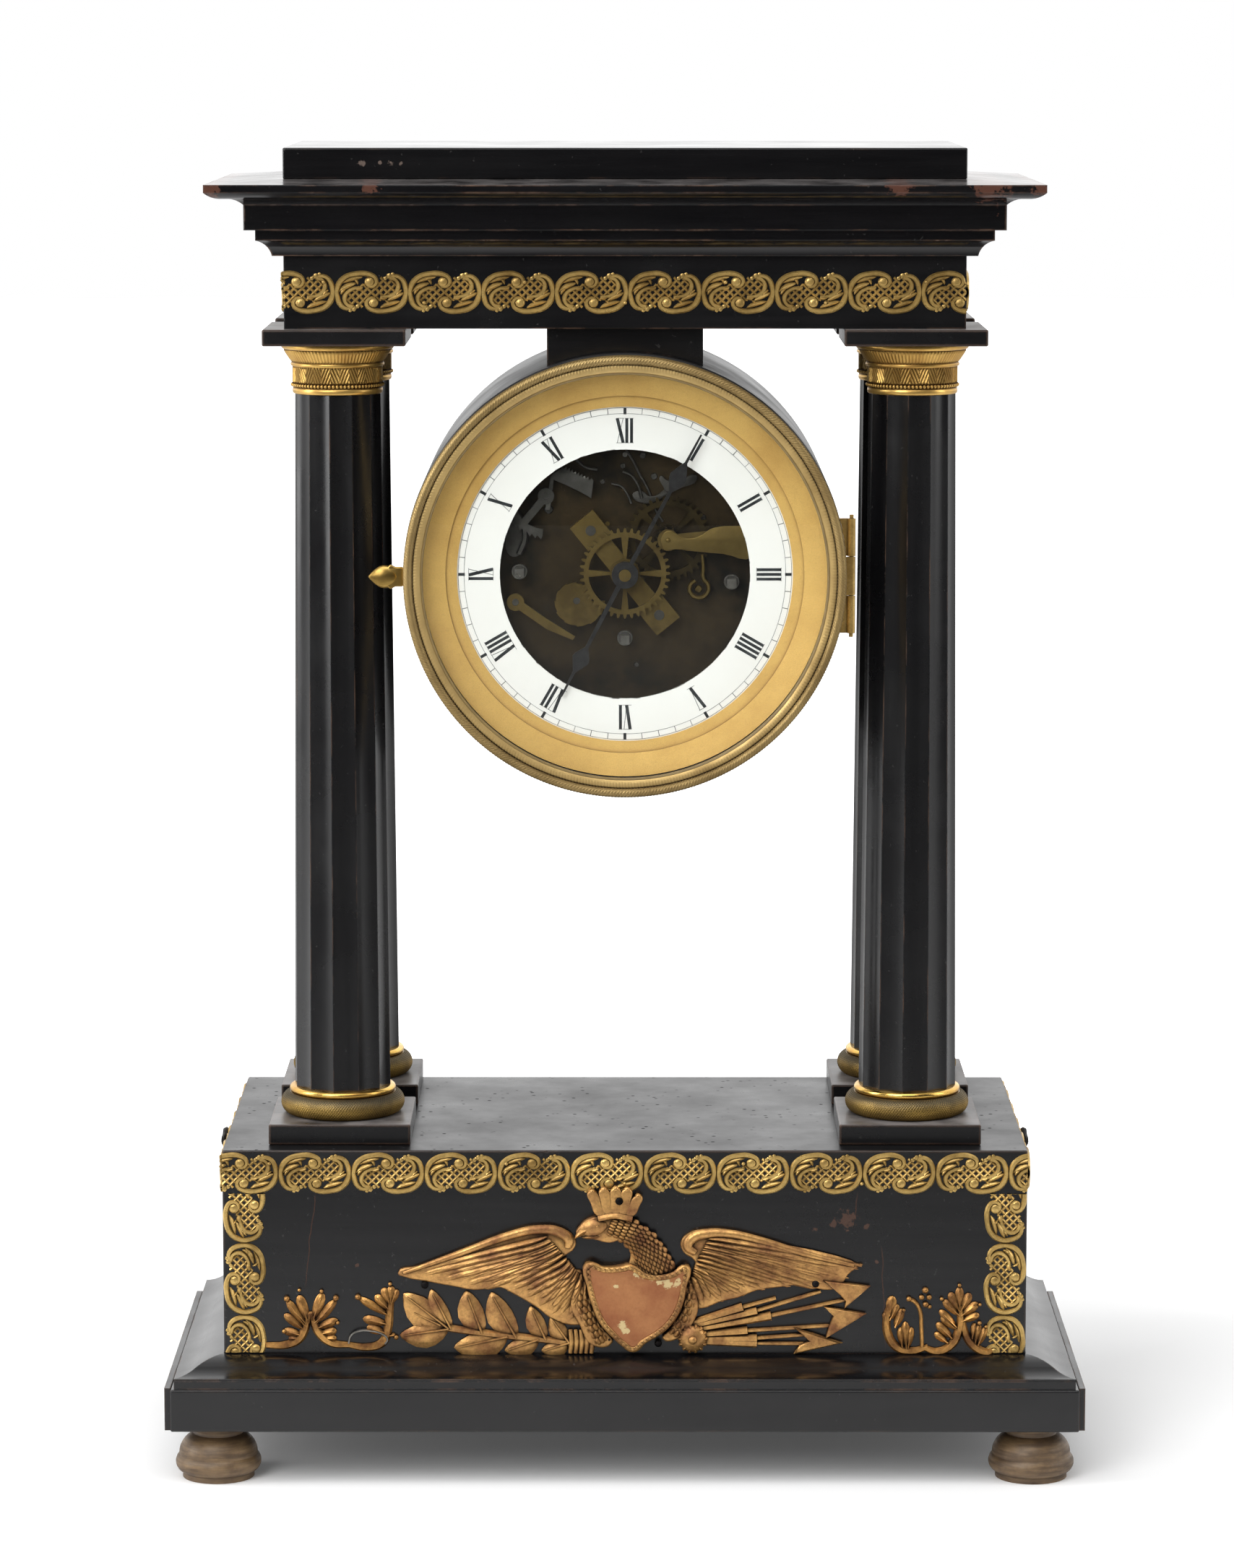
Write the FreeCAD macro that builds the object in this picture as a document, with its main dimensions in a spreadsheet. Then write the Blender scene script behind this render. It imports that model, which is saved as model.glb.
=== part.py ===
import FreeCAD, Part
import math
import os
import Sketcher
from FreeCAD import Placement, Rotation, Vector

# A portico clock in blackened wood with gilt mounts. The front faces -Y, the
# floor is Z = 0 and the origin is under the middle of the plinth.

SIZES = {
    # bun feet
    "foot_height": 22.0,
    "foot_belly_radius": 15.6,
    "foot_neck_radius": 10.0,
    "foot_collar_radius": 14.2,
    "foot_edge_offset": 17.6,
    # plinth slab with its lip and loose side facings
    "slab_height": 17.0,
    "slab_projection_width": 20.0,
    "slab_edge_radius": 0.8,
    "lip_height": 3.3,
    "lip_inset_width": 1.5,
    "facing_thickness": 2.4,
    "facing_offset": 3.0,
    "ogee_height": 6.6,
    "ogee_toe_height": 0.8,
    "ogee_hollow_depth": 0.75,
    # base box
    "box_height": 88.7,
    "box_side_offset": 17.8,
    "box_board_thickness": 10.0,
    "box_top_thickness": 9.0,
    "board_edge_radius": 0.7,
    # columns
    "column_front_offset": 38.4,
    "column_spacing_length": 80.0,
    "column_rear_offset": 29.6,
    "column_drum_gap": 6.9,
    "column_plinth_width": 56.2,
    "column_plinth_height": 8.2,
    "torus_radius": 24.4,
    "torus_height": 8.6,
    "torus_fillet_radius": 20.3,
    "torus_fillet_height": 2.8,
    "shaft_bottom_radius": 19.4,
    "shaft_top_radius": 17.1,
    "shaft_height": 276.8,
    "flute_depth": 0.75,
    "capital_height": 19.8,
    "capital_neck_radius": 17.5,
    "capital_bead_radius": 18.8,
    "capital_fillet_radius": 18.0,
    "capital_flare_radius": 21.3,
    "capital_lip_radius": 22.0,
    "abacus_width": 55.8,
    "abacus_height": 6.5,
    # entablature
    "frieze_front_offset": 6.7,
    "frieze_side_offset": 8.3,
    "frieze_height": 48.4,
    "frieze_board_thickness": 9.0,
    "soffit_thickness": 8.0,
    "cornice_start_height": 28.4,
    "cornice_toe_width": 4.2,
    "cavetto_height": 6.2,
    "cavetto_width": 10.2,
    "cavetto_depth": 1.3,
    "cornice_fillet_height": 4.1,
    "fascia_width": 14.4,
    "fascia_height": 9.8,
    "crown_height": 5.0,
    "crown_width": 28.7,
    "crown_curl_depth": 0.8,
    "crown_edge_height": 3.0,
    "crown_slope_height": 1.4,
    "attic_height": 12.1,
    "attic_back_offset": 3.4,
    # hanging drum
    "drum_bore_radius": 74.5,
    "drum_rear_wall_thickness": 12.3,
    "drum_front_wall_thickness": 7.3,
    "drum_length": 126.0,
    "drum_front_offset": 14.0,
    "drum_edge_chamfer": 1.0,
    "hanger_width": 61.0,
    "hanger_height": 9.4,
    "hanger_offset": 9.0,
    "cover_thickness": 3.0,
    "cover_wall_thickness": 6.8,
    "cover_knob_radius": 5.0,
    "cover_knob_length": 7.0,
    "cover_clearance": 0.3,
    # glazed door
    "bezel_step_width": 0.5,
    "bezel_wall_thickness": 4.5,
    "bezel_lip_width": 2.2,
    "bezel_gap": 0.4,
    "rope_margin_width": 0.3,
    "bezel_length": 9.8,
    "bezel_seat_depth": 6.2,
    "glass_thickness": 2.0,
    "glass_dome_height": 4.0,
    "glass_clearance": 0.3,
    "retainer_thickness": 1.8,
    "retainer_width": 2.0,
    "latch_length": 13.4,
    "latch_height": 9.8,
    "latch_thickness": 1.6,
    "hinge_standoff_gap": 1.7,
    "hinge_knuckle_radius": 1.6,
    "hinge_pin_radius": 0.8,
    "hinge_length": 45.0,
    "hinge_knuckle_gap": 0.3,
    "hinge_leaf_thickness": 1.3,
    "hinge_leaf_width": 6.0,
    "hinge_pin_overhang_length": 1.5,
    "running_clearance": 0.06,
    # dial
    "mat_clearance": 0.3,
    "mat_flange_width": 9.0,
    "mat_slope_width": 4.4,
    "mat_front_depth": 0.6,
    "mat_step_front_depth": 2.6,
    "mat_step_height": 1.0,
    "mat_sight_depth": 4.3,
    "dial_front_depth": 5.5,
    "dial_thickness": 1.5,
    "dial_lap_width": 1.9,
    "dial_visible_width": 16.8,
    "dial_clearance": 0.2,
    "dial_foot_radius": 2.2,
    "dial_foot_offset": 5.8,
    # movement frame
    "plate_front_depth": 17.0,
    "plate_thickness": 2.5,
    "back_plate_front_depth": 62.0,
    "back_plate_gap": 8.5,
    "pillar_radius": 3.0,
    "pillar_offset": 7.0,
    # motion work
    "motion_centre_length": 21.5,
    "cannon_radius": 2.4,
    "cannon_front_depth": 0.6,
    "cannon_wheel_front_depth": 13.8,
    "cannon_wheel_thickness": 1.4,
    "bridge_front_depth": 11.1,
    "bridge_thickness": 1.5,
    "bridge_half_width": 4.0,
    "bridge_foot_width": 11.6,
    "bridge_foot_offset": 21.4,
    "bridge_pipe_front_depth": 3.6,
    "bridge_pipe_radius": 3.2,
    "bridge_screw_radius": 2.0,
    "bridge_screw_height": 0.5,
    "hour_pipe_radius": 4.4,
    "hour_pipe_front_depth": 3.2,
    "hour_pipe_back_depth": 10.9,
    "hour_wheel_front_depth": 9.2,
    "hour_wheel_thickness": 1.2,
    "hour_rim_width": 1.9,
    "wheel_spoke_width": 2.0,
    "change_stud_radius": 1.2,
    "change_stud_front_depth": 8.6,
    "change_pinion_front_depth": 8.7,
    "change_wheel_front_depth": 14.0,
    "change_wheel_thickness": 1.2,
    "change_rim_width": 2.2,
    "cock_front_depth": 7.6,
    "cock_thickness": 1.0,
    "cock_head_radius": 4.2,
    "cock_foot_width": 8.0,
    "cock_foot_x_offset": 39.5,
    "cock_foot_z_offset": 13.5,
    # hands
    "hand_thickness": 0.8,
    "minute_tip_gap": 3.2,
    "hour_tip_gap": 11.8,
    "minute_hand_front_depth": 1.2,
    "hour_hand_front_depth": 3.2,
    "hand_hub_radius": 5.2,
    "hand_stem_width": 1.9,
    "hand_spade_width": 7.0,
    "hand_tip_width": 0.7,
    # striking work
    "strike_front_depth": 12.6,
    "strike_thickness": 1.5,
    "strike_stud_radius": 1.3,
    "snail_x_offset": -19.0,
    "snail_z_offset": -11.2,
    "snail_radius": 11.2,
    "snail_core_radius": 5.4,
    "rack_x_offset": -31.0,
    "rack_z_offset": 30.0,
    "rack_radius": 17.0,
    "rack_depth": 4.0,
    "rack_hub_radius": 3.2,
    "rack_tooth_height": 1.3,
    "rack_arm_width": 3.0,
    "lifter_x_offset": -43.0,
    "lifter_z_offset": -11.5,
    "lifter_front_depth": 10.0,
    "lifter_length": 27.0,
    "lifter_width": 3.4,
    "lifter_hub_radius": 3.4,
    # winding and spring barrels
    "winding_left_x_offset": -41.5,
    "winding_left_z_offset": 0.0,
    "winding_right_x_offset": 42.0,
    "winding_right_z_offset": -4.0,
    "going_winding_offset": 26.3,
    "winding_square_width": 3.6,
    "winding_square_front_depth": 9.0,
    "winding_arbor_radius": 3.0,
    "winding_shoulder_front_depth": 15.4,
    "barrel_front_depth": 23.0,
    "barrel_length": 21.5,
    "barrel_radius": 16.5,
    "barrel_flange_radius": 18.0,
    "barrel_flange_thickness": 1.6,
    "going_barrel_radius": 21.6,
    # going train
    "centre_pinion_length": 2.8,
    "centre_rear_radius": 1.7,
    "centre_wheel_front_depth": 49.0,
    "train_wheel_thickness": 1.1,
    "third_centre_length": 20.0,
    "third_arbor_radius": 0.9,
    "third_wheel_front_depth": 53.0,
    "escape_centre_length": 15.0,
    "escape_arbor_radius": 0.6,
    "escape_wheel_front_depth": 57.0,
    "escape_wheel_radius": 9.0,
    "escape_tooth_depth": 1.8,
    "pinion_overlap_width": 0.6,
    "train_rim_width": 1.8,
    # pallets and pendulum
    "pallet_height": 46.0,
    "pallet_clearance": 1.0,
    "pallet_thickness": 1.8,
    "pallet_depth": 2.0,
    "pallet_arbor_radius": 0.9,
    "crutch_gap": 2.0,
    "crutch_length": 25.0,
    "crutch_width": 2.2,
    "crutch_thickness": 1.4,
    "crutch_pin_radius": 0.5,
    "pendulum_eye_front_depth": 72.0,
    "pendulum_eye_radius": 3.6,
    "pendulum_stud_radius": 1.5,
    "pendulum_floor_gap": 12.5,
    "pendulum_rod_radius": 1.0,
    "pendulum_bob_radius": 11.0,
    "pendulum_bob_thickness": 7.0,
    "pendulum_thickness": 2.6,
    "pendulum_cock_width": 10.0,
    "pendulum_cock_leg_thickness": 2.2,
    "pendulum_cock_height": 6.5,
    # gongs and hammers
    "gong_front_depth": 86.0,
    "gong_spacing_length": 8.0,
    "gong_wire_radius": 1.0,
    "gong_radius": 40.0,
    "gong_pitch_width": 5.0,
    "gong_block_width": 22.0,
    "gong_block_depth": 20.0,
    "gong_block_height": 9.0,
    "hammer_x_offset": 26.0,
    "hammer_z_offset": -44.0,
    "hammer_stud_radius": 1.5,
    "hammer_hub_radius": 3.2,
    "hammer_hub_length": 5.0,
    "hammer_length": 31.0,
    "hammer_stem_width": 2.0,
    "hammer_head_radius": 3.4,
    # pierced strips
    "strip_height": 15.9,
    "strip_thickness": 1.1,
    "strip_pitch_length": 28.5,
    "frieze_strip_offset": 14.1,
    "strip_top_gap": 1.2,
    "strip_side_gap": 0.6,
    # eagle and leaf mounts
    "eagle_width": 187.0,
    "eagle_offset": 3.7,
    "eagle_thickness": 5.0,
    "eagle_crown_lap_height": 3.2,
    "eagle_stem_width": 1.7,
    "eagle_knot_radius": 5.2,
    "leaf_height": 27.7,
    "leaf_strip_gap": 1.3,
    "leaf_left_gap": 0.4,
    "leaf_right_gap": 5.0,
    "leaf_thickness": 3.0,
    "mount_gap": 0.4,
    # cuts reach this far past what they cut
    "overrun_length": 1.0,
}

# counts and angles
FLUTES = 12
FLUTE_TURN = math.radians(-8.0)
SNAIL_STEPS = 12
RACK_TEETH = 9
RACK_LEAN_SHARE = 0.8
ESCAPE_TEETH = 40
CANNON_TEETH = 12
CHANGE_TEETH = 36
CHANGE_LEAVES = 10
HOUR_TEETH = 40
GREAT_TEETH = 72
CENTRE_LEAVES = 8
CENTRE_TEETH = 96
THIRD_LEAVES = 8
THIRD_TEETH = 84
ESCAPE_LEAVES = 7
SPOKES = 4
GONG_TURNS = 3
CHANGE_ANGLE = math.radians(38.0)
THIRD_ANGLE = math.radians(110.0)
ESCAPE_ANGLE = math.radians(65.0)
BRIDGE_ANGLE = math.radians(129.0)
MINUTE_ANGLE = math.radians(90.0 - 28.4)
HOUR_ANGLE = math.radians(90.0 - 207.5)
RACK_START = math.radians(195.0)
RACK_SWEEP = math.radians(70.0)
LIFTER_ANGLE = math.radians(-35.0)
HAMMER_ANGLE = math.radians(59.5)
PALLET_SPAN = math.radians(50.0)
RIGHT_ANGLE = 90.0
FULL_TURN = 360.0

# tooth proportions: heights in modules, widths in angular pitches
HUB_SHARE = 1.3
WHEEL_TOOTH_SHARES = {"tip": 0.75, "root": 1.15, "tip_width": 0.16, "width": 0.42, "root_width": 0.56}
PINION_TOOTH_SHARES = {"tip": 0.6, "root": 1.2, "tip_width": 0.14, "width": 0.34, "root_width": 0.36}

doc = FreeCAD.newDocument("portico_clock")
dims = doc.addObject("Spreadsheet::Sheet", "dims")
levels = doc.addObject("Spreadsheet::Sheet", "levels")
nodes = []


class Length:
    """A value that also knows the sheet expression that gives it."""

    def __init__(self, value, text):
        self.value = value
        self.text = text

    def __add__(self, other):
        return Length(self.value + number(other), f"({self.text} + {text_of(other)})")

    __radd__ = __add__

    def __sub__(self, other):
        return Length(self.value - number(other), f"({self.text} - {text_of(other)})")

    def __rsub__(self, other):
        return Length(number(other) - self.value, f"({text_of(other)} - {self.text})")

    def __mul__(self, other):
        return Length(self.value * number(other), f"({self.text} * {text_of(other)})")

    __rmul__ = __mul__

    def __truediv__(self, other):
        return Length(self.value / number(other), f"({self.text} / {text_of(other)})")

    def __neg__(self):
        return 0 - self


def number(length):
    return length.value if isinstance(length, Length) else float(length)


def text_of(length):
    return length.text if isinstance(length, Length) else f"({length!r})"


class Sizes:
    """Every driving size as an attribute, each tied to its cell."""


def fill_sheet():
    sizes = Sizes()
    for row, (name, value) in enumerate(SIZES.items(), start=1):
        dims.set(f"A{row}", name)
        dims.set(f"B{row}", str(value))
        dims.setAlias(f"B{row}", name)
        setattr(sizes, name, Length(value, f"dims.{name}"))
    doc.recompute()
    return sizes


def level(name, length):
    """Keep a derived place in the second sheet and give it back under a short name."""
    level.row += 1
    levels.set(f"A{level.row}", name)
    levels.set(f"B{level.row}", f"={text_of(length)}")
    levels.setAlias(f"B{level.row}", name)
    return Length(number(length), f"levels.{name}")


level.row = 0
s = fill_sheet()

# sizes that follow others
s.drum_radius = level("drum_radius", s.drum_bore_radius + s.drum_rear_wall_thickness)
s.drum_rear_bore = s.drum_bore_radius
s.drum_front_bore = level("drum_front_bore", s.drum_radius - s.drum_front_wall_thickness)
s.cover_bore = level("cover_bore", s.drum_radius - s.cover_wall_thickness)
s.drum_axis_drop = level("drum_axis_drop", s.drum_radius + s.hanger_height)
s.column_spread = level("column_spread", 2 * (s.drum_radius + s.column_drum_gap + s.shaft_bottom_radius))
s.box_width = level("box_width", s.column_spread + s.column_plinth_width + 2 * s.box_side_offset)
s.box_depth = level("box_depth", s.column_front_offset + s.column_spacing_length + s.column_rear_offset)
s.bezel_radius = level("bezel_radius", s.drum_radius - s.bezel_step_width)
s.bezel_bore = level("bezel_bore", s.bezel_radius - s.bezel_wall_thickness)
s.bezel_sight_radius = level("bezel_sight_radius", s.bezel_bore - s.bezel_lip_width)
s.rope_width = level("rope_width", s.bezel_wall_thickness - s.rope_margin_width)
s.retainer_bore = level("retainer_bore", s.bezel_bore - s.retainer_width)
s.hinge_offset = level("hinge_offset", s.drum_radius + s.hinge_standoff_gap)
s.mat_outer_radius = level("mat_outer_radius", s.drum_front_bore - s.mat_clearance)
s.mat_step_radius = level("mat_step_radius", s.mat_outer_radius - s.mat_flange_width)
s.mat_sight_radius = level("mat_sight_radius", s.mat_step_radius - s.mat_slope_width)
s.dial_radius = level("dial_radius", s.mat_sight_radius + s.dial_lap_width)
s.dial_bore = level("dial_bore", s.mat_sight_radius - s.dial_visible_width)
s.plate_radius = s.mat_outer_radius
s.dial_foot_circle = level("dial_foot_circle", s.plate_radius - s.dial_foot_offset)
s.back_plate_radius = level("back_plate_radius", s.drum_rear_bore - s.back_plate_gap)
s.pillar_circle = level("pillar_circle", s.back_plate_radius - s.pillar_offset)
s.minute_hand_length = level("minute_hand_length", s.mat_sight_radius - s.minute_tip_gap)
s.hour_hand_length = level("hour_hand_length", s.mat_sight_radius - s.hour_tip_gap)
s.pendulum_length = level(
    "pendulum_length", s.pallet_height + s.drum_rear_bore - s.pendulum_bob_radius - s.pendulum_floor_gap)
s.eagle_left = level("eagle_left", s.eagle_offset - s.eagle_width / 2)
s.eagle_height = level(
    "eagle_height",
    s.box_height - s.ogee_height - s.strip_height - s.strip_top_gap - s.mount_gap + s.eagle_crown_lap_height)
s.leaf_left_start = level(
    "leaf_left_start", s.strip_height + s.strip_side_gap + s.leaf_strip_gap - s.box_width / 2)
s.leaf_left_width = level("leaf_left_width", s.eagle_left - s.leaf_left_gap - s.leaf_left_start)
s.leaf_right_start = level("leaf_right_start", s.eagle_left + s.eagle_width + s.leaf_right_gap)
s.leaf_right_width = level("leaf_right_width", -s.leaf_left_start - s.leaf_right_start)

# heights, from the floor up
slab_top = level("slab_top", s.foot_height + s.slab_height)
lip_top = level("lip_top", slab_top + s.lip_height)
box_top = level("box_top", lip_top + s.box_height)
torus_bottom = level("torus_bottom", box_top + s.column_plinth_height)
shaft_bottom = level("shaft_bottom", torus_bottom + s.torus_height + s.torus_fillet_height)
capital_bottom = level("capital_bottom", shaft_bottom + s.shaft_height)
abacus_bottom = level("abacus_bottom", capital_bottom + s.capital_height)
frieze_bottom = level("frieze_bottom", abacus_bottom + s.abacus_height)
frieze_top = level("frieze_top", frieze_bottom + s.frieze_height)
cornice_bottom = level("cornice_bottom", frieze_bottom + s.cornice_start_height)
cornice_height = level(
    "cornice_height",
    s.cavetto_height + s.cornice_fillet_height + s.fascia_height + s.crown_height + s.crown_edge_height
    + s.crown_slope_height,
)
attic_bottom = level("attic_bottom", cornice_bottom + cornice_height)
axis_z = level("axis_z", frieze_bottom - s.drum_axis_drop)

# depths, from the front (-Y) to the back
slab_depth = level("slab_depth", s.box_depth + s.slab_projection_width)
slab_width = level("slab_width", s.box_width + 2 * s.slab_projection_width)
back_y = level("back_y", slab_depth / 2)
box_front = level("box_front", back_y - s.box_depth)
column_front_y = level("column_front_y", box_front + s.column_front_offset)
column_rear_y = level("column_rear_y", column_front_y + s.column_spacing_length)
frieze_front = level("frieze_front", column_front_y - s.abacus_width / 2 + s.frieze_front_offset)
frieze_back = level("frieze_back", column_rear_y + s.abacus_width / 2 - s.frieze_front_offset)
frieze_width = level("frieze_width", s.column_spread + s.abacus_width - 2 * s.frieze_side_offset)
frieze_depth = level("frieze_depth", frieze_back - frieze_front)
drum_front = level("drum_front", box_front + s.drum_front_offset)
drum_back = level("drum_back", drum_front + s.drum_length)
plate_y = level("plate_y", drum_front + s.plate_front_depth)
plate_back_y = level("plate_back_y", plate_y + s.plate_thickness)
back_plate_y = level("back_plate_y", drum_front + s.back_plate_front_depth)
back_plate_rear_y = level("back_plate_rear_y", back_plate_y + s.plate_thickness)
doc.recompute()


def node(label, obj):
    obj.Label = label
    nodes.append(obj)
    return obj


def set_place(obj, at):
    for axis, length in zip("xyz", at):
        if isinstance(length, Length):
            obj.setExpression(f"Placement.Base.{axis}", length.text)


def bind(obj, **lengths):
    for name, length in lengths.items():
        obj.setExpression(name, text_of(length))


def box(name, size, corner):
    made = doc.addObject("Part::Box", name)
    bind(made, Length=size[0], Width=size[1], Height=size[2])
    set_place(made, corner)
    return made


def rod(name, radius, start, length, x=0, z=0):
    """A cylinder along +Y, at x and z from the drum's axis."""
    made = doc.addObject("Part::Cylinder", name)
    bind(made, Radius=radius, Height=length)
    made.Placement = Placement(Vector(), Rotation(Vector(1, 0, 0), -RIGHT_ANGLE))
    set_place(made, (x, start, axis_z + z))
    return made


def upright(name, radius, height, at):
    made = doc.addObject("Part::Cylinder", name)
    bind(made, Radius=radius, Height=height)
    set_place(made, at)
    return made


def joined(name, pieces):
    made = doc.addObject("Part::MultiFuse", name)
    made.Shapes = pieces
    return made


def cut(name, base, tools):
    made = doc.addObject("Part::Cut", name)
    made.Base = base
    made.Tool = tools[0] if len(tools) == 1 else joined(f"{name}_tools", tools)
    return made


def group(name, pieces):
    made = doc.addObject("Part::Compound", name)
    made.Links = pieces
    return made


def feature(name, shape, at=(0, 0, 0)):
    made = doc.addObject("Part::Feature", name)
    made.Shape = shape
    made.Placement = Placement(Vector(*[number(length) for length in at]), Rotation())
    set_place(made, at)
    return made


def sketch_outline(body, role, points, name):
    """A closed sketch. A point is (x, y), or (x, y, rise) where an arc of that rise follows it."""
    sketch = body.newObject("Sketcher::SketchObject", name)
    plane = next(f for f in body.Origin.OriginFeatures if f.Role == role)
    sketch.AttachmentSupport = [(plane, "")]
    sketch.MapMode = "FlatFace"
    places = [Vector(number(p[0]), number(p[1]), 0) for p in points]
    ends = []
    for i, start in enumerate(places):
        stop = places[(i + 1) % len(places)]
        curve = Part.LineSegment(start, stop)
        if len(points[i]) == 3:
            chord = stop - start
            side = Vector(-chord.y, chord.x, 0).normalize()
            curve = Part.Arc(start, (start + stop) / 2 + side * number(points[i][2]), stop)
        index = sketch.addGeometry(curve, False)
        first = 1 if sketch.getPoint(index, 1).distanceToPoint(start) < chord_tolerance else 2
        ends.append((index, first, 3 - first))
    for i, (index, _, last) in enumerate(ends):
        following = ends[(i + 1) % len(ends)]
        sketch.addConstraint(Sketcher.Constraint("Coincident", index, last, following[0], following[1]))
    for point, (index, first, _) in zip(points, ends):
        for kind, length in (("DistanceX", point[0]), ("DistanceY", point[1])):
            row = sketch.addConstraint(Sketcher.Constraint(kind, -1, 1, index, first, number(length)))
            if isinstance(length, Length):
                sketch.setExpression(f"Constraints[{row}]", length.text)
    for i, point in enumerate(points):
        if len(point) == 3:
            following = points[(i + 1) % len(points)]
            across = following[0] - point[0]
            along = following[1] - point[1]
            rise = point[2] if number(point[2]) > 0 else -point[2]
            radius = ((across * across + along * along) / 4 + rise * rise) / (2 * rise)
            row = sketch.addConstraint(Sketcher.Constraint("Radius", ends[i][0], number(radius)))
            sketch.setExpression(f"Constraints[{row}]", radius.text)
    return sketch


chord_tolerance = s.overrun_length.value / 1000


def turned(name, points, at=(0, 0, 0), role="XZ_Plane"):
    """A lathe body: about Z from the XZ plane, about Y from the XY plane."""
    body = doc.addObject("PartDesign::Body", name)
    sketch = sketch_outline(body, role, points, f"{name}_profile")
    spin = body.newObject("PartDesign::Revolution", f"{name}_turned")
    spin.Profile = sketch
    spin.ReferenceAxis = (sketch, ["V_Axis"])
    spin.Angle = FULL_TURN
    set_place(body, at)
    return body


def padded(name, role, points, length, at=(0, 0, 0), reverse=False):
    body = doc.addObject("PartDesign::Body", name)
    pad = body.newObject("PartDesign::Pad", f"{name}_pad")
    pad.Profile = sketch_outline(body, role, points, f"{name}_outline")
    pad.Reversed = reverse
    bind(pad, Length=length)
    set_place(body, at)
    return body


def board(name, size, corner, edge_radius):
    """A planed board with softened edges."""
    outline = [(0, 0), (size[0], 0), (size[0], size[1]), (0, size[1])]
    body = padded(name, "XY_Plane", outline, size[2], corner)
    doc.recompute()
    sawn = body.Tip
    soft = body.newObject("PartDesign::Fillet", f"{name}_edges")
    soft.Base = (sawn, [f"Edge{i}" for i in range(1, len(sawn.Shape.Edges) + 1)])
    bind(soft, Radius=edge_radius)
    body.Tip = soft
    return body


def moulding(name, profile, reach, run, mitres, at, turn):
    """A moulding along its own +X, outwards to -Y, with mitres at its start and end."""
    total = run + reach * (mitres[0] + mitres[1])
    body = padded(name, "YZ_Plane", profile, total)
    for side, wanted in enumerate(mitres):
        if not wanted:
            continue
        edge = total * side
        inner = total - reach if side else reach
        corner = [(edge, 0), (inner, 0), (edge, -reach)]
        trim = body.newObject("PartDesign::Pocket", f"{name}_mitre_{side}")
        trim.Profile = sketch_outline(body, "XY_Plane", corner, f"{name}_mitre_{side}_outline")
        trim.Type = "ThroughAll"
        trim.Midplane = True
        body.Tip = trim
    body.Placement = Placement(Vector(), Rotation(Vector(0, 0, 1), turn))
    set_place(body, at)
    return body


def moulding_around(label, profile, reach, width, front, back, bottom):
    """Front length and two returns, mitred at the front corners and square at the back."""
    depth = back - front
    return node(label, group(label, [
        moulding(f"{label}_front", profile, reach, width, (1, 1), (-width / 2 - reach, front, bottom), 0),
        moulding(f"{label}_left", profile, reach, depth, (0, 1), (-width / 2, back, bottom), -RIGHT_ANGLE),
        moulding(f"{label}_right", profile, reach, depth, (1, 0), (width / 2, front - reach, bottom),
            RIGHT_ANGLE),
    ]))


# Case

def make_feet():
    """Turned bun feet under the plinth's corners."""
    h = s.foot_height
    collar_share = 0.1
    belly_share = 0.42
    waist_share = 0.8
    neck_share = 0.86
    flare_share = 1.1
    low_bulge_share = 0.13
    high_bulge_share = 0.1
    profile = [
        (0, 0),
        (s.foot_collar_radius, 0),
        (s.foot_collar_radius, h * collar_share, -s.foot_belly_radius * low_bulge_share),
        (s.foot_belly_radius, h * belly_share, -s.foot_belly_radius * high_bulge_share),
        (s.foot_neck_radius, h * waist_share),
        (s.foot_neck_radius, h * neck_share),
        (s.foot_neck_radius * flare_share, h),
        (0, h),
    ]
    x = slab_width / 2 - s.foot_edge_offset
    y = slab_depth / 2 - s.foot_edge_offset
    corners = [(-x, -y), (x, -y), (-x, y), (x, y)]
    feet = [turned(f"bun_foot_{i}", profile, (px, py, 0)) for i, (px, py) in enumerate(corners, start=1)]
    node("bun_feet", group("bun_feet", feet))


def make_plinth():
    """Slab, its raised lip, the loose side facings and the ogee round the box."""
    slab = board(
        "plinth_slab_body", (slab_width, slab_depth, s.slab_height),
        (-slab_width / 2, -back_y, s.foot_height), s.slab_edge_radius,
    )
    lip = box(
        "plinth_lip", (slab_width - 2 * s.lip_inset_width, slab_depth - s.lip_inset_width, s.lip_height),
        (-slab_width / 2 + s.lip_inset_width, -back_y + s.lip_inset_width, slab_top),
    )
    node("plinth_slab", joined("plinth_slab", [slab, lip]))
    size = (s.facing_thickness, slab_depth - 2 * s.facing_offset, s.slab_height)
    y = -back_y + s.facing_offset
    facings = [
        box("facing_left", size, (-slab_width / 2 - s.facing_thickness, y, s.foot_height)),
        box("facing_right", size, (slab_width / 2, y, s.foot_height)),
    ]
    node("plinth_side_facings", group("plinth_side_facings", facings))
    reach = s.slab_projection_width - s.lip_inset_width
    middle_share = 0.55
    profile = [
        (0, 0),
        (0, s.ogee_height, -s.ogee_hollow_depth),
        (-reach * middle_share, s.ogee_height * middle_share, s.ogee_hollow_depth),
        (-reach, s.ogee_toe_height),
        (-reach, 0),
    ]
    moulding_around("base_ogee", profile, reach, s.box_width, box_front, back_y, lip_top)


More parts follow.
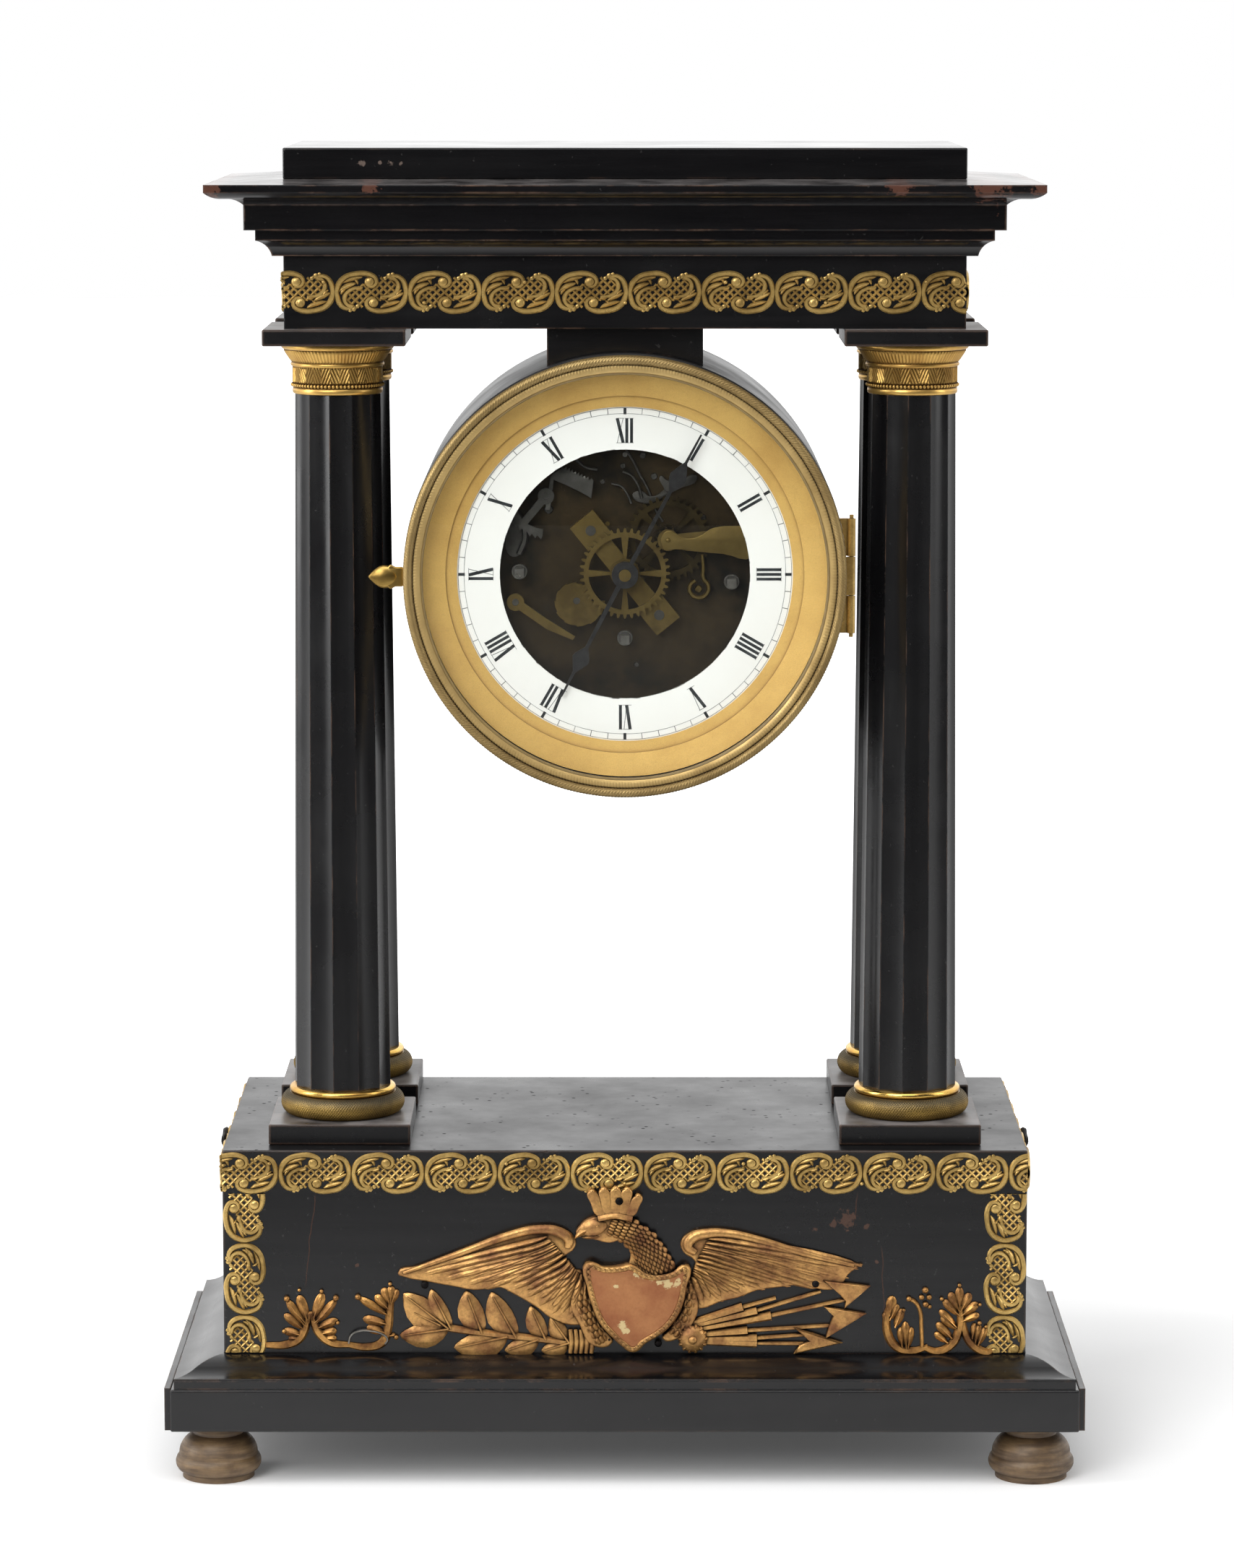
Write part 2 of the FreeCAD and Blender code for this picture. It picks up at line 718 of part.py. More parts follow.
def make_base_box():
    """Front, sides, back and top boards of the hollow base."""
    height = s.box_height - s.box_top_thickness
    inner = s.box_width - 2 * s.box_board_thickness
    left = -s.box_width / 2
    side_y = box_front + s.box_board_thickness
    side_depth = s.box_depth - s.box_board_thickness
    radius = s.board_edge_radius
    node("base_front_board", board(
        "base_front_board", (s.box_width, s.box_board_thickness, height), (left, box_front, lip_top), radius))
    side = (s.box_board_thickness, side_depth, height)
    sides = [
        board("base_left_board", side, (left, side_y, lip_top), radius),
        board("base_right_board", side, (s.box_width / 2 - s.box_board_thickness, side_y, lip_top), radius),
        box("base_back_board", (inner, s.box_board_thickness, height),
            (-inner / 2, back_y - s.box_board_thickness, lip_top)),
    ]
    node("base_side_and_back_boards", group("base_side_and_back_boards", sides))
    node("base_top_board", board(
        "base_top_board", (s.box_width, s.box_depth, s.box_top_thickness),
        (left, box_front, box_top - s.box_top_thickness), radius))


# tops of the capital's band, bead, neck, fillet and flare
CAPITAL_LEVEL_SHARES = (0.12, 0.22, 0.535, 0.625, 0.89)


def column_places():
    x = s.column_spread / 2
    return [
        ("front_left", -x, column_front_y), ("front_right", x, column_front_y),
        ("rear_left", -x, column_rear_y), ("rear_right", x, column_rear_y),
    ]


def fluted_section(radius, depth, z):
    """Twelve shallow hollows that meet in sharp arrises."""
    step = math.tau / FLUTES
    edges = []
    for k in range(FLUTES):
        start = -math.pi / 2 + FLUTE_TURN + k * step
        corners = [polar(radius, start), polar(radius, start + step)]
        hollow = polar(radius * math.cos(step / 2) - depth, start + step / 2)
        arc = Part.Arc(*[Vector(x, y, z) for x, y in (corners[0], hollow, corners[1])])
        edges.append(arc.toShape())
    return Part.Wire(edges)


def polar(radius, angle):
    return radius * math.cos(angle), radius * math.sin(angle)


def make_columns():
    """Four columns: square plinth, torus, fluted shaft, capital and abacus."""
    half = s.column_plinth_width / 2
    abacus_half = s.abacus_width / 2
    plinths = []
    toruses = []
    shafts = []
    capitals = []
    abaci = []
    fillet_step = s.torus_height + s.torus_fillet_height
    torus_waist = s.torus_fillet_radius
    bulge = s.torus_height / 4
    torus = [
        (0, 0), (s.torus_radius - bulge, 0, -bulge), (s.torus_radius - bulge, s.torus_height),
        (torus_waist, s.torus_height), (torus_waist, fillet_step), (0, fillet_step),
    ]
    h = s.capital_height
    neck = s.capital_neck_radius
    bead = s.capital_bead_radius
    fillet = s.capital_fillet_radius
    band_share, bead_share, neck_share, fillet_share, flare_share = CAPITAL_LEVEL_SHARES
    capital = [
        (0, 0), (neck, 0), (neck, h * band_share), (bead, h * band_share), (bead, h * bead_share),
        (neck, h * bead_share), (neck, h * neck_share), (fillet, h * neck_share), (fillet, h * fillet_share),
        (s.capital_flare_radius, h * flare_share), (s.capital_lip_radius, h * flare_share),
        (s.capital_lip_radius, h), (0, h),
    ]
    shaft_wires = [
        fluted_section(s.shaft_bottom_radius.value, s.flute_depth.value, 0),
        fluted_section(s.shaft_top_radius.value, s.flute_depth.value, s.shaft_height.value),
    ]
    shaft = Part.makeLoft(shaft_wires, True, True)
    for name, x, y in column_places():
        plinths.append(board(
            f"column_plinth_{name}", (s.column_plinth_width, s.column_plinth_width, s.column_plinth_height),
            (x - half, y - half, box_top), s.board_edge_radius))
        toruses.append(turned(f"column_torus_{name}", torus, (x, y, torus_bottom)))
        shafts.append(feature(f"column_shaft_{name}", shaft, (x, y, shaft_bottom)))
        capitals.append(turned(f"column_capital_{name}", capital, (x, y, capital_bottom)))
        abaci.append(board(
            f"column_abacus_{name}", (s.abacus_width, s.abacus_width, s.abacus_height),
            (x - abacus_half, y - abacus_half, abacus_bottom), s.board_edge_radius))
    node("column_plinths", group("column_plinths", plinths))
    node("column_toruses", group("column_toruses", toruses))
    node("column_shafts", group("column_shafts", shafts))
    node("column_capitals", group("column_capitals", capitals))
    node("column_abaci", group("column_abaci", abaci))


def make_entablature():
    """Frieze boards, soffit, cornice moulding, cornice top and attic block."""
    left = -frieze_width / 2
    thick = s.frieze_board_thickness
    inner = frieze_depth - 2 * thick
    long_board = (frieze_width, thick, s.frieze_height)
    short_board = (thick, inner, s.frieze_height)
    boards = [
        box("frieze_front_board", long_board, (left, frieze_front, frieze_bottom)),
        box("frieze_back_board", long_board, (left, frieze_back - thick, frieze_bottom)),
        box("frieze_left_board", short_board, (left, frieze_front + thick, frieze_bottom)),
        box("frieze_right_board", short_board, (frieze_width / 2 - thick, frieze_front + thick,
            frieze_bottom)),
        box("frieze_soffit", (frieze_width - 2 * thick, inner, s.soffit_thickness),
            (left + thick, frieze_front + thick, frieze_bottom)),
    ]
    node("frieze_boards", group("frieze_boards", boards))
    fillet = s.cavetto_height + s.cornice_fillet_height
    fascia = fillet + s.fascia_height
    crown = fascia + s.crown_height
    crown_middle = (s.fascia_width + s.crown_width) / 2
    profile = [
        (0, 0),
        (0, cornice_height),
        (-s.crown_width, crown + s.crown_edge_height),
        (-s.crown_width, crown, -s.crown_curl_depth),
        (-crown_middle, fascia + s.crown_height / 2, s.crown_curl_depth),
        (-s.fascia_width, fascia),
        (-s.fascia_width, fillet),
        (-s.cavetto_width, fillet),
        (-s.cavetto_width, s.cavetto_height, s.cavetto_depth),
        (-s.cornice_toe_width, 0),
    ]
    moulding_around(
        "cornice_moulding", profile, s.crown_width, frieze_width, frieze_front, frieze_back, cornice_bottom)
    node("cornice_top_board", box(
        "cornice_top_board", (frieze_width, frieze_depth, attic_bottom - frieze_top),
        (left, frieze_front, frieze_top)))
    node("attic_block", board(
        "attic_block", (frieze_width, frieze_depth - s.attic_back_offset, s.attic_height),
        (left, frieze_front, attic_bottom), s.board_edge_radius))


# Drum and door

def make_drum():
    """Hanging block, turned drum and its lift-out back cover."""
    blank = box(
        "hanger_blank", (s.hanger_width, s.drum_length - 2 * s.hanger_offset, s.drum_axis_drop),
        (-s.hanger_width / 2, drum_front + s.hanger_offset, axis_z))
    drum_space = rod("hanger_drum_space", s.drum_radius, drum_front, s.drum_length)
    node("hanger_block", cut("hanger_block", blank, [drum_space]))
    soft = s.drum_edge_chamfer
    end = s.drum_length
    ledge = s.plate_front_depth + s.plate_thickness
    rear = end - s.cover_thickness
    profile = [
        (s.drum_rear_bore, ledge), (s.drum_front_bore, ledge), (s.drum_front_bore, 0),
        (s.drum_radius - soft, 0), (s.drum_radius, soft), (s.drum_radius, end),
        (s.cover_bore, end), (s.cover_bore, rear), (s.drum_rear_bore, rear),
    ]
    node("drum_shell", turned("drum_shell", profile, (0, drum_front, axis_z), "XY_Plane"))
    knob_neck_share = 0.5
    stem_share = 0.4
    shoulder_share = 0.8
    face_share = 0.7
    cover_radius = s.cover_bore - s.cover_clearance
    knob_end = s.cover_thickness + s.cover_knob_length
    neck = s.cover_knob_radius * knob_neck_share
    cover = [
        (0, 0), (cover_radius, 0), (cover_radius, s.cover_thickness), (neck, s.cover_thickness),
        (neck, s.cover_thickness + s.cover_knob_length * stem_share),
        (s.cover_knob_radius, s.cover_thickness + s.cover_knob_length * shoulder_share),
        (s.cover_knob_radius * face_share, knob_end), (0, knob_end),
    ]
    node("drum_back_cover", turned("drum_back_cover", cover, (0, drum_back - s.cover_thickness, axis_z),
        "XY_Plane"))


def make_door():
    """Rope-edged bezel with its glass, glass ring, thumb tab and hinge leaf."""
    at = (0, drum_front, axis_z)
    front = s.bezel_length
    rope = s.rope_width
    lip_share = 0.35
    rope_bulge_share = 0.28
    lip = s.bezel_bore - s.bezel_sight_radius
    ring = [
        (s.bezel_bore, -s.bezel_gap), (s.bezel_bore, -s.bezel_seat_depth),
        (s.bezel_sight_radius, -s.bezel_seat_depth),
        (s.bezel_sight_radius, -s.bezel_seat_depth - lip * lip_share),
        (s.bezel_radius - rope, -front + lip * lip_share),
        (s.bezel_radius - rope, -front, rope * rope_bulge_share), (s.bezel_radius, rope - front),
        (s.bezel_radius, -s.bezel_gap),
    ]
    node("bezel_ring", turned("bezel_ring", ring, at, "XY_Plane"))
    edge = s.bezel_bore - s.glass_clearance
    seat = -s.bezel_seat_depth
    back = seat + s.glass_thickness
    clear_edge = s.bezel_sight_radius - s.glass_clearance
    glass_outline = [
        (0, seat - s.glass_dome_height), (0, back - s.glass_dome_height), (clear_edge, back), (edge, back),
        (edge, seat),
        (clear_edge, seat),
    ]
    node("bezel_glass", feature("bezel_glass", domed_glass(glass_outline), at))
    keeper = [
        (s.retainer_bore, back), (edge, back), (edge, back + s.retainer_thickness),
        (s.retainer_bore, back + s.retainer_thickness),
    ]
    node("glass_retaining_ring", turned("glass_retaining_ring", keeper, at, "XY_Plane"))
    make_latch()
    make_hinge()


def domed_glass(outline):
    """A thin glass whose middle is a spherical dome and whose rim is flat."""
    places = [Vector(number(x), number(y), 0) for x, y in outline]
    front, back, inner_back, rim_back, rim_front, inner_front = places
    rise_share = 0.75

    def crown(axis_point, edge_point):
        half = Vector(edge_point.x / 2, axis_point.y + (edge_point.y - axis_point.y) * (1 - rise_share), 0)
        return Part.Arc(axis_point, half, edge_point).toShape()

    edges = [
        Part.LineSegment(front, back).toShape(), crown(back, inner_back),
        Part.LineSegment(inner_back, rim_back).toShape(), Part.LineSegment(rim_back, rim_front).toShape(),
        Part.LineSegment(rim_front, inner_front).toShape(), crown(front, inner_front),
    ]
    face = Part.Face(Part.Wire(Part.sortEdges(edges)[0]))
    return face.revolve(Vector(), Vector(0, 1, 0), FULL_TURN)


def make_latch():
    """Leaf-shaped thumb tab on the bezel's left edge."""
    root = s.bezel_radius - s.latch_thickness
    tip = s.bezel_radius + s.latch_length
    half = s.latch_height / 2
    shoulder_share = 0.3
    leaf_bulge_share = 0.16
    bulge = half * leaf_bulge_share
    widest = s.bezel_radius + s.latch_length * shoulder_share
    outline = [
        (-root, -half), (-root, half), (-widest, half, bulge), (-tip, 0, bulge), (-widest, -half),
    ]
    place_y = drum_front - s.bezel_seat_depth / 2
    leaf = padded("latch_leaf", "XZ_Plane", outline, s.latch_thickness, (0, place_y, axis_z))
    ring_space = rod("latch_ring_space", s.bezel_radius, drum_front - s.bezel_length, s.bezel_length)
    node("bezel_latch_tab", cut("bezel_latch_tab", leaf, [ring_space]))


def knuckle(name, bottom, top, leaf_y, carrier_radius):
    """One hinge knuckle with its leaf, shaped to the ring that carries it."""
    barrel = upright(f"{name}_barrel", s.hinge_knuckle_radius, top - bottom,
        (s.hinge_offset, hinge_y, axis_z + bottom))
    start = s.hinge_offset - s.hinge_leaf_width
    leaf = box(f"{name}_leaf", (s.hinge_leaf_width, s.hinge_leaf_thickness, top - bottom),
        (start, leaf_y, axis_z + bottom))
    solid = joined(f"{name}_solid", [barrel, leaf])
    carrier = rod(f"{name}_carrier", carrier_radius, drum_front - s.bezel_length, s.bezel_length * 2)
    pin = upright(
        f"{name}_bore", s.hinge_pin_radius + s.running_clearance, top - bottom + 2 * s.overrun_length,
        (s.hinge_offset, hinge_y, axis_z + bottom - s.overrun_length))
    return cut(name, solid, [carrier, pin])


def make_hinge():
    """Three knuckles on one pin: two on the drum, the middle one on the door."""
    end = s.hinge_length / 2
    middle = s.hinge_length / 6
    gap = s.hinge_knuckle_gap
    drum_leaf_y = hinge_y + s.hinge_knuckle_radius - s.hinge_leaf_thickness
    door_leaf_y = hinge_y - s.hinge_knuckle_radius
    node("bezel_hinge_knuckle", knuckle("bezel_hinge_knuckle", -middle, middle, door_leaf_y, s.bezel_radius))
    over = s.hinge_pin_overhang_length
    pin_at = (s.hinge_offset, hinge_y, axis_z - end - over)
    node("drum_hinge", group("drum_hinge", [
        knuckle("drum_hinge_upper", middle + gap, end, drum_leaf_y, s.drum_radius),
        knuckle("drum_hinge_lower", -end, -middle - gap, drum_leaf_y, s.drum_radius),
        upright("drum_hinge_pin", s.hinge_pin_radius, s.hinge_length + 2 * over, pin_at),
    ]))


hinge_y = drum_front - s.bezel_gap / 2


# Dial

def make_dial():
    """Gilt mat ring and enamel ring."""
    at = (0, drum_front, axis_z)
    back = s.dial_front_depth + s.dial_thickness
    seat = s.dial_radius + s.dial_clearance
    mat = [
        (s.mat_sight_radius, s.dial_front_depth), (s.mat_sight_radius, s.mat_sight_depth),
        (s.mat_step_radius, s.mat_step_front_depth + s.mat_step_height),
        (s.mat_step_radius, s.mat_step_front_depth),
        (s.mat_outer_radius, s.mat_front_depth), (s.mat_outer_radius, back), (seat, back),
        (seat, s.dial_front_depth),
    ]
    node("dial_mat_ring", turned("dial_mat_ring", mat, at, "XY_Plane"))
    enamel = [
        (s.dial_bore, s.dial_front_depth), (s.dial_radius, s.dial_front_depth), (s.dial_radius, back),
        (s.dial_bore, back),
    ]
    node("chapter_ring", turned("chapter_ring", enamel, at, "XY_Plane"))


# Toothed wheels

def ring_polygon(places, y):
    points = [Vector(x, y, z) for x, z in places]
    return Part.makePolygon(points + points[:1])


def tooth_outline(teeth, pitch_radius, shares, phase):
    """Corner points of a toothed rim in the XZ plane."""
    module = 2 * pitch_radius / teeth
    pitch = math.tau / teeth
    tip = pitch_radius + module * shares["tip"]
    root = pitch_radius - module * shares["root"]
    flank = [
        (root, -shares["root_width"] / 2), (pitch_radius, -shares["width"] / 2),
        (tip, -shares["tip_width"] / 2),
        (tip, shares["tip_width"] / 2), (pitch_radius, shares["width"] / 2), (root, shares["root_width"] / 2),
    ]
    return [polar(radius, phase + pitch * (k + turn)) for k in range(teeth) for radius, turn in flank]


def meshing_phase(teeth, phase, other_teeth, direction):
    """Phase of a wheel whose gap faces this wheel's tooth along the line of centres."""
    along = (direction - phase) * teeth / math.tau
    return direction + math.pi - (1 / 2 - along) * math.tau / other_teeth


def crossing(inner, outer, start, stop):
    """Outline of one opening between two spokes."""
    corners = [(inner, start), (inner, stop), (outer, stop), (outer, start)]
    places = [Vector(x, 0, z) for x, z in (polar(r, a) for r, a in corners)]
    middle = (start + stop) / 2
    low = Vector(inner * math.cos(middle), 0, inner * math.sin(middle))
    high = Vector(outer * math.cos(middle), 0, outer * math.sin(middle))
    return Part.Wire([
        Part.Arc(places[0], low, places[1]).toShape(), Part.LineSegment(places[1], places[2]).toShape(),
        Part.Arc(places[2], high, places[3]).toShape(), Part.LineSegment(places[3], places[0]).toShape(),
    ])


def wheel(teeth, pitch_radius, thickness, shares, phase, bore=None, rim=None, hub=None, spoke=None):
    """A toothed wheel, front face at y = 0, with crossings where a rim and hub are given."""
    outline = tooth_outline(teeth, pitch_radius, shares, phase)
    solid = Part.Face(ring_polygon(outline, 0)).extrude(Vector(0, thickness, 0))
    if rim is not None:
        root = pitch_radius - 2 * pitch_radius / teeth * shares["root"]
        outer = root - rim
        for k in range(SPOKES):
            start = phase + math.tau * k / SPOKES
            lean = spoke / (hub + outer)
            opening = Part.Face(crossing(hub, outer, start + lean, start + math.tau / SPOKES - lean))
            solid = solid.cut(opening.extrude(Vector(0, thickness, 0)))
    if bore is not None:
        solid = solid.cut(y_cylinder(bore, 0, thickness))
    return solid


def y_cylinder(radius, start, length, x=0, z=0):
    return Part.makeCylinder(radius, length, Vector(x, start, z), Vector(0, 1, 0))


def plate_shape(places, start, thickness):
    return Part.Face(ring_polygon(places, start)).extrude(Vector(0, thickness, 0))


def turned_places(places, angle, x=0, z=0):
    """Turn a list of places about the origin, then shift them."""
    c, n = math.cos(angle), math.sin(angle)
    return [(x + px * c - pz * n, z + px * n + pz * c) for px, pz in places]


def movement(label, shape):
    """A movement piece: y runs back from the drum's front, x and z from its axis."""
    return node(label, feature(label, shape.removeSplitter(), (0, drum_front, axis_z)))


v = Sizes()
for size_name, size in vars(s).items():
    setattr(v, size_name, size.value)

change_place = polar(v.motion_centre_length, CHANGE_ANGLE)
third_place = polar(v.third_centre_length, THIRD_ANGLE)
escape_step = polar(v.escape_centre_length, ESCAPE_ANGLE)
escape_place = (third_place[0] + escape_step[0], third_place[1] + escape_step[1])
going_place = (0, -v.going_winding_offset)
left_place = (v.winding_left_x_offset, v.winding_left_z_offset)
right_place = (v.winding_right_x_offset, v.winding_right_z_offset)
gap = v.running_clearance


def make_frame():
    """Front and back plates with every pivot hole, pillars, dial feet and studs."""
    rear = v.plate_front_depth + v.plate_thickness
    dial_back = v.dial_front_depth + v.dial_thickness
    front = y_cylinder(v.plate_radius, v.plate_front_depth, v.plate_thickness)
    back = y_cylinder(v.back_plate_radius, v.back_plate_front_depth, v.plate_thickness)
    holes = [
        ((0, 0), v.cannon_radius, v.centre_rear_radius),
        (third_place, v.third_arbor_radius, v.third_arbor_radius),
        (escape_place, v.escape_arbor_radius, v.escape_arbor_radius),
        ((0, v.pallet_height), v.pallet_arbor_radius, v.pallet_arbor_radius),
    ]
    for place in (left_place, right_place, going_place):
        holes.append((place, v.winding_arbor_radius, v.winding_arbor_radius))
    for (x, z), front_radius, back_radius in holes:
        front = front.cut(y_cylinder(front_radius + gap, v.plate_front_depth, v.plate_thickness, x, z))
        back = back.cut(y_cylinder(back_radius + gap, v.back_plate_front_depth, v.plate_thickness, x, z))
    movement("movement_front_plate", front)
    movement("movement_back_plate", back)
    pillars = []
    for i in range(4):
        x, z = polar(v.pillar_circle, math.tau * (i + 1 / 2) / 4)
        pillars.append(y_cylinder(v.pillar_radius, rear, v.back_plate_front_depth - rear, x, z))
        x, z = polar(v.dial_foot_circle, math.tau * (i + 1 / 2) / 4)
        pillars.append(y_cylinder(v.dial_foot_radius, dial_back, v.plate_front_depth - dial_back, x, z))
    node("movement_pillars", feature("movement_pillars", Part.makeCompound(pillars), (0, drum_front, axis_z)))
    plate_rear = v.back_plate_front_depth + v.plate_thickness
    hammer_reach = v.gong_front_depth + v.gong_spacing_length + v.hammer_hub_length - plate_rear
    studs = [
        y_cylinder(v.change_stud_radius, v.change_stud_front_depth,
            v.plate_front_depth - v.change_stud_front_depth, *change_place),
        y_cylinder(v.strike_stud_radius, v.strike_front_depth, v.plate_front_depth - v.strike_front_depth,
            v.snail_x_offset, v.snail_z_offset),
        y_cylinder(v.strike_stud_radius, v.strike_front_depth, v.plate_front_depth - v.strike_front_depth,
            v.rack_x_offset, v.rack_z_offset),
        y_cylinder(v.strike_stud_radius, v.lifter_front_depth, v.plate_front_depth - v.lifter_front_depth,
            v.lifter_x_offset, v.lifter_z_offset),
        y_cylinder(v.hammer_stud_radius, plate_rear, hammer_reach, v.hammer_x_offset, v.hammer_z_offset),
    ]
    node("movement_studs", feature("movement_studs", Part.makeCompound(studs), (0, drum_front, axis_z)))


def make_bridge():
    """Bridge over the cannon wheel, with square feet, a pipe for the hour wheel and two screws."""
    half = v.bridge_half_width
    reach = v.bridge_foot_offset
    bar = [(-reach, -half), (reach, -half), (reach, half), (-reach, half)]
    solid = plate_shape(turned_places(bar, BRIDGE_ANGLE), v.bridge_front_depth, v.bridge_thickness)
    side = v.bridge_foot_width / 2
    foot = [(reach - side, -side), (reach + side, -side), (reach + side, side), (reach - side, side)]
    screws = []
    for angle in (BRIDGE_ANGLE, BRIDGE_ANGLE + math.pi):
        block = plate_shape(turned_places(foot, angle), v.bridge_front_depth,
            v.plate_front_depth - v.bridge_front_depth)
        solid = solid.fuse(block)
        x, z = polar(reach, angle)
        head = v.bridge_screw_height
        screws.append(y_cylinder(v.bridge_screw_radius, v.bridge_front_depth - head, head, x, z))
    pipe_back = v.bridge_front_depth + v.bridge_thickness
    solid = solid.fuse(y_cylinder(v.bridge_pipe_radius, v.bridge_pipe_front_depth,
        pipe_back - v.bridge_pipe_front_depth))
    solid = solid.cut(y_cylinder(v.cannon_radius + gap, v.bridge_pipe_front_depth,
        pipe_back - v.bridge_pipe_front_depth))
    head_x, head_z = change_place
    start = v.cock_front_depth
    foot_half = v.cock_foot_width / 2
    cock = y_cylinder(v.cock_head_radius, start, v.cock_thickness, head_x, head_z)
    run = math.hypot(v.cock_foot_x_offset - head_x, v.cock_foot_z_offset - head_z)
    lean = math.atan2(v.cock_foot_z_offset - head_z, v.cock_foot_x_offset - head_x)
    narrow = v.cock_head_radius / 2
    arm = [(0, -narrow), (run, -foot_half), (run, foot_half), (0, narrow)]
    cock = cock.fuse(plate_shape(turned_places(arm, lean, head_x, head_z), start, v.cock_thickness))
    foot = [(run - foot_half, -foot_half), (run + foot_half, -foot_half), (run + foot_half, foot_half),
            (run - foot_half, foot_half)]
    cock = cock.fuse(plate_shape(turned_places(foot, lean, head_x, head_z), start,
        v.plate_front_depth - start))
    cocks = Part.makeCompound([solid.removeSplitter(), cock.removeSplitter(), pendulum_cock()])
    node("movement_cocks", feature("movement_cocks", cocks, (0, drum_front, axis_z)))
    screw_start = start - v.bridge_screw_height
    screws.append(y_cylinder(
        v.bridge_screw_radius, screw_start, v.bridge_screw_height, v.cock_foot_x_offset,
        v.cock_foot_z_offset))
    node("movement_screws", feature("movement_screws", Part.makeCompound(screws), (0, drum_front, axis_z)))


def hand_outline(length):
    """Half outline of a slim hand: stem, spade and needle, as shares of its length and widths."""
    stem = v.hand_stem_width / 2
    spade = v.hand_spade_width / 2
    tip = v.hand_tip_width / 2
    half = [(0, stem)]
    for along_share, width, width_share in (
        (0.6, stem, 0.7), (0.67, spade, 0.9), (0.7, spade, 1.0), (0.73, spade, 0.75), (0.8, tip, 1.6),
        (1.0, tip, 1.0),
    ):
        half.append((length * along_share, width * width_share))
    return half + [(x, -z) for x, z in reversed(half)]


def make_hand(label, length, angle, front, bore):
    solid = plate_shape(turned_places(hand_outline(length), angle), front, v.hand_thickness)
    solid = solid.fuse(y_cylinder(v.hand_hub_radius, front, v.hand_thickness))
    movement(label, solid.cut(y_cylinder(bore, front, v.hand_thickness)))


def make_motion_work():
    """Cannon and centre arbor, change wheel, hour wheel and the two hands."""
    share = HOUR_TEETH / (HOUR_TEETH + CHANGE_LEAVES)
    hour_radius = v.motion_centre_length * share
    change_pinion_radius = v.motion_centre_length - hour_radius
    cannon_pitch = v.motion_centre_length * CANNON_TEETH / (CANNON_TEETH + CHANGE_TEETH)
    change_radius = v.motion_centre_length - cannon_pitch
    x, z = change_place
    change_phase = meshing_phase(CANNON_TEETH, 0, CHANGE_TEETH, CHANGE_ANGLE)
    leaf_phase = meshing_phase(HOUR_TEETH, 0, CHANGE_LEAVES, CHANGE_ANGLE)
    bore = v.change_stud_radius + gap
    change = wheel(
        CHANGE_TEETH, change_radius, v.change_wheel_thickness, WHEEL_TOOTH_SHARES, change_phase,
        rim=v.change_rim_width, hub=change_pinion_radius * HUB_SHARE, spoke=v.wheel_spoke_width)
    change.translate(Vector(0, v.change_wheel_front_depth, 0))
    pinion_length = v.change_wheel_front_depth - v.change_pinion_front_depth
    leaves = wheel(CHANGE_LEAVES, change_pinion_radius, pinion_length, PINION_TOOTH_SHARES, leaf_phase)
    leaves.translate(Vector(0, v.change_pinion_front_depth, 0))
    back = v.change_wheel_front_depth + v.change_wheel_thickness
    change = change.fuse(leaves).cut(y_cylinder(bore, v.change_pinion_front_depth,
        back - v.change_pinion_front_depth))
    change.translate(Vector(x, 0, z))
    movement("change_wheel", change)
    hour = wheel(
        HOUR_TEETH, hour_radius, v.hour_wheel_thickness, WHEEL_TOOTH_SHARES, 0,
        rim=v.hour_rim_width, hub=v.hour_pipe_radius * HUB_SHARE, spoke=v.wheel_spoke_width)
    hour.translate(Vector(0, v.hour_wheel_front_depth, 0))
    pipe_length = v.hour_pipe_back_depth - v.hour_pipe_front_depth
    hour = hour.fuse(y_cylinder(v.hour_pipe_radius, v.hour_pipe_front_depth, pipe_length))
    hour = hour.cut(y_cylinder(v.bridge_pipe_radius + gap, v.hour_pipe_front_depth, pipe_length))
    movement("hour_wheel", hour)
    make_hand("hour_hand", v.hour_hand_length, HOUR_ANGLE, v.hour_hand_front_depth, v.hour_pipe_radius)
    make_hand("minute_hand", v.minute_hand_length, MINUTE_ANGLE, v.minute_hand_front_depth, v.cannon_radius)
    cannon = wheel(CANNON_TEETH, cannon_pitch, v.cannon_wheel_thickness, PINION_TOOTH_SHARES, 0)
    cannon.translate(Vector(0, v.cannon_wheel_front_depth, 0))
    make_centre_arbor(cannon)


def great_radius():
    return v.going_winding_offset * GREAT_TEETH / (GREAT_TEETH + CENTRE_LEAVES)


def great_front():
    return v.barrel_front_depth + v.barrel_length


def make_centre_arbor(cannon):
    """Centre arbor with its pinion, the centre wheel and the cannon wheel."""
    pinion_radius = v.going_winding_offset - great_radius()
    pinion_front = great_front() - v.pinion_overlap_width
    down = -math.pi / 2
    pinion = wheel(CENTRE_LEAVES, pinion_radius, v.centre_pinion_length, PINION_TOOTH_SHARES, down)
    pinion.translate(Vector(0, pinion_front, 0))
    third_pitch = v.third_centre_length * CENTRE_TEETH / (CENTRE_TEETH + THIRD_LEAVES)
    centre = wheel(
        CENTRE_TEETH, third_pitch, v.train_wheel_thickness, WHEEL_TOOTH_SHARES, 0,
        rim=v.train_rim_width, hub=v.hour_pipe_radius, spoke=v.wheel_spoke_width)
    centre.translate(Vector(0, v.centre_wheel_front_depth, 0))
    end = v.back_plate_front_depth + v.plate_thickness
    arbor = y_cylinder(v.cannon_radius, v.cannon_front_depth, pinion_front - v.cannon_front_depth)
    rear = y_cylinder(v.centre_rear_radius, pinion_front, end - pinion_front)
    movement("centre_arbor", arbor.fuse([rear, pinion, centre, cannon]))


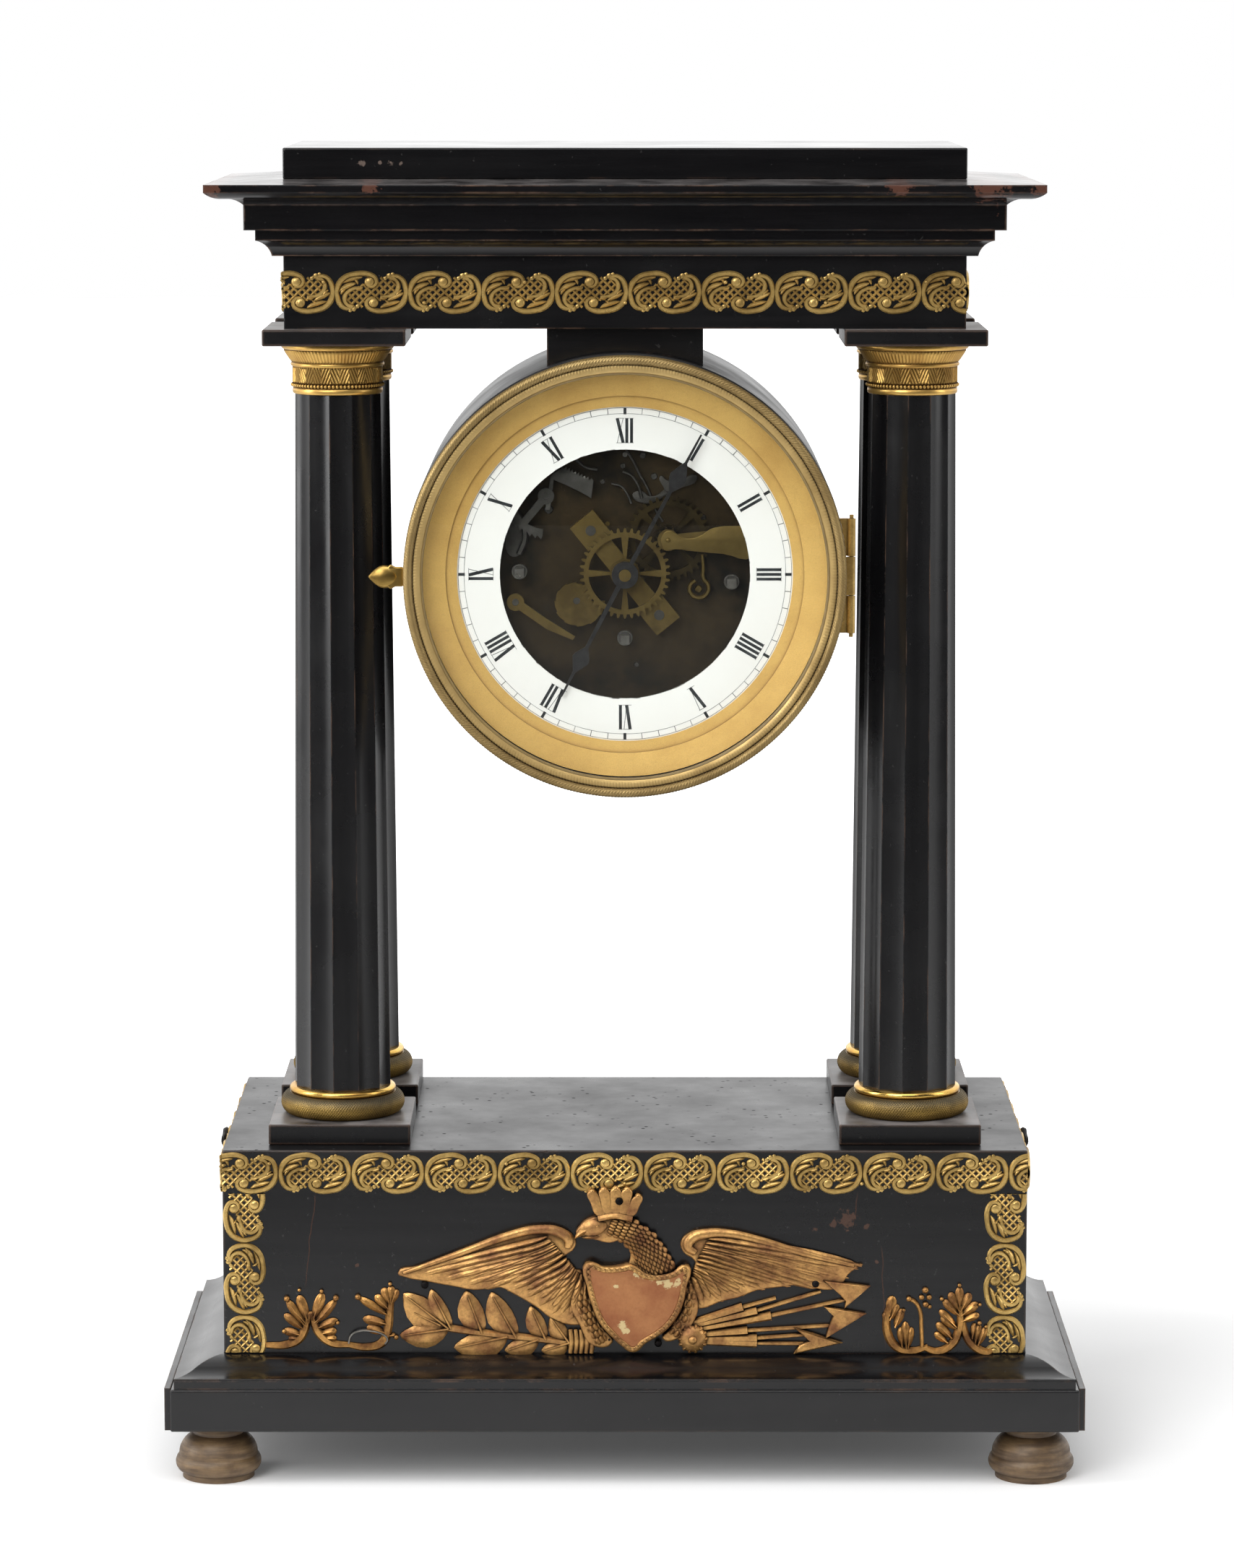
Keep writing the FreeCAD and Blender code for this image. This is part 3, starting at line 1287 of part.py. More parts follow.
def make_train():
    """Going barrel, third wheel, escape wheel and pallets."""
    down = -math.pi / 2
    great_phase = meshing_phase(CENTRE_LEAVES, down, GREAT_TEETH, down)
    great = wheel(GREAT_TEETH, great_radius(), v.barrel_flange_thickness, WHEEL_TOOTH_SHARES, great_phase)
    great.translate(Vector(0, great_front(), 0))
    body = y_cylinder(v.going_barrel_radius, v.barrel_front_depth, v.barrel_length).fuse(great)
    movement("going_barrel", barrel_on(body, going_place))
    third_leaf_radius = v.third_centre_length * THIRD_LEAVES / (CENTRE_TEETH + THIRD_LEAVES)
    third_wheel_radius = v.escape_centre_length * THIRD_TEETH / (THIRD_TEETH + ESCAPE_LEAVES)
    third_phase = meshing_phase(CENTRE_TEETH, 0, THIRD_LEAVES, THIRD_ANGLE)
    third = train_arbor(
        v.third_arbor_radius, (THIRD_LEAVES, third_leaf_radius, third_phase, v.centre_wheel_front_depth),
        wheel(THIRD_TEETH, third_wheel_radius, v.train_wheel_thickness, WHEEL_TOOTH_SHARES, 0,
              rim=v.train_rim_width, hub=v.pillar_radius, spoke=v.wheel_spoke_width),
        v.third_wheel_front_depth)
    third.translate(Vector(third_place[0], 0, third_place[1]))
    movement("third_wheel", third)
    escape_leaf_radius = v.escape_centre_length - third_wheel_radius
    escape_phase = meshing_phase(THIRD_TEETH, 0, ESCAPE_LEAVES, ESCAPE_ANGLE)
    escape = train_arbor(
        v.escape_arbor_radius, (ESCAPE_LEAVES, escape_leaf_radius, escape_phase, v.third_wheel_front_depth),
        escape_rim(), v.escape_wheel_front_depth)
    escape.translate(Vector(escape_place[0], 0, escape_place[1]))
    movement("escape_wheel", escape)
    make_pallets()


def barrel_on(body, place):
    length = v.barrel_length + v.barrel_flange_thickness
    body = body.cut(y_cylinder(v.winding_arbor_radius + gap, v.barrel_front_depth, length))
    body.translate(Vector(place[0], 0, place[1]))
    return body


def train_arbor(radius, pinion, rim, rim_front):
    """An arbor between the plates with a pinion and a wheel."""
    leaves, pitch_radius, phase, meets = pinion
    arbor = y_cylinder(radius, v.plate_front_depth,
        v.back_plate_front_depth + v.plate_thickness - v.plate_front_depth)
    pinion_length = v.train_wheel_thickness + 2 * v.pinion_overlap_width
    pinion_shape = wheel(leaves, pitch_radius, pinion_length, PINION_TOOTH_SHARES, phase)
    pinion_shape.translate(Vector(0, meets - v.pinion_overlap_width, 0))
    rim = rim.copy()
    rim.translate(Vector(0, rim_front, 0))
    return arbor.fuse([pinion_shape, rim])


def escape_rim():
    """Saw-toothed escape wheel."""
    root = v.escape_wheel_radius - v.escape_tooth_depth
    pitch = math.tau / ESCAPE_TEETH
    lean_share = 0.75
    places = []
    for k in range(ESCAPE_TEETH):
        places.append(polar(root, pitch * k))
        places.append(polar(v.escape_wheel_radius, pitch * (k + lean_share)))
    return plate_shape(places, 0, v.train_wheel_thickness)


def make_pallets():
    """Anchor over the escape wheel, its arbor and the crutch behind the back plate."""
    inner = v.escape_wheel_radius + v.pallet_clearance
    outer = inner + v.pallet_thickness
    x, z = escape_place
    rise = v.pallet_height
    middle = math.atan2(rise - z, -x)
    start = v.escape_wheel_front_depth - (v.pallet_depth - v.train_wheel_thickness) / 2
    anchor = Part.Face(crossing(inner, outer, middle - PALLET_SPAN, middle + PALLET_SPAN))
    anchor = anchor.extrude(Vector(0, v.pallet_depth, 0))
    anchor.translate(Vector(x, start, z))
    half = v.crutch_width / 2
    stem = plate_shape([(-half, z + inner), (half, z + inner), (half, rise), (-half, rise)], start,
        v.pallet_depth)
    crutch_front = v.back_plate_front_depth + v.plate_thickness + v.crutch_gap
    crutch_back = crutch_front + v.crutch_thickness
    arbor = y_cylinder(v.pallet_arbor_radius, v.plate_front_depth, crutch_back - v.plate_front_depth, 0, rise)
    collet = y_cylinder(v.crutch_width, start, v.pallet_depth, 0, rise)
    foot = rise - v.crutch_length
    prong = v.pendulum_rod_radius + v.crutch_pin_radius + gap
    half_fork = prong + v.crutch_pin_radius
    fork = [
        (-half, rise), (-half, foot + half_fork), (-half_fork, foot + half_fork),
        (-half_fork, foot - half_fork),
        (half_fork, foot - half_fork), (half_fork, foot + half_fork), (half, foot + half_fork), (half, rise),
    ]
    crutch = plate_shape(fork, crutch_front, v.crutch_thickness)
    pin_length = v.pendulum_eye_front_depth + v.pendulum_thickness - crutch_front
    pins = [y_cylinder(v.crutch_pin_radius, crutch_front, pin_length, side * prong, foot) for side in (-1, 1)]
    movement("pallet_anchor", arbor.fuse([collet, anchor, stem, crutch] + pins))


def make_winding():
    """Three winding arbors with square ends, and the two striking barrels."""
    end = v.back_plate_front_depth + v.plate_thickness
    half = v.winding_square_width / 2
    square = [(-half, -half), (half, -half), (half, half), (-half, half)]
    for label, place in (("going", going_place), ("quarter", left_place), ("hour", right_place)):
        x, z = place
        length = v.winding_shoulder_front_depth - v.winding_square_front_depth
        arbor = plate_shape(turned_places(square, 0, x, z), v.winding_square_front_depth, length)
        shaft = y_cylinder(v.winding_arbor_radius, v.winding_shoulder_front_depth,
            end - v.winding_shoulder_front_depth, x, z)
        movement(f"{label}_winding_arbor", arbor.fuse(shaft))
    for label, place in (("quarter", left_place), ("hour", right_place)):
        body = y_cylinder(v.barrel_radius, v.barrel_front_depth, v.barrel_length)
        body = body.fuse(y_cylinder(v.barrel_flange_radius, great_front(), v.barrel_flange_thickness))
        movement(f"{label}_strike_barrel", barrel_on(body, place))


LIFTER_BLADE_SHARES = [(0, -1), (0.6, -1), (1, 0.4), (1, 1.4), (0.5, 1), (0, 1)]


def make_striking():
    """Hour snail, toothed rack and lifting lever in front of the plate."""
    bore = v.strike_stud_radius + gap
    front = v.strike_front_depth
    thick = v.strike_thickness
    places = []
    step = math.tau / SNAIL_STEPS
    for k in range(SNAIL_STEPS):
        radius = v.snail_core_radius + (v.snail_radius - v.snail_core_radius) * (k + 1) / SNAIL_STEPS
        places.append(polar(radius, step * k))
        places.append(polar(radius, step * (k + 1 / 2)))
        places.append(polar(radius, step * (k + 1)))
    snail = plate_shape(places, front, thick).cut(y_cylinder(bore, front, thick))
    snail.translate(Vector(v.snail_x_offset, 0, v.snail_z_offset))
    movement("hour_snail", snail)
    outer = v.rack_radius
    places = []
    tooth = RACK_SWEEP / RACK_TEETH
    for k in range(RACK_TEETH):
        places.append(polar(outer - v.rack_tooth_height, RACK_START + tooth * k))
        places.append(polar(outer, RACK_START + tooth * (k + RACK_LEAN_SHARE)))
    stop = RACK_START + RACK_SWEEP
    inner = outer - v.rack_depth
    places.append(polar(outer - v.rack_tooth_height, stop))
    places += [polar(inner, stop - RACK_SWEEP * k / 6) for k in range(7)]
    rack = plate_shape(places, front, thick)
    half = v.rack_arm_width / 2
    arm = [(0, -half), (outer - v.rack_depth / 2, -half), (outer - v.rack_depth / 2, half), (0, half)]
    rack = rack.fuse(plate_shape(turned_places(arm, RACK_START + RACK_SWEEP / 2), front, thick))
    rack = rack.fuse(y_cylinder(v.rack_hub_radius, front, thick)).cut(y_cylinder(bore, front, thick))
    rack.translate(Vector(v.rack_x_offset, 0, v.rack_z_offset))
    movement("strike_rack", rack)
    front = v.lifter_front_depth
    half = v.lifter_width / 2
    length = v.lifter_length
    blade = [(length * along, half * across) for along, across in LIFTER_BLADE_SHARES]
    lifter = plate_shape(turned_places(blade, LIFTER_ANGLE), front, thick)
    lifter = lifter.fuse(y_cylinder(v.lifter_hub_radius, front, thick)).cut(y_cylinder(bore, front, thick))
    lifter.translate(Vector(v.lifter_x_offset, 0, v.lifter_z_offset))
    movement("lifting_lever", lifter)


def pendulum_cock():
    """Suspension cock on the back plate, with the stud the pendulum hangs from."""
    rise = v.pallet_height
    plate_rear = v.back_plate_front_depth + v.plate_thickness
    half = v.pendulum_cock_width / 2
    top = rise + v.pendulum_cock_height + v.pendulum_cock_leg_thickness
    eye = v.pendulum_eye_front_depth
    leg_back = eye - gap
    leg_front = leg_back - v.pendulum_cock_leg_thickness
    arm = plate_shape(
        [(-half, top - v.pendulum_cock_leg_thickness), (half, top - v.pendulum_cock_leg_thickness),
            (half, top), (-half, top)],
        plate_rear, leg_back - plate_rear)
    low = rise - v.pendulum_stud_radius * 2
    leg = plate_shape([(-half, low), (half, low), (half, top), (-half, top)], leg_front,
        v.pendulum_cock_leg_thickness)
    stud_length = leg_back + v.pendulum_thickness + v.pendulum_stud_radius - leg_front
    stud = y_cylinder(v.pendulum_stud_radius, leg_front, stud_length, 0, rise)
    return arm.fuse([leg, stud]).removeSplitter()


def make_pendulum():
    """Pendulum with an eye for its stud and a lens-shaped bob."""
    rise = v.pallet_height
    eye = v.pendulum_eye_front_depth
    thick = v.pendulum_thickness
    ring = y_cylinder(v.pendulum_eye_radius, eye, thick, 0, rise)
    bob_z = rise - v.pendulum_length
    middle = eye + thick / 2
    wall = v.pendulum_eye_radius - v.pendulum_stud_radius
    rod_length = v.pendulum_length - v.pendulum_eye_radius + wall / 2
    rod_shape = Part.makeCylinder(v.pendulum_rod_radius, rod_length, Vector(0, middle, bob_z),
        Vector(0, 0, 1))
    half = v.pendulum_bob_thickness / 2
    face_share = 0.7
    lens = [
        (0, -half), (v.pendulum_bob_radius * face_share, -half), (v.pendulum_bob_radius, 0),
        (v.pendulum_bob_radius * face_share, half), (0, half),
    ]
    outline = Part.makePolygon([Vector(r, middle + y, bob_z) for r, y in lens + lens[:1]])
    bob = Part.Face(outline).revolve(Vector(0, 0, bob_z), Vector(0, 1, 0), FULL_TURN)
    hole = y_cylinder(v.pendulum_stud_radius + gap, eye, thick, 0, rise)
    movement("pendulum", ring.fuse([rod_shape, bob]).cut(hole))


def gong_path(y):
    """A flat spiral of half turns, from the block outwards and round."""
    edges = []
    centre = 0
    radius = v.gong_radius
    side = -1
    start = Vector(0, y, side * radius)
    for _ in range(2 * GONG_TURNS - 1):
        stop = Vector(0, y, centre - side * radius)
        half = Vector(radius, y, centre) if side < 0 else Vector(-radius, y, centre)
        edges.append(Part.Arc(start, half, stop).toShape())
        shrink = v.gong_pitch_width / 2
        side = -side
        centre = stop.z - side * (radius - shrink)
        radius -= shrink
        start = stop
    return Part.Wire(edges)


def make_gongs():
    """Two wire gongs on their block, and a hammer for each."""
    wires = []
    for k in range(2):
        y = v.gong_front_depth + k * v.gong_spacing_length
        path = gong_path(y)
        section = Part.Wire([Part.makeCircle(v.gong_wire_radius, Vector(0, y, -v.gong_radius),
            Vector(1, 0, 0))])
        wires.append(path.makePipeShell([section], True, False))
    node("gong_wires", feature("gong_wires", Part.makeCompound(wires), (0, drum_front, axis_z)))
    half = v.gong_block_width / 2
    top = -v.gong_radius - v.gong_wire_radius
    middle = v.gong_front_depth + v.gong_spacing_length / 2
    start = middle - v.gong_block_depth / 2
    low = -v.drum_radius
    block = plate_shape([(-half, low), (half, low), (half, top), (-half, top)], start, v.gong_block_depth)
    movement("gong_block", block.common(y_cylinder(v.drum_rear_bore, start, v.gong_block_depth)))
    x, z = v.hammer_x_offset, v.hammer_z_offset
    for k, label in enumerate(("hour_hammer", "quarter_hammer")):
        front = v.gong_front_depth + k * v.gong_spacing_length - v.hammer_hub_length / 2
        hub = y_cylinder(v.hammer_hub_radius, front, v.hammer_hub_length)
        half = v.hammer_stem_width / 2
        stem = [(0, -half), (v.hammer_length, -half), (v.hammer_length, half), (0, half)]
        middle = front + v.hammer_hub_length / 2 - half
        hammer = hub.fuse(plate_shape(turned_places(stem, HAMMER_ANGLE), middle, v.hammer_stem_width))
        head_x, head_z = polar(v.hammer_length, HAMMER_ANGLE)
        hammer = hammer.fuse(y_cylinder(v.hammer_head_radius, front, v.hammer_hub_length, head_x, head_z))
        hammer = hammer.cut(y_cylinder(v.hammer_stud_radius + gap, front, v.hammer_hub_length))
        hammer.translate(Vector(x, 0, z))
        movement(label, hammer)


# Gilt mounts

SCALLOP_SHARE = 0.1
OVAL_SHARES = (0.27, 0.3)
DOT_SHARES = (0.3, 0.11)


def pierced_strip(length):
    """A strip of repeating ovals with scalloped edges, lying in the XZ plane and centred."""
    height = v.strip_height
    count = max(1, round(length / v.strip_pitch_length))
    pitch = length / count
    bow = height * SCALLOP_SHARE
    low = -height / 2 + bow
    high = height / 2 - bow
    edges = []
    holes = []
    for k in range(count):
        left = -length / 2 + pitch * k
        right = left + pitch
        middle = (left + right) / 2
        edges.append(Part.Arc(Vector(left, 0, low), Vector(middle, 0, low - bow),
            Vector(right, 0, low)).toShape())
        edges.append(Part.Arc(Vector(left, 0, high), Vector(middle, 0, high + bow),
            Vector(right, 0, high)).toShape())
        long_radius = pitch * OVAL_SHARES[0]
        short_radius = height * OVAL_SHARES[1]
        corner = Vector(middle + long_radius, 0, 0)
        oval = Part.Ellipse(corner, Vector(middle, 0, short_radius), Vector(middle, 0, 0))
        holes.append(Part.Wire([oval.toShape()]))
        if k:
            for side in (-1, 1):
                centre = Vector(left, 0, side * height * DOT_SHARES[0])
                holes.append(Part.Wire([Part.makeCircle(height * DOT_SHARES[1], centre, Vector(0, 1, 0))]))
    for x in (-length / 2, length / 2):
        edges.append(Part.LineSegment(Vector(x, 0, low), Vector(x, 0, high)).toShape())
    outline = Part.Face(Part.Wire(Part.sortEdges(edges)[0]))
    solid = outline.extrude(Vector(0, v.strip_thickness, 0))
    for hole in holes:
        solid = solid.cut(Part.Face(hole).extrude(Vector(0, v.strip_thickness, 0)))
    return solid


def strip(name, length, at, turns=(0, 0)):
    """Place a strip: first turned about Y (upright), then about Z (onto a side)."""
    made = doc.addObject("Part::Feature", name)
    made.Shape = pierced_strip(number(length))
    spin = Rotation(Vector(0, 0, 1), turns[1]).multiply(Rotation(Vector(0, 1, 0), turns[0]))
    made.Placement = Placement(Vector(*[number(a) for a in at]), spin)
    set_place(made, at)
    return made


def make_strips():
    """Pierced gilt strips on the base's front and sides and round the frieze."""
    thick = s.strip_thickness
    high = box_top - s.strip_top_gap - s.strip_height / 2
    x = s.box_width / 2
    front_y = box_front - thick
    middle_y = (box_front + back_y) / 2
    upright_length = s.box_height - s.ogee_height - s.strip_height - s.strip_top_gap
    upright_z = lip_top + s.ogee_height + upright_length / 2
    upright_x = x - s.strip_height / 2 - s.strip_side_gap
    base = [
        strip("base_front_strip", s.box_width, (0, front_y, high)),
        strip("base_left_strip", s.box_depth, (-x - thick, middle_y, high), (0, -RIGHT_ANGLE)),
        strip("base_right_strip", s.box_depth, (x + thick, middle_y, high), (0, RIGHT_ANGLE)),
        strip("base_upright_left", upright_length, (-upright_x, front_y, upright_z), (RIGHT_ANGLE, 0)),
        strip("base_upright_right", upright_length, (upright_x, front_y, upright_z), (RIGHT_ANGLE, 0)),
    ]
    node("base_pierced_strips", group("base_pierced_strips", base))
    x = frieze_width / 2
    high = frieze_bottom + s.frieze_strip_offset
    middle_y = (frieze_front + frieze_back) / 2
    frieze = [
        strip("frieze_front_strip", frieze_width, (0, frieze_front - thick, high)),
        strip("frieze_left_strip", frieze_depth, (-x - thick, middle_y, high), (0, -RIGHT_ANGLE)),
        strip("frieze_right_strip", frieze_depth, (x + thick, middle_y, high), (0, RIGHT_ANGLE)),
    ]
    node("frieze_pierced_strips", group("frieze_pierced_strips", frieze))


# The eagle's masses as shares of its width and height, from the lower left corner. Each starts with its
# share of the mount's thickness.
EAGLE_MASS_SHARES = {
    "left_wing": (0.6, [
        (0.0, 0.479), (0.045, 0.524), (0.129, 0.613), (0.19, 0.681), (0.25, 0.739), (0.298, 0.765),
        (0.346, 0.748),
        (0.373, 0.697), (0.376, 0.639), (0.347, 0.551), (0.355, 0.508), (0.394, 0.487), (0.403, 0.353),
        (0.427, 0.202),
        (0.388, 0.168), (0.334, 0.193), (0.292, 0.277), (0.244, 0.356), (0.217, 0.392), (0.165, 0.378),
        (0.111, 0.403),
        (0.051, 0.434), (0.015, 0.454)]),
    "right_wing": (0.6, [
        (0.979, 0.524), (0.928, 0.566), (0.862, 0.613), (0.801, 0.664), (0.741, 0.714), (0.699, 0.739),
        (0.651, 0.743),
        (0.615, 0.719), (0.598, 0.664), (0.604, 0.605), (0.628, 0.551), (0.628, 0.504), (0.606, 0.454),
        (0.606, 0.37),
        (0.618, 0.277), (0.645, 0.269), (0.681, 0.306), (0.723, 0.336), (0.759, 0.375), (0.807, 0.395),
        (0.856, 0.407),
        (0.892, 0.383), (0.922, 0.37), (0.946, 0.42), (0.953, 0.471)]),
    "head": (0.85, [
        (0.37, 0.703), (0.382, 0.765), (0.406, 0.815), (0.442, 0.832), (0.484, 0.815), (0.514, 0.748),
        (0.545, 0.672),
        (0.566, 0.588), (0.587, 0.513), (0.551, 0.471), (0.49, 0.487), (0.492, 0.605), (0.477, 0.677),
        (0.448, 0.666),
        (0.421, 0.677), (0.397, 0.716), (0.377, 0.676)]),
    "shield": (1.0, [
        (0.397, 0.546), (0.43, 0.524), (0.472, 0.534), (0.49, 0.546), (0.526, 0.494), (0.563, 0.477),
        (0.593, 0.496),
        (0.615, 0.533), (0.612, 0.42), (0.602, 0.286), (0.579, 0.176), (0.551, 0.109), (0.52, 0.059),
        (0.498, 0.012),
        (0.478, 0.042), (0.451, 0.109), (0.427, 0.185), (0.409, 0.303), (0.399, 0.42)]),
}
CROWN_SHARES = [
    (0.421, 0.798), (0.417, 0.891), (0.407, 0.983), (0.43, 0.966), (0.439, 1.0), (0.46, 0.988),
    (0.484, 0.997),
    (0.496, 0.966), (0.514, 0.95), (0.502, 0.882), (0.498, 0.798),
]
# each leaf of the laurel from its stalk to its tip, with its width as a share of that
LAUREL_LEAF_SHARES = [
    ((0.107, 0.15), (0.012, 0.356), 0.3), ((0.107, 0.148), (0.003, 0.104), 0.3),
    ((0.112, 0.148), (0.082, 0.395), 0.28),
    ((0.178, 0.12), (0.144, 0.373), 0.34), ((0.25, 0.095), (0.197, 0.363), 0.3),
    ((0.313, 0.08), (0.281, 0.282), 0.3),
    ((0.362, 0.066), (0.323, 0.218), 0.34), ((0.232, 0.102), (0.122, 0.03), 0.3),
    ((0.298, 0.085), (0.233, 0.01), 0.34),
    ((0.364, 0.067), (0.303, 0.01), 0.36),
]
LAUREL_STEM_SHARES = [((0.1, 0.152), (0.23, 0.104)), ((0.222, 0.104), (0.37, 0.065)),
    ((0.36, 0.06), (0.48, 0.16))]
ARROW_SHAFT_SHARES = [
    ((0.54, 0.14), (0.895, 0.39)), ((0.55, 0.1), (0.946, 0.319)), ((0.61, 0.08), (0.913, 0.171)),
    ((0.61, 0.06), (0.859, 0.057)),
]
ARROW_HEAD_SHARES = [
    [(0.931, 0.37), (1.0, 0.345), (0.947, 0.252)], [(0.895, 0.244), (0.989, 0.222), (0.909, 0.084)],
    [(0.848, 0.121), (0.937, 0.059), (0.845, 0.002)],
]
KNOT_SHARES = [(0.394, 0.084), (0.624, 0.092)]
SPRAY_DEPTH_SHARE = 0.45
# acanthus outlines as shares of the space that each leaf fills
LEFT_PAIR_SHARES = [
    (0.0, 0.125), (0.006, 0.05), (0.183, 0.05), (0.295, 0.175), (0.344, 0.375), (0.398, 0.167), (0.495, 0.05),
    (0.58, 0.05), (0.58, 0.125), (0.54, 0.158), (0.557, 0.258), (0.527, 0.375), (0.553, 0.542),
    (0.518, 0.667),
    (0.544, 0.804), (0.462, 0.742), (0.437, 0.917), (0.398, 0.892), (0.368, 0.667), (0.338, 0.604),
    (0.303, 0.667),
    (0.269, 0.875), (0.222, 0.875), (0.196, 0.762), (0.14, 0.804), (0.161, 0.667), (0.118, 0.575),
    (0.161, 0.417),
    (0.129, 0.292), (0.2, 0.217),
]
LEFT_SINGLE_SHARES = [
    (0.591, 0.117), (0.703, 0.167), (0.774, 0.292), (0.72, 0.425), (0.733, 0.542), (0.815, 0.625),
    (0.768, 0.77),
    (0.688, 0.783), (0.688, 0.842), (0.806, 0.875), (0.867, 0.979), (0.94, 0.99), (0.99, 0.917),
    (0.953, 0.75),
    (0.918, 0.542), (0.91, 0.325), (0.98, 0.208), (0.935, 0.175), (0.871, 0.05), (0.72, 0.05), (0.596, 0.05),
]
RIGHT_PAIR_SHARES = [
    (0.01, 0.583), (0.039, 0.812), (0.118, 0.792), (0.171, 0.667), (0.092, 0.542), (0.118, 0.408),
    (0.224, 0.5),
    (0.242, 0.333), (0.211, 0.167), (0.368, 0.092), (0.495, 0.146), (0.547, 0.292), (0.479, 0.375),
    (0.526, 0.542),
    (0.513, 0.708), (0.579, 0.875), (0.703, 1.0), (0.795, 0.875), (0.884, 0.75), (0.842, 0.542),
    (0.768, 0.467),
    (0.816, 0.283), (0.926, 0.417), (0.963, 0.25), (0.99, 0.092), (0.98, 0.05), (0.863, 0.05), (0.753, 0.188),
    (0.7, 0.375), (0.645, 0.146), (0.521, 0.05), (0.224, 0.05), (0.079, 0.125), (0.023, 0.333),
]


def curved_mass(places, thickness, start=0):
    """A closed smooth outline, padded towards the front."""
    curve = Part.BSplineCurve()
    curve.interpolate(Points=[Vector(x, -start, z) for x, z in places], PeriodicFlag=True)
    return Part.Face(Part.Wire([curve.toShape()])).extrude(Vector(0, start - thickness, 0))


def laurel_leaf(base, tip, width_share, thickness):
    """A leaf of two arcs between its stalk and its tip."""
    low, high = Vector(base[0], 0, base[1]), Vector(tip[0], 0, tip[1])
    along = high - low
    side = Vector(-along.z, 0, along.x) * (width_share / 2)
    middle = (low + high) / 2
    edges = [Part.Arc(low, middle + side, high).toShape(), Part.Arc(high, middle - side, low).toShape()]
    return Part.Face(Part.Wire(edges)).extrude(Vector(0, -thickness, 0))


def flat_bar(start, stop, width, thickness):
    """A straight bar between two places."""
    lean = math.atan2(stop[1] - start[1], stop[0] - start[0])
    run = math.hypot(stop[0] - start[0], stop[1] - start[1])
    half = width / 2
    corners = turned_places([(0, -half), (run, -half), (run, half), (0, half)], lean, *start)
    return plate_shape(corners, 0, -thickness)


def make_eagle():
    """Eagle with crown, shield, laurel and arrows, fixed low on the base's front."""
    def fit(place):
        return place[0] * v.eagle_width, place[1] * v.eagle_height

    thin = v.eagle_thickness * SPRAY_DEPTH_SHARE
    solids = [
        curved_mass([fit(p) for p in outline], v.eagle_thickness * depth_share)
        for depth_share, outline in EAGLE_MASS_SHARES.values()
    ]
    crown_back = v.strip_thickness + v.mount_gap
    solids.append(curved_mass([fit(p) for p in CROWN_SHARES], v.eagle_thickness, crown_back))
    for base, tip, width_share in LAUREL_LEAF_SHARES:
        solids.append(laurel_leaf(fit(base), fit(tip), width_share, thin))
    for start, stop in LAUREL_STEM_SHARES + ARROW_SHAFT_SHARES:
        solids.append(flat_bar(fit(start), fit(stop), v.eagle_stem_width, thin))
    for corners in ARROW_HEAD_SHARES:
        solids.append(plate_shape([fit(p) for p in corners], 0, -thin))
    for x, z in map(fit, KNOT_SHARES):
        solids.append(y_cylinder(v.eagle_knot_radius, -v.eagle_thickness, v.eagle_thickness, x, z))
    solid = solids[0].fuse(solids[1:]).removeSplitter()
    low = lip_top + s.ogee_height + s.mount_gap
    node("eagle_mount", feature("eagle_mount", solid, (s.eagle_left, box_front, low)))


def make_leaves():
    """Acanthus leaves either side of the eagle."""
    leaves = []
    low = lip_top + s.ogee_height + s.mount_gap
    for name, start, width, outline in (
        ("leaf_left_pair", s.leaf_left_start, s.leaf_left_width, LEFT_PAIR_SHARES),
        ("leaf_left_single", s.leaf_left_start, s.leaf_left_width, LEFT_SINGLE_SHARES),
        ("leaf_right_pair", s.leaf_right_start, s.leaf_right_width, RIGHT_PAIR_SHARES),
    ):
        places = [(x * width.value, z * v.leaf_height) for x, z in outline]
        leaves.append(feature(name, curved_mass(places, v.leaf_thickness), (start, box_front, low)))
    node("acanthus_mounts", group("acanthus_mounts", leaves))


def write_parts():
    doc.recompute()
    broken = [o.Name for o in doc.Objects if any(w in o.State for w in ("Invalid", "Error"))]
    if broken:
        raise RuntimeError(f"failed features: {broken}")
    for obj in nodes:
        shape = obj.Shape
        if shape.isNull() or not shape.isValid():
            raise RuntimeError(f"bad shape: {obj.Label}")
    os.makedirs("parts", exist_ok=True)
    for obj in nodes:
        obj.Shape.exportStep(f"parts/{obj.Label}.step")
        print(obj.Label, len(obj.Shape.Solids), round(obj.Shape.Volume, 1))


make_feet()
make_plinth()
make_base_box()
make_columns()
make_entablature()
make_drum()
make_door()
make_dial()
make_frame()
make_bridge()
make_motion_work()
make_train()
make_winding()
make_striking()
make_pendulum()
make_gongs()
make_strips()
make_eagle()
make_leaves()
write_parts()
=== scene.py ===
# %% [markdown]
# # A portico clock
#
# The clock is a small temple front: a box base on bun feet, four fluted columns and a corniced top from
# which a drum with a glazed dial hangs. The measured solids come in as a fixed frame. This lesson gives
# them their finishes and adds the chased, stamped and cast work that gives such a clock its character.

# %% Load the frame
import math
import bmesh
import bpy
from mathutils import Matrix, Vector


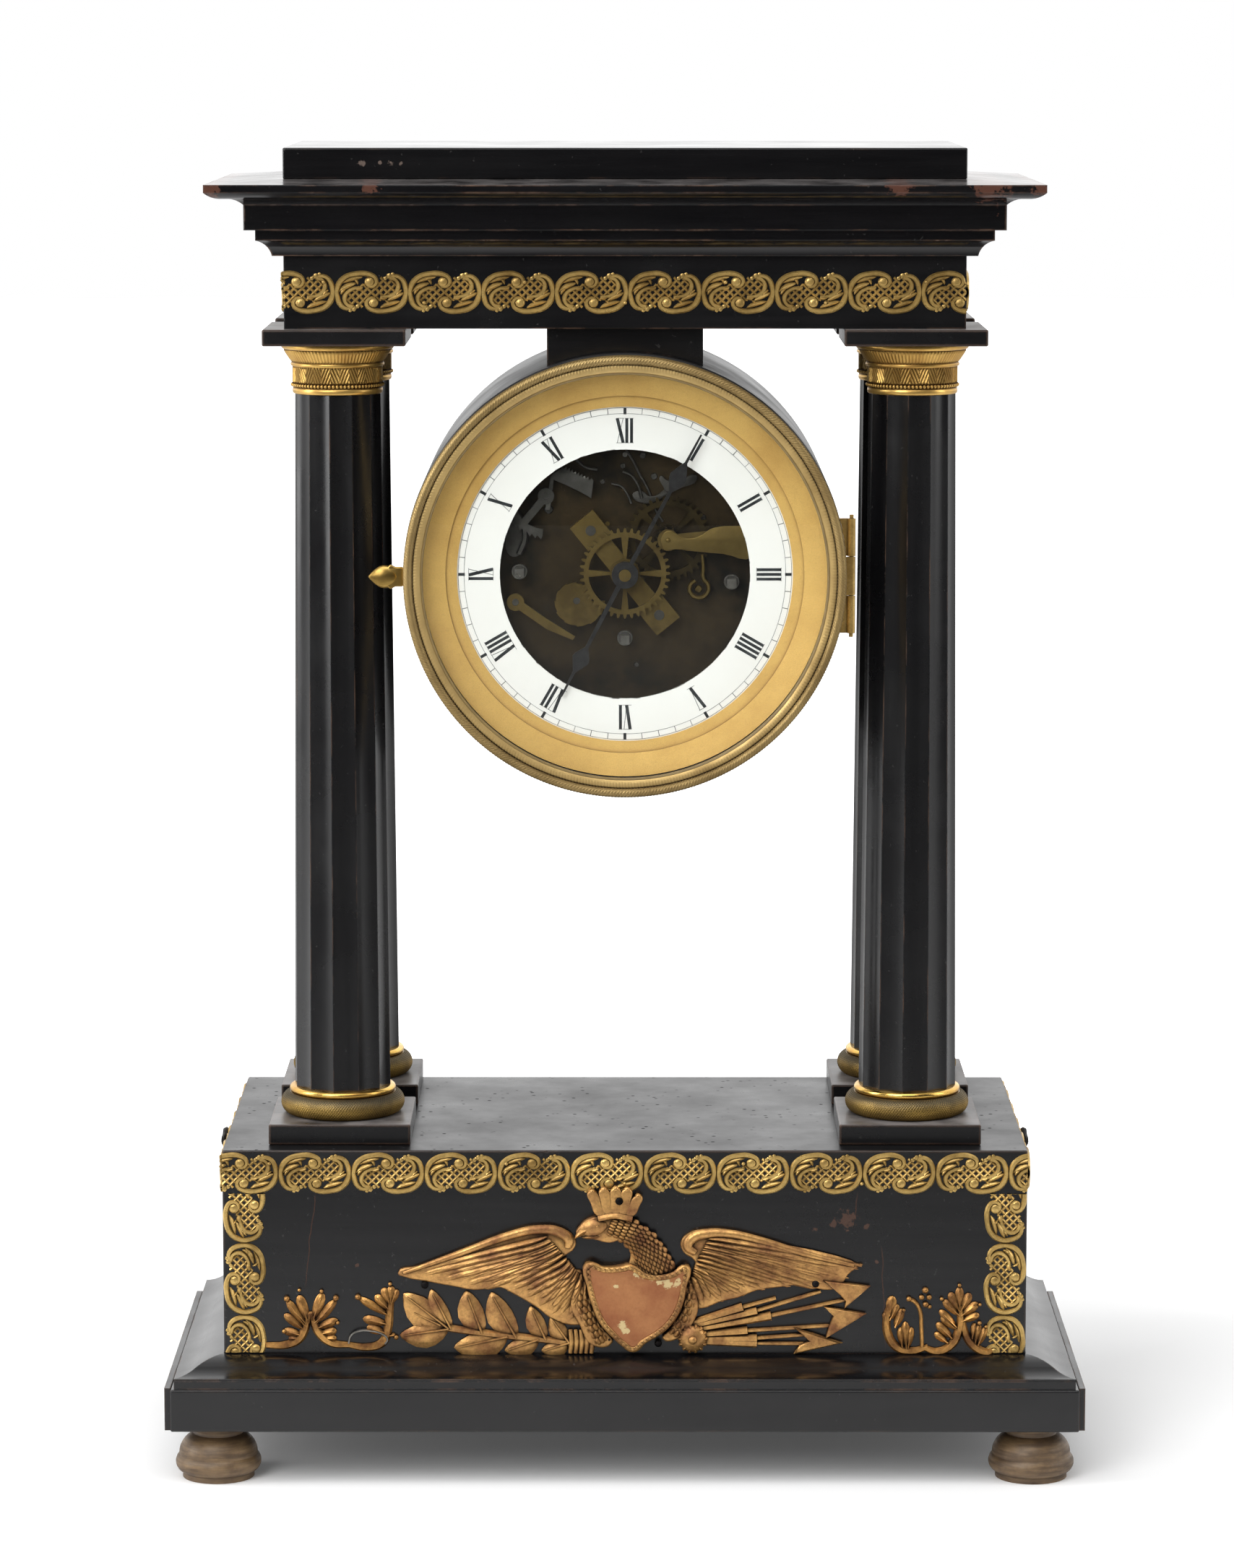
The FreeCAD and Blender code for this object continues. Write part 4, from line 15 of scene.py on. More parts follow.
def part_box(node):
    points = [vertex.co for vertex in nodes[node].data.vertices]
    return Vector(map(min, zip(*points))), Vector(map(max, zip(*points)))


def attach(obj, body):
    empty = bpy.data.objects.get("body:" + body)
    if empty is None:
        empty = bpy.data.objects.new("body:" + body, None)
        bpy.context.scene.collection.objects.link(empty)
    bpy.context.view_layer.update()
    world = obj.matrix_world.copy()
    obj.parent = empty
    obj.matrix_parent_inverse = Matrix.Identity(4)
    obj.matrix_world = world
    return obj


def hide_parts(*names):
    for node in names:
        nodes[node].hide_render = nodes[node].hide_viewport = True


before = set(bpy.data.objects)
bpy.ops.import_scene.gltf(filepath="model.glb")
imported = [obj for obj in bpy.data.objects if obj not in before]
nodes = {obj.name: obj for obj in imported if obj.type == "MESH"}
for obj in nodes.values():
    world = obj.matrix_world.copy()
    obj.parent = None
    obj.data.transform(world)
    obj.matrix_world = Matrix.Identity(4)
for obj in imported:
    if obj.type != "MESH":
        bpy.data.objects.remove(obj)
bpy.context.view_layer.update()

MM = 0.001

# %% [markdown]
# ## Camera
#
# The photograph was taken from the front, a little above the clock, with a long lens. Fitting the known
# heights and widths to it gave the lens, the height and the tilt. Depth of field stays off and the lens
# isn't shifted, so the same camera can walk round the clock.

# %% Camera
camera_data = bpy.data.cameras.new("studio_camera")
camera_data.lens = 121.7
camera_data.sensor_width = 36.0
camera_data.clip_end = 50.0
camera = bpy.data.objects.new("studio_camera", camera_data)
bpy.context.scene.collection.objects.link(camera)
camera.location = (0.0, -2.114, 0.5726)
camera.rotation_euler = (math.radians(81.8), 0.0, math.radians(0.086))
bpy.context.scene.camera = camera
print("camera", camera_data.lens, "mm")

# %% [markdown]
# ## Small helpers for node trees
#
# A material is a graph. A few helpers keep the graphs readable: they fill a socket with a value or a
# link, add a node with its settings, and do the arithmetic, the mixing and the noise.

# %% Node helpers
def plug(tree, socket, value):
    if isinstance(value, bpy.types.NodeSocket):
        tree.links.new(value, socket)
    else:
        socket.default_value = value


def add(tree, kind, sockets=None, **settings):
    made = tree.nodes.new("ShaderNode" + kind)
    for name, value in settings.items():
        setattr(made, name, value)
    for key, value in (sockets or {}).items():
        plug(tree, made.inputs[key], value)
    return made


def calc(tree, operation, *values):
    made = add(tree, "Math", operation=operation)
    for socket, value in zip(made.inputs, values):
        plug(tree, socket, value)
    return made.outputs[0]


def times(tree, first, second):
    return calc(tree, "MULTIPLY", first, second)


def plus(tree, first, second):
    return calc(tree, "ADD", first, second)


def less(tree, first, second):
    return calc(tree, "SUBTRACT", first, second)


def vector_sum(tree, operation, *values):
    made = add(tree, "VectorMath", dict(enumerate(values)), operation=operation)
    return made.outputs["Value" if operation in ("LENGTH", "DOT_PRODUCT") else "Vector"]


def blend_colour(tree, amount, first, second):
    made = add(tree, "Mix", data_type="RGBA")
    for index, value in ((0, amount), (6, first), (7, second)):
        plug(tree, made.inputs[index], value)
    return made.outputs[2]


def spread(tree, value, low, high, out_low=0.0, out_high=1.0):
    made = add(tree, "MapRange", {"Value": value, "From Min": low, "From Max": high,
                                  "To Min": out_low, "To Max": out_high})
    return made.outputs[0]


def noise(tree, place, scale, detail=3.0, rough=0.55, distortion=0.0):
    made = add(tree, "TexNoise", {"Vector": place, "Scale": scale, "Detail": detail,
                                  "Roughness": rough, "Distortion": distortion})
    return made.outputs[0]


def stretched(tree, place, scale, turn=(0, 0, 0), offset=(0, 0, 0)):
    made = add(tree, "Mapping", {"Vector": place, "Scale": scale, "Rotation": turn, "Location": offset})
    return made.outputs[0]


def rgb(red, green, blue):
    """A colour picked from a picture, as the linear values that a shader wants."""
    values = [c / 255.0 for c in (red, green, blue)]
    return [c / 12.92 if c <= 0.04045 else ((c + 0.055) / 1.055) ** 2.4 for c in values] + [1.0]


print("node helpers ready")

# %% [markdown]
# ## Shared effects
#
# Wear, grain and tarnish appear on several finishes, so each is a node group. Worn edges come from the
# Bevel node: where it bends the normal away from the true one, there is an edge. Tarnish collects where
# little light gets in, which is what ambient occlusion measures.

# %% Shared effects
def effect(name, inputs, outputs):
    tree = bpy.data.node_groups.new(name, "ShaderNodeTree")
    for label, kind, value in inputs:
        socket = tree.interface.new_socket(label, in_out="INPUT", socket_type="NodeSocket" + kind)
        if value is not None:
            socket.default_value = value
    for label, kind in outputs:
        tree.interface.new_socket(label, in_out="OUTPUT", socket_type="NodeSocket" + kind)
    return tree, tree.nodes.new("NodeGroupInput"), tree.nodes.new("NodeGroupOutput")


def place_effect(tree, group, sockets):
    made = tree.nodes.new("ShaderNodeGroup")
    made.node_tree = group
    for key, value in sockets.items():
        plug(tree, made.inputs[key], value)
    return made


edge_wear, enter, leave = effect(
    "edge_wear", [("Place", "Vector", None), ("Width", "Float", 0.001), ("Patch scale", "Float", 60.0),
     ("Bare", "Float", 0.5)],
    [("Mask", "Float")])
soft = add(edge_wear, "Bevel", {"Radius": enter.outputs["Width"]}, samples=6)
true = add(edge_wear, "NewGeometry")
bend = vector_sum(edge_wear, "DOT_PRODUCT", soft.outputs[0], true.outputs["Normal"])
edge = spread(edge_wear, bend, 0.995, 0.93)
patches = noise(edge_wear, enter.outputs["Place"], enter.outputs["Patch scale"], 5.0, 0.65)
bare = less(edge_wear, 1.0, enter.outputs["Bare"])
patchy = spread(edge_wear, less(edge_wear, patches, times(edge_wear, bare, 0.5)), 0.18, 0.42)
plug(edge_wear, leave.inputs["Mask"], times(edge_wear, edge, patchy))

recess_tarnish, enter, leave = effect(
    "recess_tarnish",
    [("Place", "Vector", None), ("Reach", "Float", 0.002), ("Patch scale", "Float", 90.0),
     ("Open", "Float", 0.9), ("Shut", "Float", 0.42)],
    [("Recess", "Float"), ("Patches", "Float")])
open_sky = add(recess_tarnish, "AmbientOcclusion", {"Distance": enter.outputs["Reach"]}, samples=6,
               only_local=True)
plug(recess_tarnish, leave.inputs["Recess"], spread(
    recess_tarnish, open_sky.outputs["AO"], enter.outputs["Open"], enter.outputs["Shut"]))
clouds = noise(recess_tarnish, enter.outputs["Place"], enter.outputs["Patch scale"], 6.0, 0.6)
plug(recess_tarnish, leave.inputs["Patches"], spread(recess_tarnish, clouds, 0.38, 0.68))

handling, enter, leave = effect(
    "handling_marks", [("Place", "Vector", None), ("Scale", "Float", 40.0)],
    [("Smudges", "Float"), ("Specks", "Float")])
smudge = noise(handling, enter.outputs["Place"], enter.outputs["Scale"], 6.0, 0.62)
plug(handling, leave.inputs["Smudges"], spread(handling, smudge, 0.3, 0.72))
speck = noise(handling, enter.outputs["Place"], times(handling, enter.outputs["Scale"], 22.0), 2.0, 0.5)
plug(handling, leave.inputs["Specks"], spread(handling, speck, 0.71, 0.76))
print("effects:", [group.name for group in bpy.data.node_groups])

# %% [markdown]
# ## Blackened wood
#
# The case is pear or lime wood, stained black and polished. Old polish is never even: it is rubbed dull
# in patches, flecked with dust, and worn to brown wood along the edges. Grain follows each board, so the
# maker function takes the stretch that draws it out.

# %% Blackened wood
BLACK = [0.0030, 0.0029, 0.0034, 1.0]
BROWN = [0.085, 0.036, 0.018, 1.0]
BARE_WOOD = [0.20, 0.105, 0.055, 1.0]
GRAIN_ACROSS, GRAIN_DEEP, GRAIN_UPRIGHT = (14.0, 260.0, 260.0), (260.0, 14.0, 260.0), (240.0, 240.0, 9.0)
ARRIS = 0.0007


def new_finish(name):
    material = bpy.data.materials.new(name)
    material.use_nodes = True
    tree = material.node_tree
    shader = tree.nodes["Principled BSDF"]
    place = add(tree, "TexCoord").outputs["Object"]
    return material, tree, shader, place


def from_point(tree, place, x, z):
    """How far a place lies from an axis that runs straight back at x and z."""
    away = vector_sum(tree, "SUBTRACT", place, (x, 0.0, z))
    flat = vector_sum(tree, "MULTIPLY", away, (1.0, 0.0, 1.0))
    return vector_sum(tree, "LENGTH", flat)


def looks_up(tree, low, high):
    """How much of a surface looks up, where dust lies and where the wood gets a painted sheen."""
    normal = add(tree, "NewGeometry").outputs["Normal"]
    return spread(tree, add(tree, "SeparateXYZ", {0: normal}).outputs["Z"], low, high)


def black_wood(name, grain, wear=0.5, edge_width=0.0011, extra=None, top_film=0.0, pits=0.0,
               polish=(0.2, 0.36)):
    """Stained and polished wood. grain stretches the figure; extra adds marks of its own."""
    material, tree, shader, place = new_finish(name)
    worn = place_effect(tree, edge_wear, {"Place": place, "Width": edge_width, "Patch scale": 45.0,
                                          "Bare": wear})
    marks = place_effect(tree, handling, {"Place": place, "Scale": 26.0})
    figure = noise(tree, stretched(tree, place, grain), 1.0, 4.0, 0.6)
    tint = blend_colour(tree, spread(tree, figure, 0.35, 0.7), BLACK, [0.0058, 0.0055, 0.0060, 1.0])
    tint = blend_colour(tree, times(tree, marks.outputs["Specks"], 0.12), tint, [0.16, 0.155, 0.15, 1.0])
    wood = blend_colour(tree, noise(tree, place, 320.0), BROWN, BARE_WOOD)
    tint = blend_colour(tree, times(tree, worn.outputs["Mask"], 0.8), tint, wood)
    height = times(tree, figure, 0.5)
    if extra:
        tint, height = extra(tree, place, tint, height)
    dull = spread(tree, marks.outputs["Smudges"], 0.0, 1.0, polish[0], polish[1])
    dull = plus(tree, dull, times(tree, worn.outputs["Mask"], 0.3))
    if pits:
        cell = add(tree, "TexVoronoi", {"Vector": place, "Scale": 210.0}).outputs["Distance"]
        hole = times(tree, spread(tree, cell, 0.2, 0.1),
                     spread(tree, noise(tree, place, 38.0, 4.0), 0.47, 0.6))
        height = less(tree, height, times(tree, hole, pits))
        dull = plus(tree, dull, times(tree, hole, 0.5))
    # A pale film on the up-facing faces: partly dust, partly a painted sheen that lightens the tops.
    if top_film:
        dust_and_sheen = times(tree, looks_up(tree, 0.8, 0.98), spread(tree, noise(tree, place, 70.0, 5.0), 0.25, 0.6))
        tint = blend_colour(tree, times(tree, dust_and_sheen, top_film), tint, rgb(224, 216, 214))
        dull = plus(tree, dull, times(tree, dust_and_sheen, 0.5 * top_film))
    plug(tree, shader.inputs["Base Color"], tint)
    plug(tree, shader.inputs["Roughness"], dull)
    shader.inputs["Specular IOR Level"].default_value = 0.5
    arris = add(tree, "Bevel", {"Radius": ARRIS}, samples=4)
    bump = add(tree, "Bump", {"Strength": 0.12, "Distance": 0.0004, "Height": height,
                              "Normal": arris.outputs[0]})
    plug(tree, shader.inputs["Normal"], bump.outputs[0])
    return material


print("wood maker ready")


# %% Marks on the wood
def spots(tree, place, marks):
    """A mask of small round marks at (x, z, radius) in metres on a front face, ragged at the edge."""
    mask = 0.0
    ragged = times(tree, less(tree, noise(tree, place, 330.0, 6.0, 0.7), 0.5), 4.0)
    for x, z, radius in marks:
        size = calc(tree, "DIVIDE", from_point(tree, place, x, z), radius)
        inside = spread(tree, plus(tree, size, ragged), 0.95, 0.7)
        mask = calc(tree, "MAXIMUM", mask, inside)
    return mask


def cracks(tree, place, lines):
    """A mask of thin cracks from (x, z) to (x, z) in metres, wandering a little."""
    axes = add(tree, "SeparateXYZ", {0: place}).outputs
    wander = times(tree, less(tree, noise(tree, place, 110.0, 3.0), 0.5), 0.0022)
    mask = 0.0
    for top_x, top_z, low_x, low_z in lines:
        lean = (top_x - low_x) / (top_z - low_z)
        line = calc(tree, "MULTIPLY_ADD", less(tree, axes["Z"], low_z), lean, low_x)
        away = calc(tree, "ABSOLUTE", less(tree, plus(tree, axes["X"], wander), line))
        run = times(tree, spread(tree, axes["Z"], low_z, low_z + 0.004),
                    spread(tree, axes["Z"], top_z, top_z - 0.004))
        mask = calc(tree, "MAXIMUM", mask, times(tree, spread(tree, away, 0.0003, 0.00012), run))
    return mask


def base_marks(tree, place, tint, height):
    """Shrinkage cracks and a bare patch on the base's front."""
    split = cracks(tree, place, [(-0.1221, 0.1145, -0.1266, 0.0748), (0.0919, 0.1145, 0.0905, 0.1),
                                 (0.1015, 0.093, 0.1035, 0.05)])
    tint = blend_colour(tree, split, tint, [0.032, 0.012, 0.006, 1.0])
    rubbed = spots(tree, place, [(0.0879, 0.103, 0.0038), (0.0825, 0.1015, 0.0014),
                                 (0.0752, 0.099, 0.0012), (0.0955, 0.1005, 0.0015),
                                 (-0.106, 0.0848, 0.0009), (0.1, 0.086, 0.001)])
    tint = blend_colour(tree, times(tree, rubbed, 0.75), tint, [0.066, 0.03, 0.018, 1.0])
    return tint, less(tree, height, times(tree, split, 2.0))


def attic_marks(tree, place, tint, height):
    """Old holes in the attic's front, filled with brown stopping."""
    filled = spots(tree, place, [(-0.1015, 0.5175, 0.0016), (-0.095, 0.518, 0.0008),
                                 (-0.0905, 0.5178, 0.0015), (-0.087, 0.5176, 0.001)])
    return blend_colour(tree, times(tree, filled, 0.7), tint, [0.16, 0.12, 0.1, 1.0]), height


def cornice_marks(tree, place, tint, height):
    """Knocked corners and a rubbed front edge on the cornice."""
    bare = spots(tree, place, [(-0.16, 0.5085, 0.005), (-0.098, 0.5105, 0.004), (0.105, 0.511, 0.005),
                               (0.14, 0.511, 0.008), (0.1595, 0.5095, 0.004)])
    return blend_colour(tree, times(tree, bare, 0.8), tint, [0.085, 0.036, 0.024, 1.0]), height


print("marks ready for the base, the attic and the cornice")

# %% Wood finishes
wood_base = black_wood("black_wood_base_front", GRAIN_ACROSS, extra=base_marks)
wood_attic = black_wood("black_wood_attic", GRAIN_ACROSS, 0.3, extra=attic_marks, polish=(0.1, 0.2))
wood_across = black_wood("black_wood_across", GRAIN_ACROSS, 0.38, polish=(0.16, 0.3))
wood_top = black_wood("black_wood_top", GRAIN_ACROSS, 0.75, pits=3.0, polish=(0.24, 0.42))
# The cornice moulding and the blocks get a pale film on their tops, partly dust and partly painted sheen.
wood_cornice = black_wood("black_wood_cornice", GRAIN_ACROSS, 0.45, 0.0012, cornice_marks, top_film=0.15,
                        polish=(0.1, 0.2))
wood_blocks = black_wood("black_wood_blocks", GRAIN_ACROSS, 0.9, 0.0012, top_film=0.25)
wood_deep = black_wood("black_wood_deep", GRAIN_DEEP)
wood_upright = black_wood("black_wood_upright", GRAIN_UPRIGHT, wear=0.42, edge_width=0.0007)
print("wood finishes:", wood_across.name, wood_deep.name, wood_upright.name)

# %% [markdown]
# ## Gilt and bare metals
#
# Gilding is bright where fingers and dusters pass, and brown in its hollows. One maker function covers
# the stamped strips, the capitals, the bezel and the cast eagle, because only the colours and the depth
# of the tarnish differ.

# %% Gilt and bare metals
def gilt(name, bright, dull, dark, rough=(0.3, 0.5), reach=0.0018, patch=70.0, metal=1.0, grit=0.06,
         open_at=0.9, shut_at=0.42, grain=900.0, dirt=0.0, top_film=0.0, extra=None):
    """Aged gilding: bright to dull in patches, dark in the hollows, flecked with dirt and dusty on top."""
    material, tree, shader, place = new_finish(name)
    aged = place_effect(tree, recess_tarnish, {"Place": place, "Reach": reach, "Patch scale": patch,
                                               "Open": open_at, "Shut": shut_at})
    tint = blend_colour(tree, aged.outputs["Patches"], bright, dull)
    if dirt:
        flecks = spread(tree, noise(tree, place, grain, 4.0, 0.7), 0.46, 0.7)
        tint = blend_colour(tree, times(tree, flecks, dirt), tint, dark)
    tint = blend_colour(tree, aged.outputs["Recess"], tint, dark)
    if extra:
        tint = extra(tree, place, tint)
    if top_film:
        tint = blend_colour(tree, times(tree, looks_up(tree, 0.05, 0.6), top_film), tint, rgb(78, 76, 68))
    plug(tree, shader.inputs["Base Color"], tint)
    shader.inputs["Metallic"].default_value = metal
    uneven = spread(tree, aged.outputs["Patches"], 0.0, 1.0, rough[0], rough[1])
    plug(tree, shader.inputs["Roughness"], plus(tree, uneven, times(tree, aged.outputs["Recess"], 0.2)))
    bump = add(tree, "Bump", {"Strength": grit, "Distance": 0.0004, "Height": noise(tree, place, grain, 3.0)})
    plug(tree, shader.inputs["Normal"], bump.outputs[0])
    return material


gilt_bright = gilt("gilt_polished", rgb(246, 202, 108), rgb(206, 158, 80), rgb(70, 44, 16), (0.2, 0.36),
                   0.0012, open_at=0.97, shut_at=0.5)
gilt_chased = gilt("gilt_chased", rgb(230, 188, 106), rgb(192, 148, 78), rgb(70, 45, 18), (0.3, 0.42), 0.0011,
                   metal=0.85, open_at=1.0, shut_at=0.62)
gilt_strip = gilt("gilt_stamped", rgb(222, 186, 112), rgb(146, 116, 62), rgb(20, 13, 8), (0.26, 0.42),
                  0.0016, 60.0, metal=0.68, open_at=0.88, shut_at=0.35, grain=1100.0, dirt=0.25)
gilt_knurled = gilt("gilt_knurled", rgb(204, 166, 86), rgb(120, 98, 58), rgb(18, 13, 8), (0.32, 0.5),
                    0.0008, 40.0, metal=0.9, open_at=1.0, shut_at=0.7, top_film=0.75)
gilt_rope = gilt("gilt_rope", rgb(220, 188, 124), rgb(166, 138, 86), rgb(40, 29, 15), (0.36, 0.52),
                 0.0008, 26.0, metal=0.7, open_at=1.0, shut_at=0.68)
gilt_tab = gilt("gilt_tab", rgb(190, 156, 86), rgb(136, 110, 58), rgb(60, 44, 22), (0.28, 0.45), 0.002, 120.0)
gilt_leaf = gilt("gilt_leaf", rgb(212, 158, 88), rgb(124, 84, 50), rgb(28, 16, 9), (0.3, 0.5), 0.002, 130.0,
                 metal=0.8, open_at=0.97, shut_at=0.5, dirt=0.35)
gilt_mat = gilt("gilt_matted", rgb(228, 186, 106), rgb(202, 160, 86), rgb(124, 90, 44), (0.4, 0.54),
                0.003, 24.0, metal=0.4, grit=0.3, grain=2200.0, dirt=0.2)
bronze = gilt("bronze_gilt", rgb(216, 166, 100), rgb(138, 93, 60), rgb(26, 14, 8), (0.32, 0.5), 0.002, 110.0,
              metal=0.75, grit=0.3, open_at=0.98, shut_at=0.58, dirt=0.32)


def flakes_and_painted_highlight(tree, place, tint):
    """A painted highlight of pale spots along the shield's upper edge, and pale flakes low on its field."""
    # The spots along the upper edge are a painted highlight; the ones low on the field are flakes.
    edge = [(0.005 + 0.003 * step, 0.0828 - 0.0046 * min(1.0, step / 4), 0.002) for step in range(6)]
    field = [(-0.0006, 0.0615, 0.0022), (0.0002, 0.0595, 0.0016), (-0.0036, 0.0776, 0.0011)]
    flakes_and_highlight = spots(tree, place, edge + field)
    return blend_colour(tree, times(tree, flakes_and_highlight, 0.85), tint, rgb(220, 200, 148))


bronze_field = gilt("bronze_field", rgb(180, 124, 80), rgb(154, 96, 62), rgb(80, 46, 28), (0.42, 0.55),
                    0.004, 60.0, metal=0.6, dirt=0.15, extra=flakes_and_painted_highlight)
cock_brass = gilt("cock_brass", rgb(136, 115, 66), rgb(102, 86, 50), rgb(34, 27, 15), (0.34, 0.5), 0.003,
                  60.0)
old_brass = gilt("old_brass", rgb(122, 103, 60), rgb(84, 70, 42), rgb(18, 15, 9), (0.4, 0.58), 0.004, 60.0)
dark_brass = gilt("dark_brass", rgb(68, 58, 37), rgb(46, 39, 26), rgb(14, 12, 8), (0.45, 0.6), 0.004, 60.0)
# Tarnished brass for the plates and pillars, made darker still as painted shade for where they sit deep in
# the drum.
plate_brass_in_shade = gilt("plate_brass_in_shade", rgb(64, 53, 36), rgb(26, 24, 20), rgb(9, 8, 7), (0.46, 0.66), 0.006,
                   45.0, metal=0.9)
steel = gilt("steel", rgb(168, 165, 158), rgb(112, 109, 103), rgb(30, 28, 26), (0.24, 0.44), 0.002, 90.0)
dark_steel = gilt("dark_steel", rgb(98, 96, 92), rgb(68, 66, 62), rgb(18, 17, 16), (0.35, 0.55), 0.003, 90.0)
blued = gilt("blued_steel", rgb(84, 83, 84), rgb(56, 55, 55), rgb(14, 14, 14), (0.3, 0.48), 0.002, 120.0)
iron = gilt("black_iron", rgb(40, 38, 38), rgb(26, 24, 24), rgb(8, 8, 8), (0.5, 0.7), 0.002, 120.0)
print("metal finishes:", gilt_bright.name, gilt_strip.name, bronze.name)

# %% [markdown]
# ## Enamel, glass, tin and worn feet
#
# The dial is fired white enamel, chipped along its inner edge. The glass has to let light through to the
# dial, so shadow rays pass it as if it weren't there. The drum is painted a smooth black, and the bun feet
# have lost their gilding down to brown ground.

# %% Enamel
DIAL = Vector((0.0, -0.0445, 0.3575))

enamel, tree, shader, place = new_finish("white_enamel")
radius = from_point(tree, place, 0.0, DIAL.z)
chip_edge = plus(tree, radius, times(tree, noise(tree, place, 260.0, 4.0), -0.0022))
chips = spread(tree, chip_edge, 0.0479, 0.0476)
tint = blend_colour(tree, noise(tree, place, 30.0), rgb(246, 245, 243), rgb(238, 236, 232))
plug(tree, shader.inputs["Base Color"], blend_colour(tree, chips, tint, rgb(70, 66, 62)))
plug(tree, shader.inputs["Roughness"], spread(tree, noise(tree, place, 60.0), 0.3, 0.7, 0.1, 0.2))
shader.inputs["Coat Weight"].default_value = 0.4

print("enamel:", enamel.name)

# %% Glass
glass, tree, shader, place = new_finish("clear_glass")
shader.inputs["Base Color"].default_value = (0.96, 0.975, 0.965, 1.0)
shader.inputs["Transmission Weight"].default_value = 1.0
shader.inputs["IOR"].default_value = 1.48
plug(tree, shader.inputs["Roughness"], spread(tree, noise(tree, place, 35.0, 5.0), 0.45, 0.75, 0.0, 0.03))
through = add(tree, "BsdfTransparent", {"Color": (0.94, 0.95, 0.94, 1.0)})
ray = add(tree, "LightPath")
shaded = calc(tree, "MAXIMUM", ray.outputs["Is Shadow Ray"], ray.outputs["Is Diffuse Ray"])
pane = add(tree, "MixShader", {0: shaded, 1: shader.outputs[0], 2: through.outputs[0]})
plug(tree, tree.nodes["Material Output"].inputs["Surface"], pane.outputs[0])

glass_edge, tree, shader, place = new_finish("glass_ground_edge")
plug(tree, shader.inputs["Base Color"], blend_colour(tree, noise(tree, place, 120.0), rgb(138, 116, 70),
                                                     rgb(88, 72, 42)))
shader.inputs["Roughness"].default_value = 0.4
print("glass:", glass.name, glass_edge.name)


# %% Paint, tin and feet
def paint_finish(name, fresh, worn):
    """Fired paint that has gone grey in places."""
    material, tree, shader, place = new_finish(name)
    rubbed = spread(tree, noise(tree, place, 240.0, 4.0), 0.45, 0.75)
    plug(tree, shader.inputs["Base Color"], blend_colour(tree, rubbed, fresh, worn))
    shader.inputs["Roughness"].default_value = 0.3
    return material


figure_paint = paint_finish("figure_paint", rgb(34, 37, 40), rgb(66, 70, 72))
hairline_paint = paint_finish("hairline_paint", rgb(104, 106, 106), rgb(176, 176, 174))

tin, tree, shader, place = new_finish("black_tin")
marks = place_effect(tree, handling, {"Place": place, "Scale": 30.0})
tint = blend_colour(tree, marks.outputs["Smudges"], [0.012, 0.012, 0.0125, 1.0], [0.022, 0.0215, 0.021, 1.0])
plug(tree, shader.inputs["Base Color"], tint)
plug(tree, shader.inputs["Roughness"], spread(tree, marks.outputs["Smudges"], 0.0, 1.0, 0.3, 0.46))

foot_ground, tree, shader, place = new_finish("worn_foot")
rings = noise(tree, stretched(tree, place, (60.0, 60.0, 520.0)), 1.0, 4.0, 0.6)
rubbed = place_effect(tree, recess_tarnish, {"Place": place, "Reach": 0.004, "Patch scale": 150.0})
tint = blend_colour(tree, spread(tree, rings, 0.35, 0.65), rgb(122, 98, 68), rgb(80, 62, 42))
tint = blend_colour(tree, times(tree, rubbed.outputs["Patches"], 0.6), tint, rgb(60, 43, 29))
tint = blend_colour(tree, rubbed.outputs["Recess"], tint, rgb(58, 40, 26))
plug(tree, shader.inputs["Base Color"], tint)
plug(tree, shader.inputs["Roughness"], spread(tree, rings, 0.3, 0.7, 0.38, 0.6))
bump = add(tree, "Bump", {"Strength": 0.35, "Distance": 0.0005, "Height": rings})
plug(tree, shader.inputs["Normal"], bump.outputs[0])
print("other finishes:", figure_paint.name, tin.name, foot_ground.name)

# %% [markdown]
# ## Finishes on the frame's own pieces
#
# Where the solid is already the right shape, it keeps its mesh and only takes a finish.

# %% Dress the frame
def dress(material, *names):
    for name in names:
        slots = nodes[name].data.materials
        slots.clear()
        slots.append(material)


dress(wood_across, "plinth_slab", "base_ogee", "frieze_boards", "cornice_top_board", "hanger_block")
dress(wood_top, "base_top_board")
dress(wood_cornice, "cornice_moulding")
dress(wood_blocks, "column_plinths", "column_abaci")
dress(wood_base, "base_front_board")
dress(wood_attic, "attic_block")
dress(wood_deep, "plinth_side_facings", "base_side_and_back_boards")
dress(wood_upright, "column_shafts")
dress(tin, "drum_shell", "drum_back_cover")
dress(foot_ground, "bun_feet")
dress(gilt_bright, "column_capitals")
dress(gilt_strip, "base_pierced_strips", "frieze_pierced_strips", "column_toruses", "acanthus_mounts",
      "bezel_ring", "bezel_latch_tab", "bezel_hinge_knuckle", "drum_hinge", "glass_retaining_ring")
dress(gilt_mat, "dial_mat_ring")
dress(bronze, "eagle_mount")
dress(enamel, "chapter_ring")
dress(glass, "bezel_glass")
dress(blued, "hour_hand", "minute_hand")
dress(plate_brass_in_shade, "movement_front_plate", "movement_back_plate", "movement_pillars")
dress(dark_brass, "change_wheel")
dress(old_brass, "movement_cocks", "hour_wheel", "centre_arbor", "going_barrel", "third_wheel",
      "escape_wheel", "quarter_strike_barrel", "hour_strike_barrel", "hour_snail", "lifting_lever",
      "pendulum", "gong_block", "hour_hammer", "quarter_hammer")
dress(steel, "going_winding_arbor", "quarter_winding_arbor", "hour_winding_arbor", "pallet_anchor")
dress(dark_steel, "strike_rack", "gong_wires", "movement_screws", "movement_studs")
print("dressed", sum(1 for node in nodes.values() if node.data.materials), "nodes")

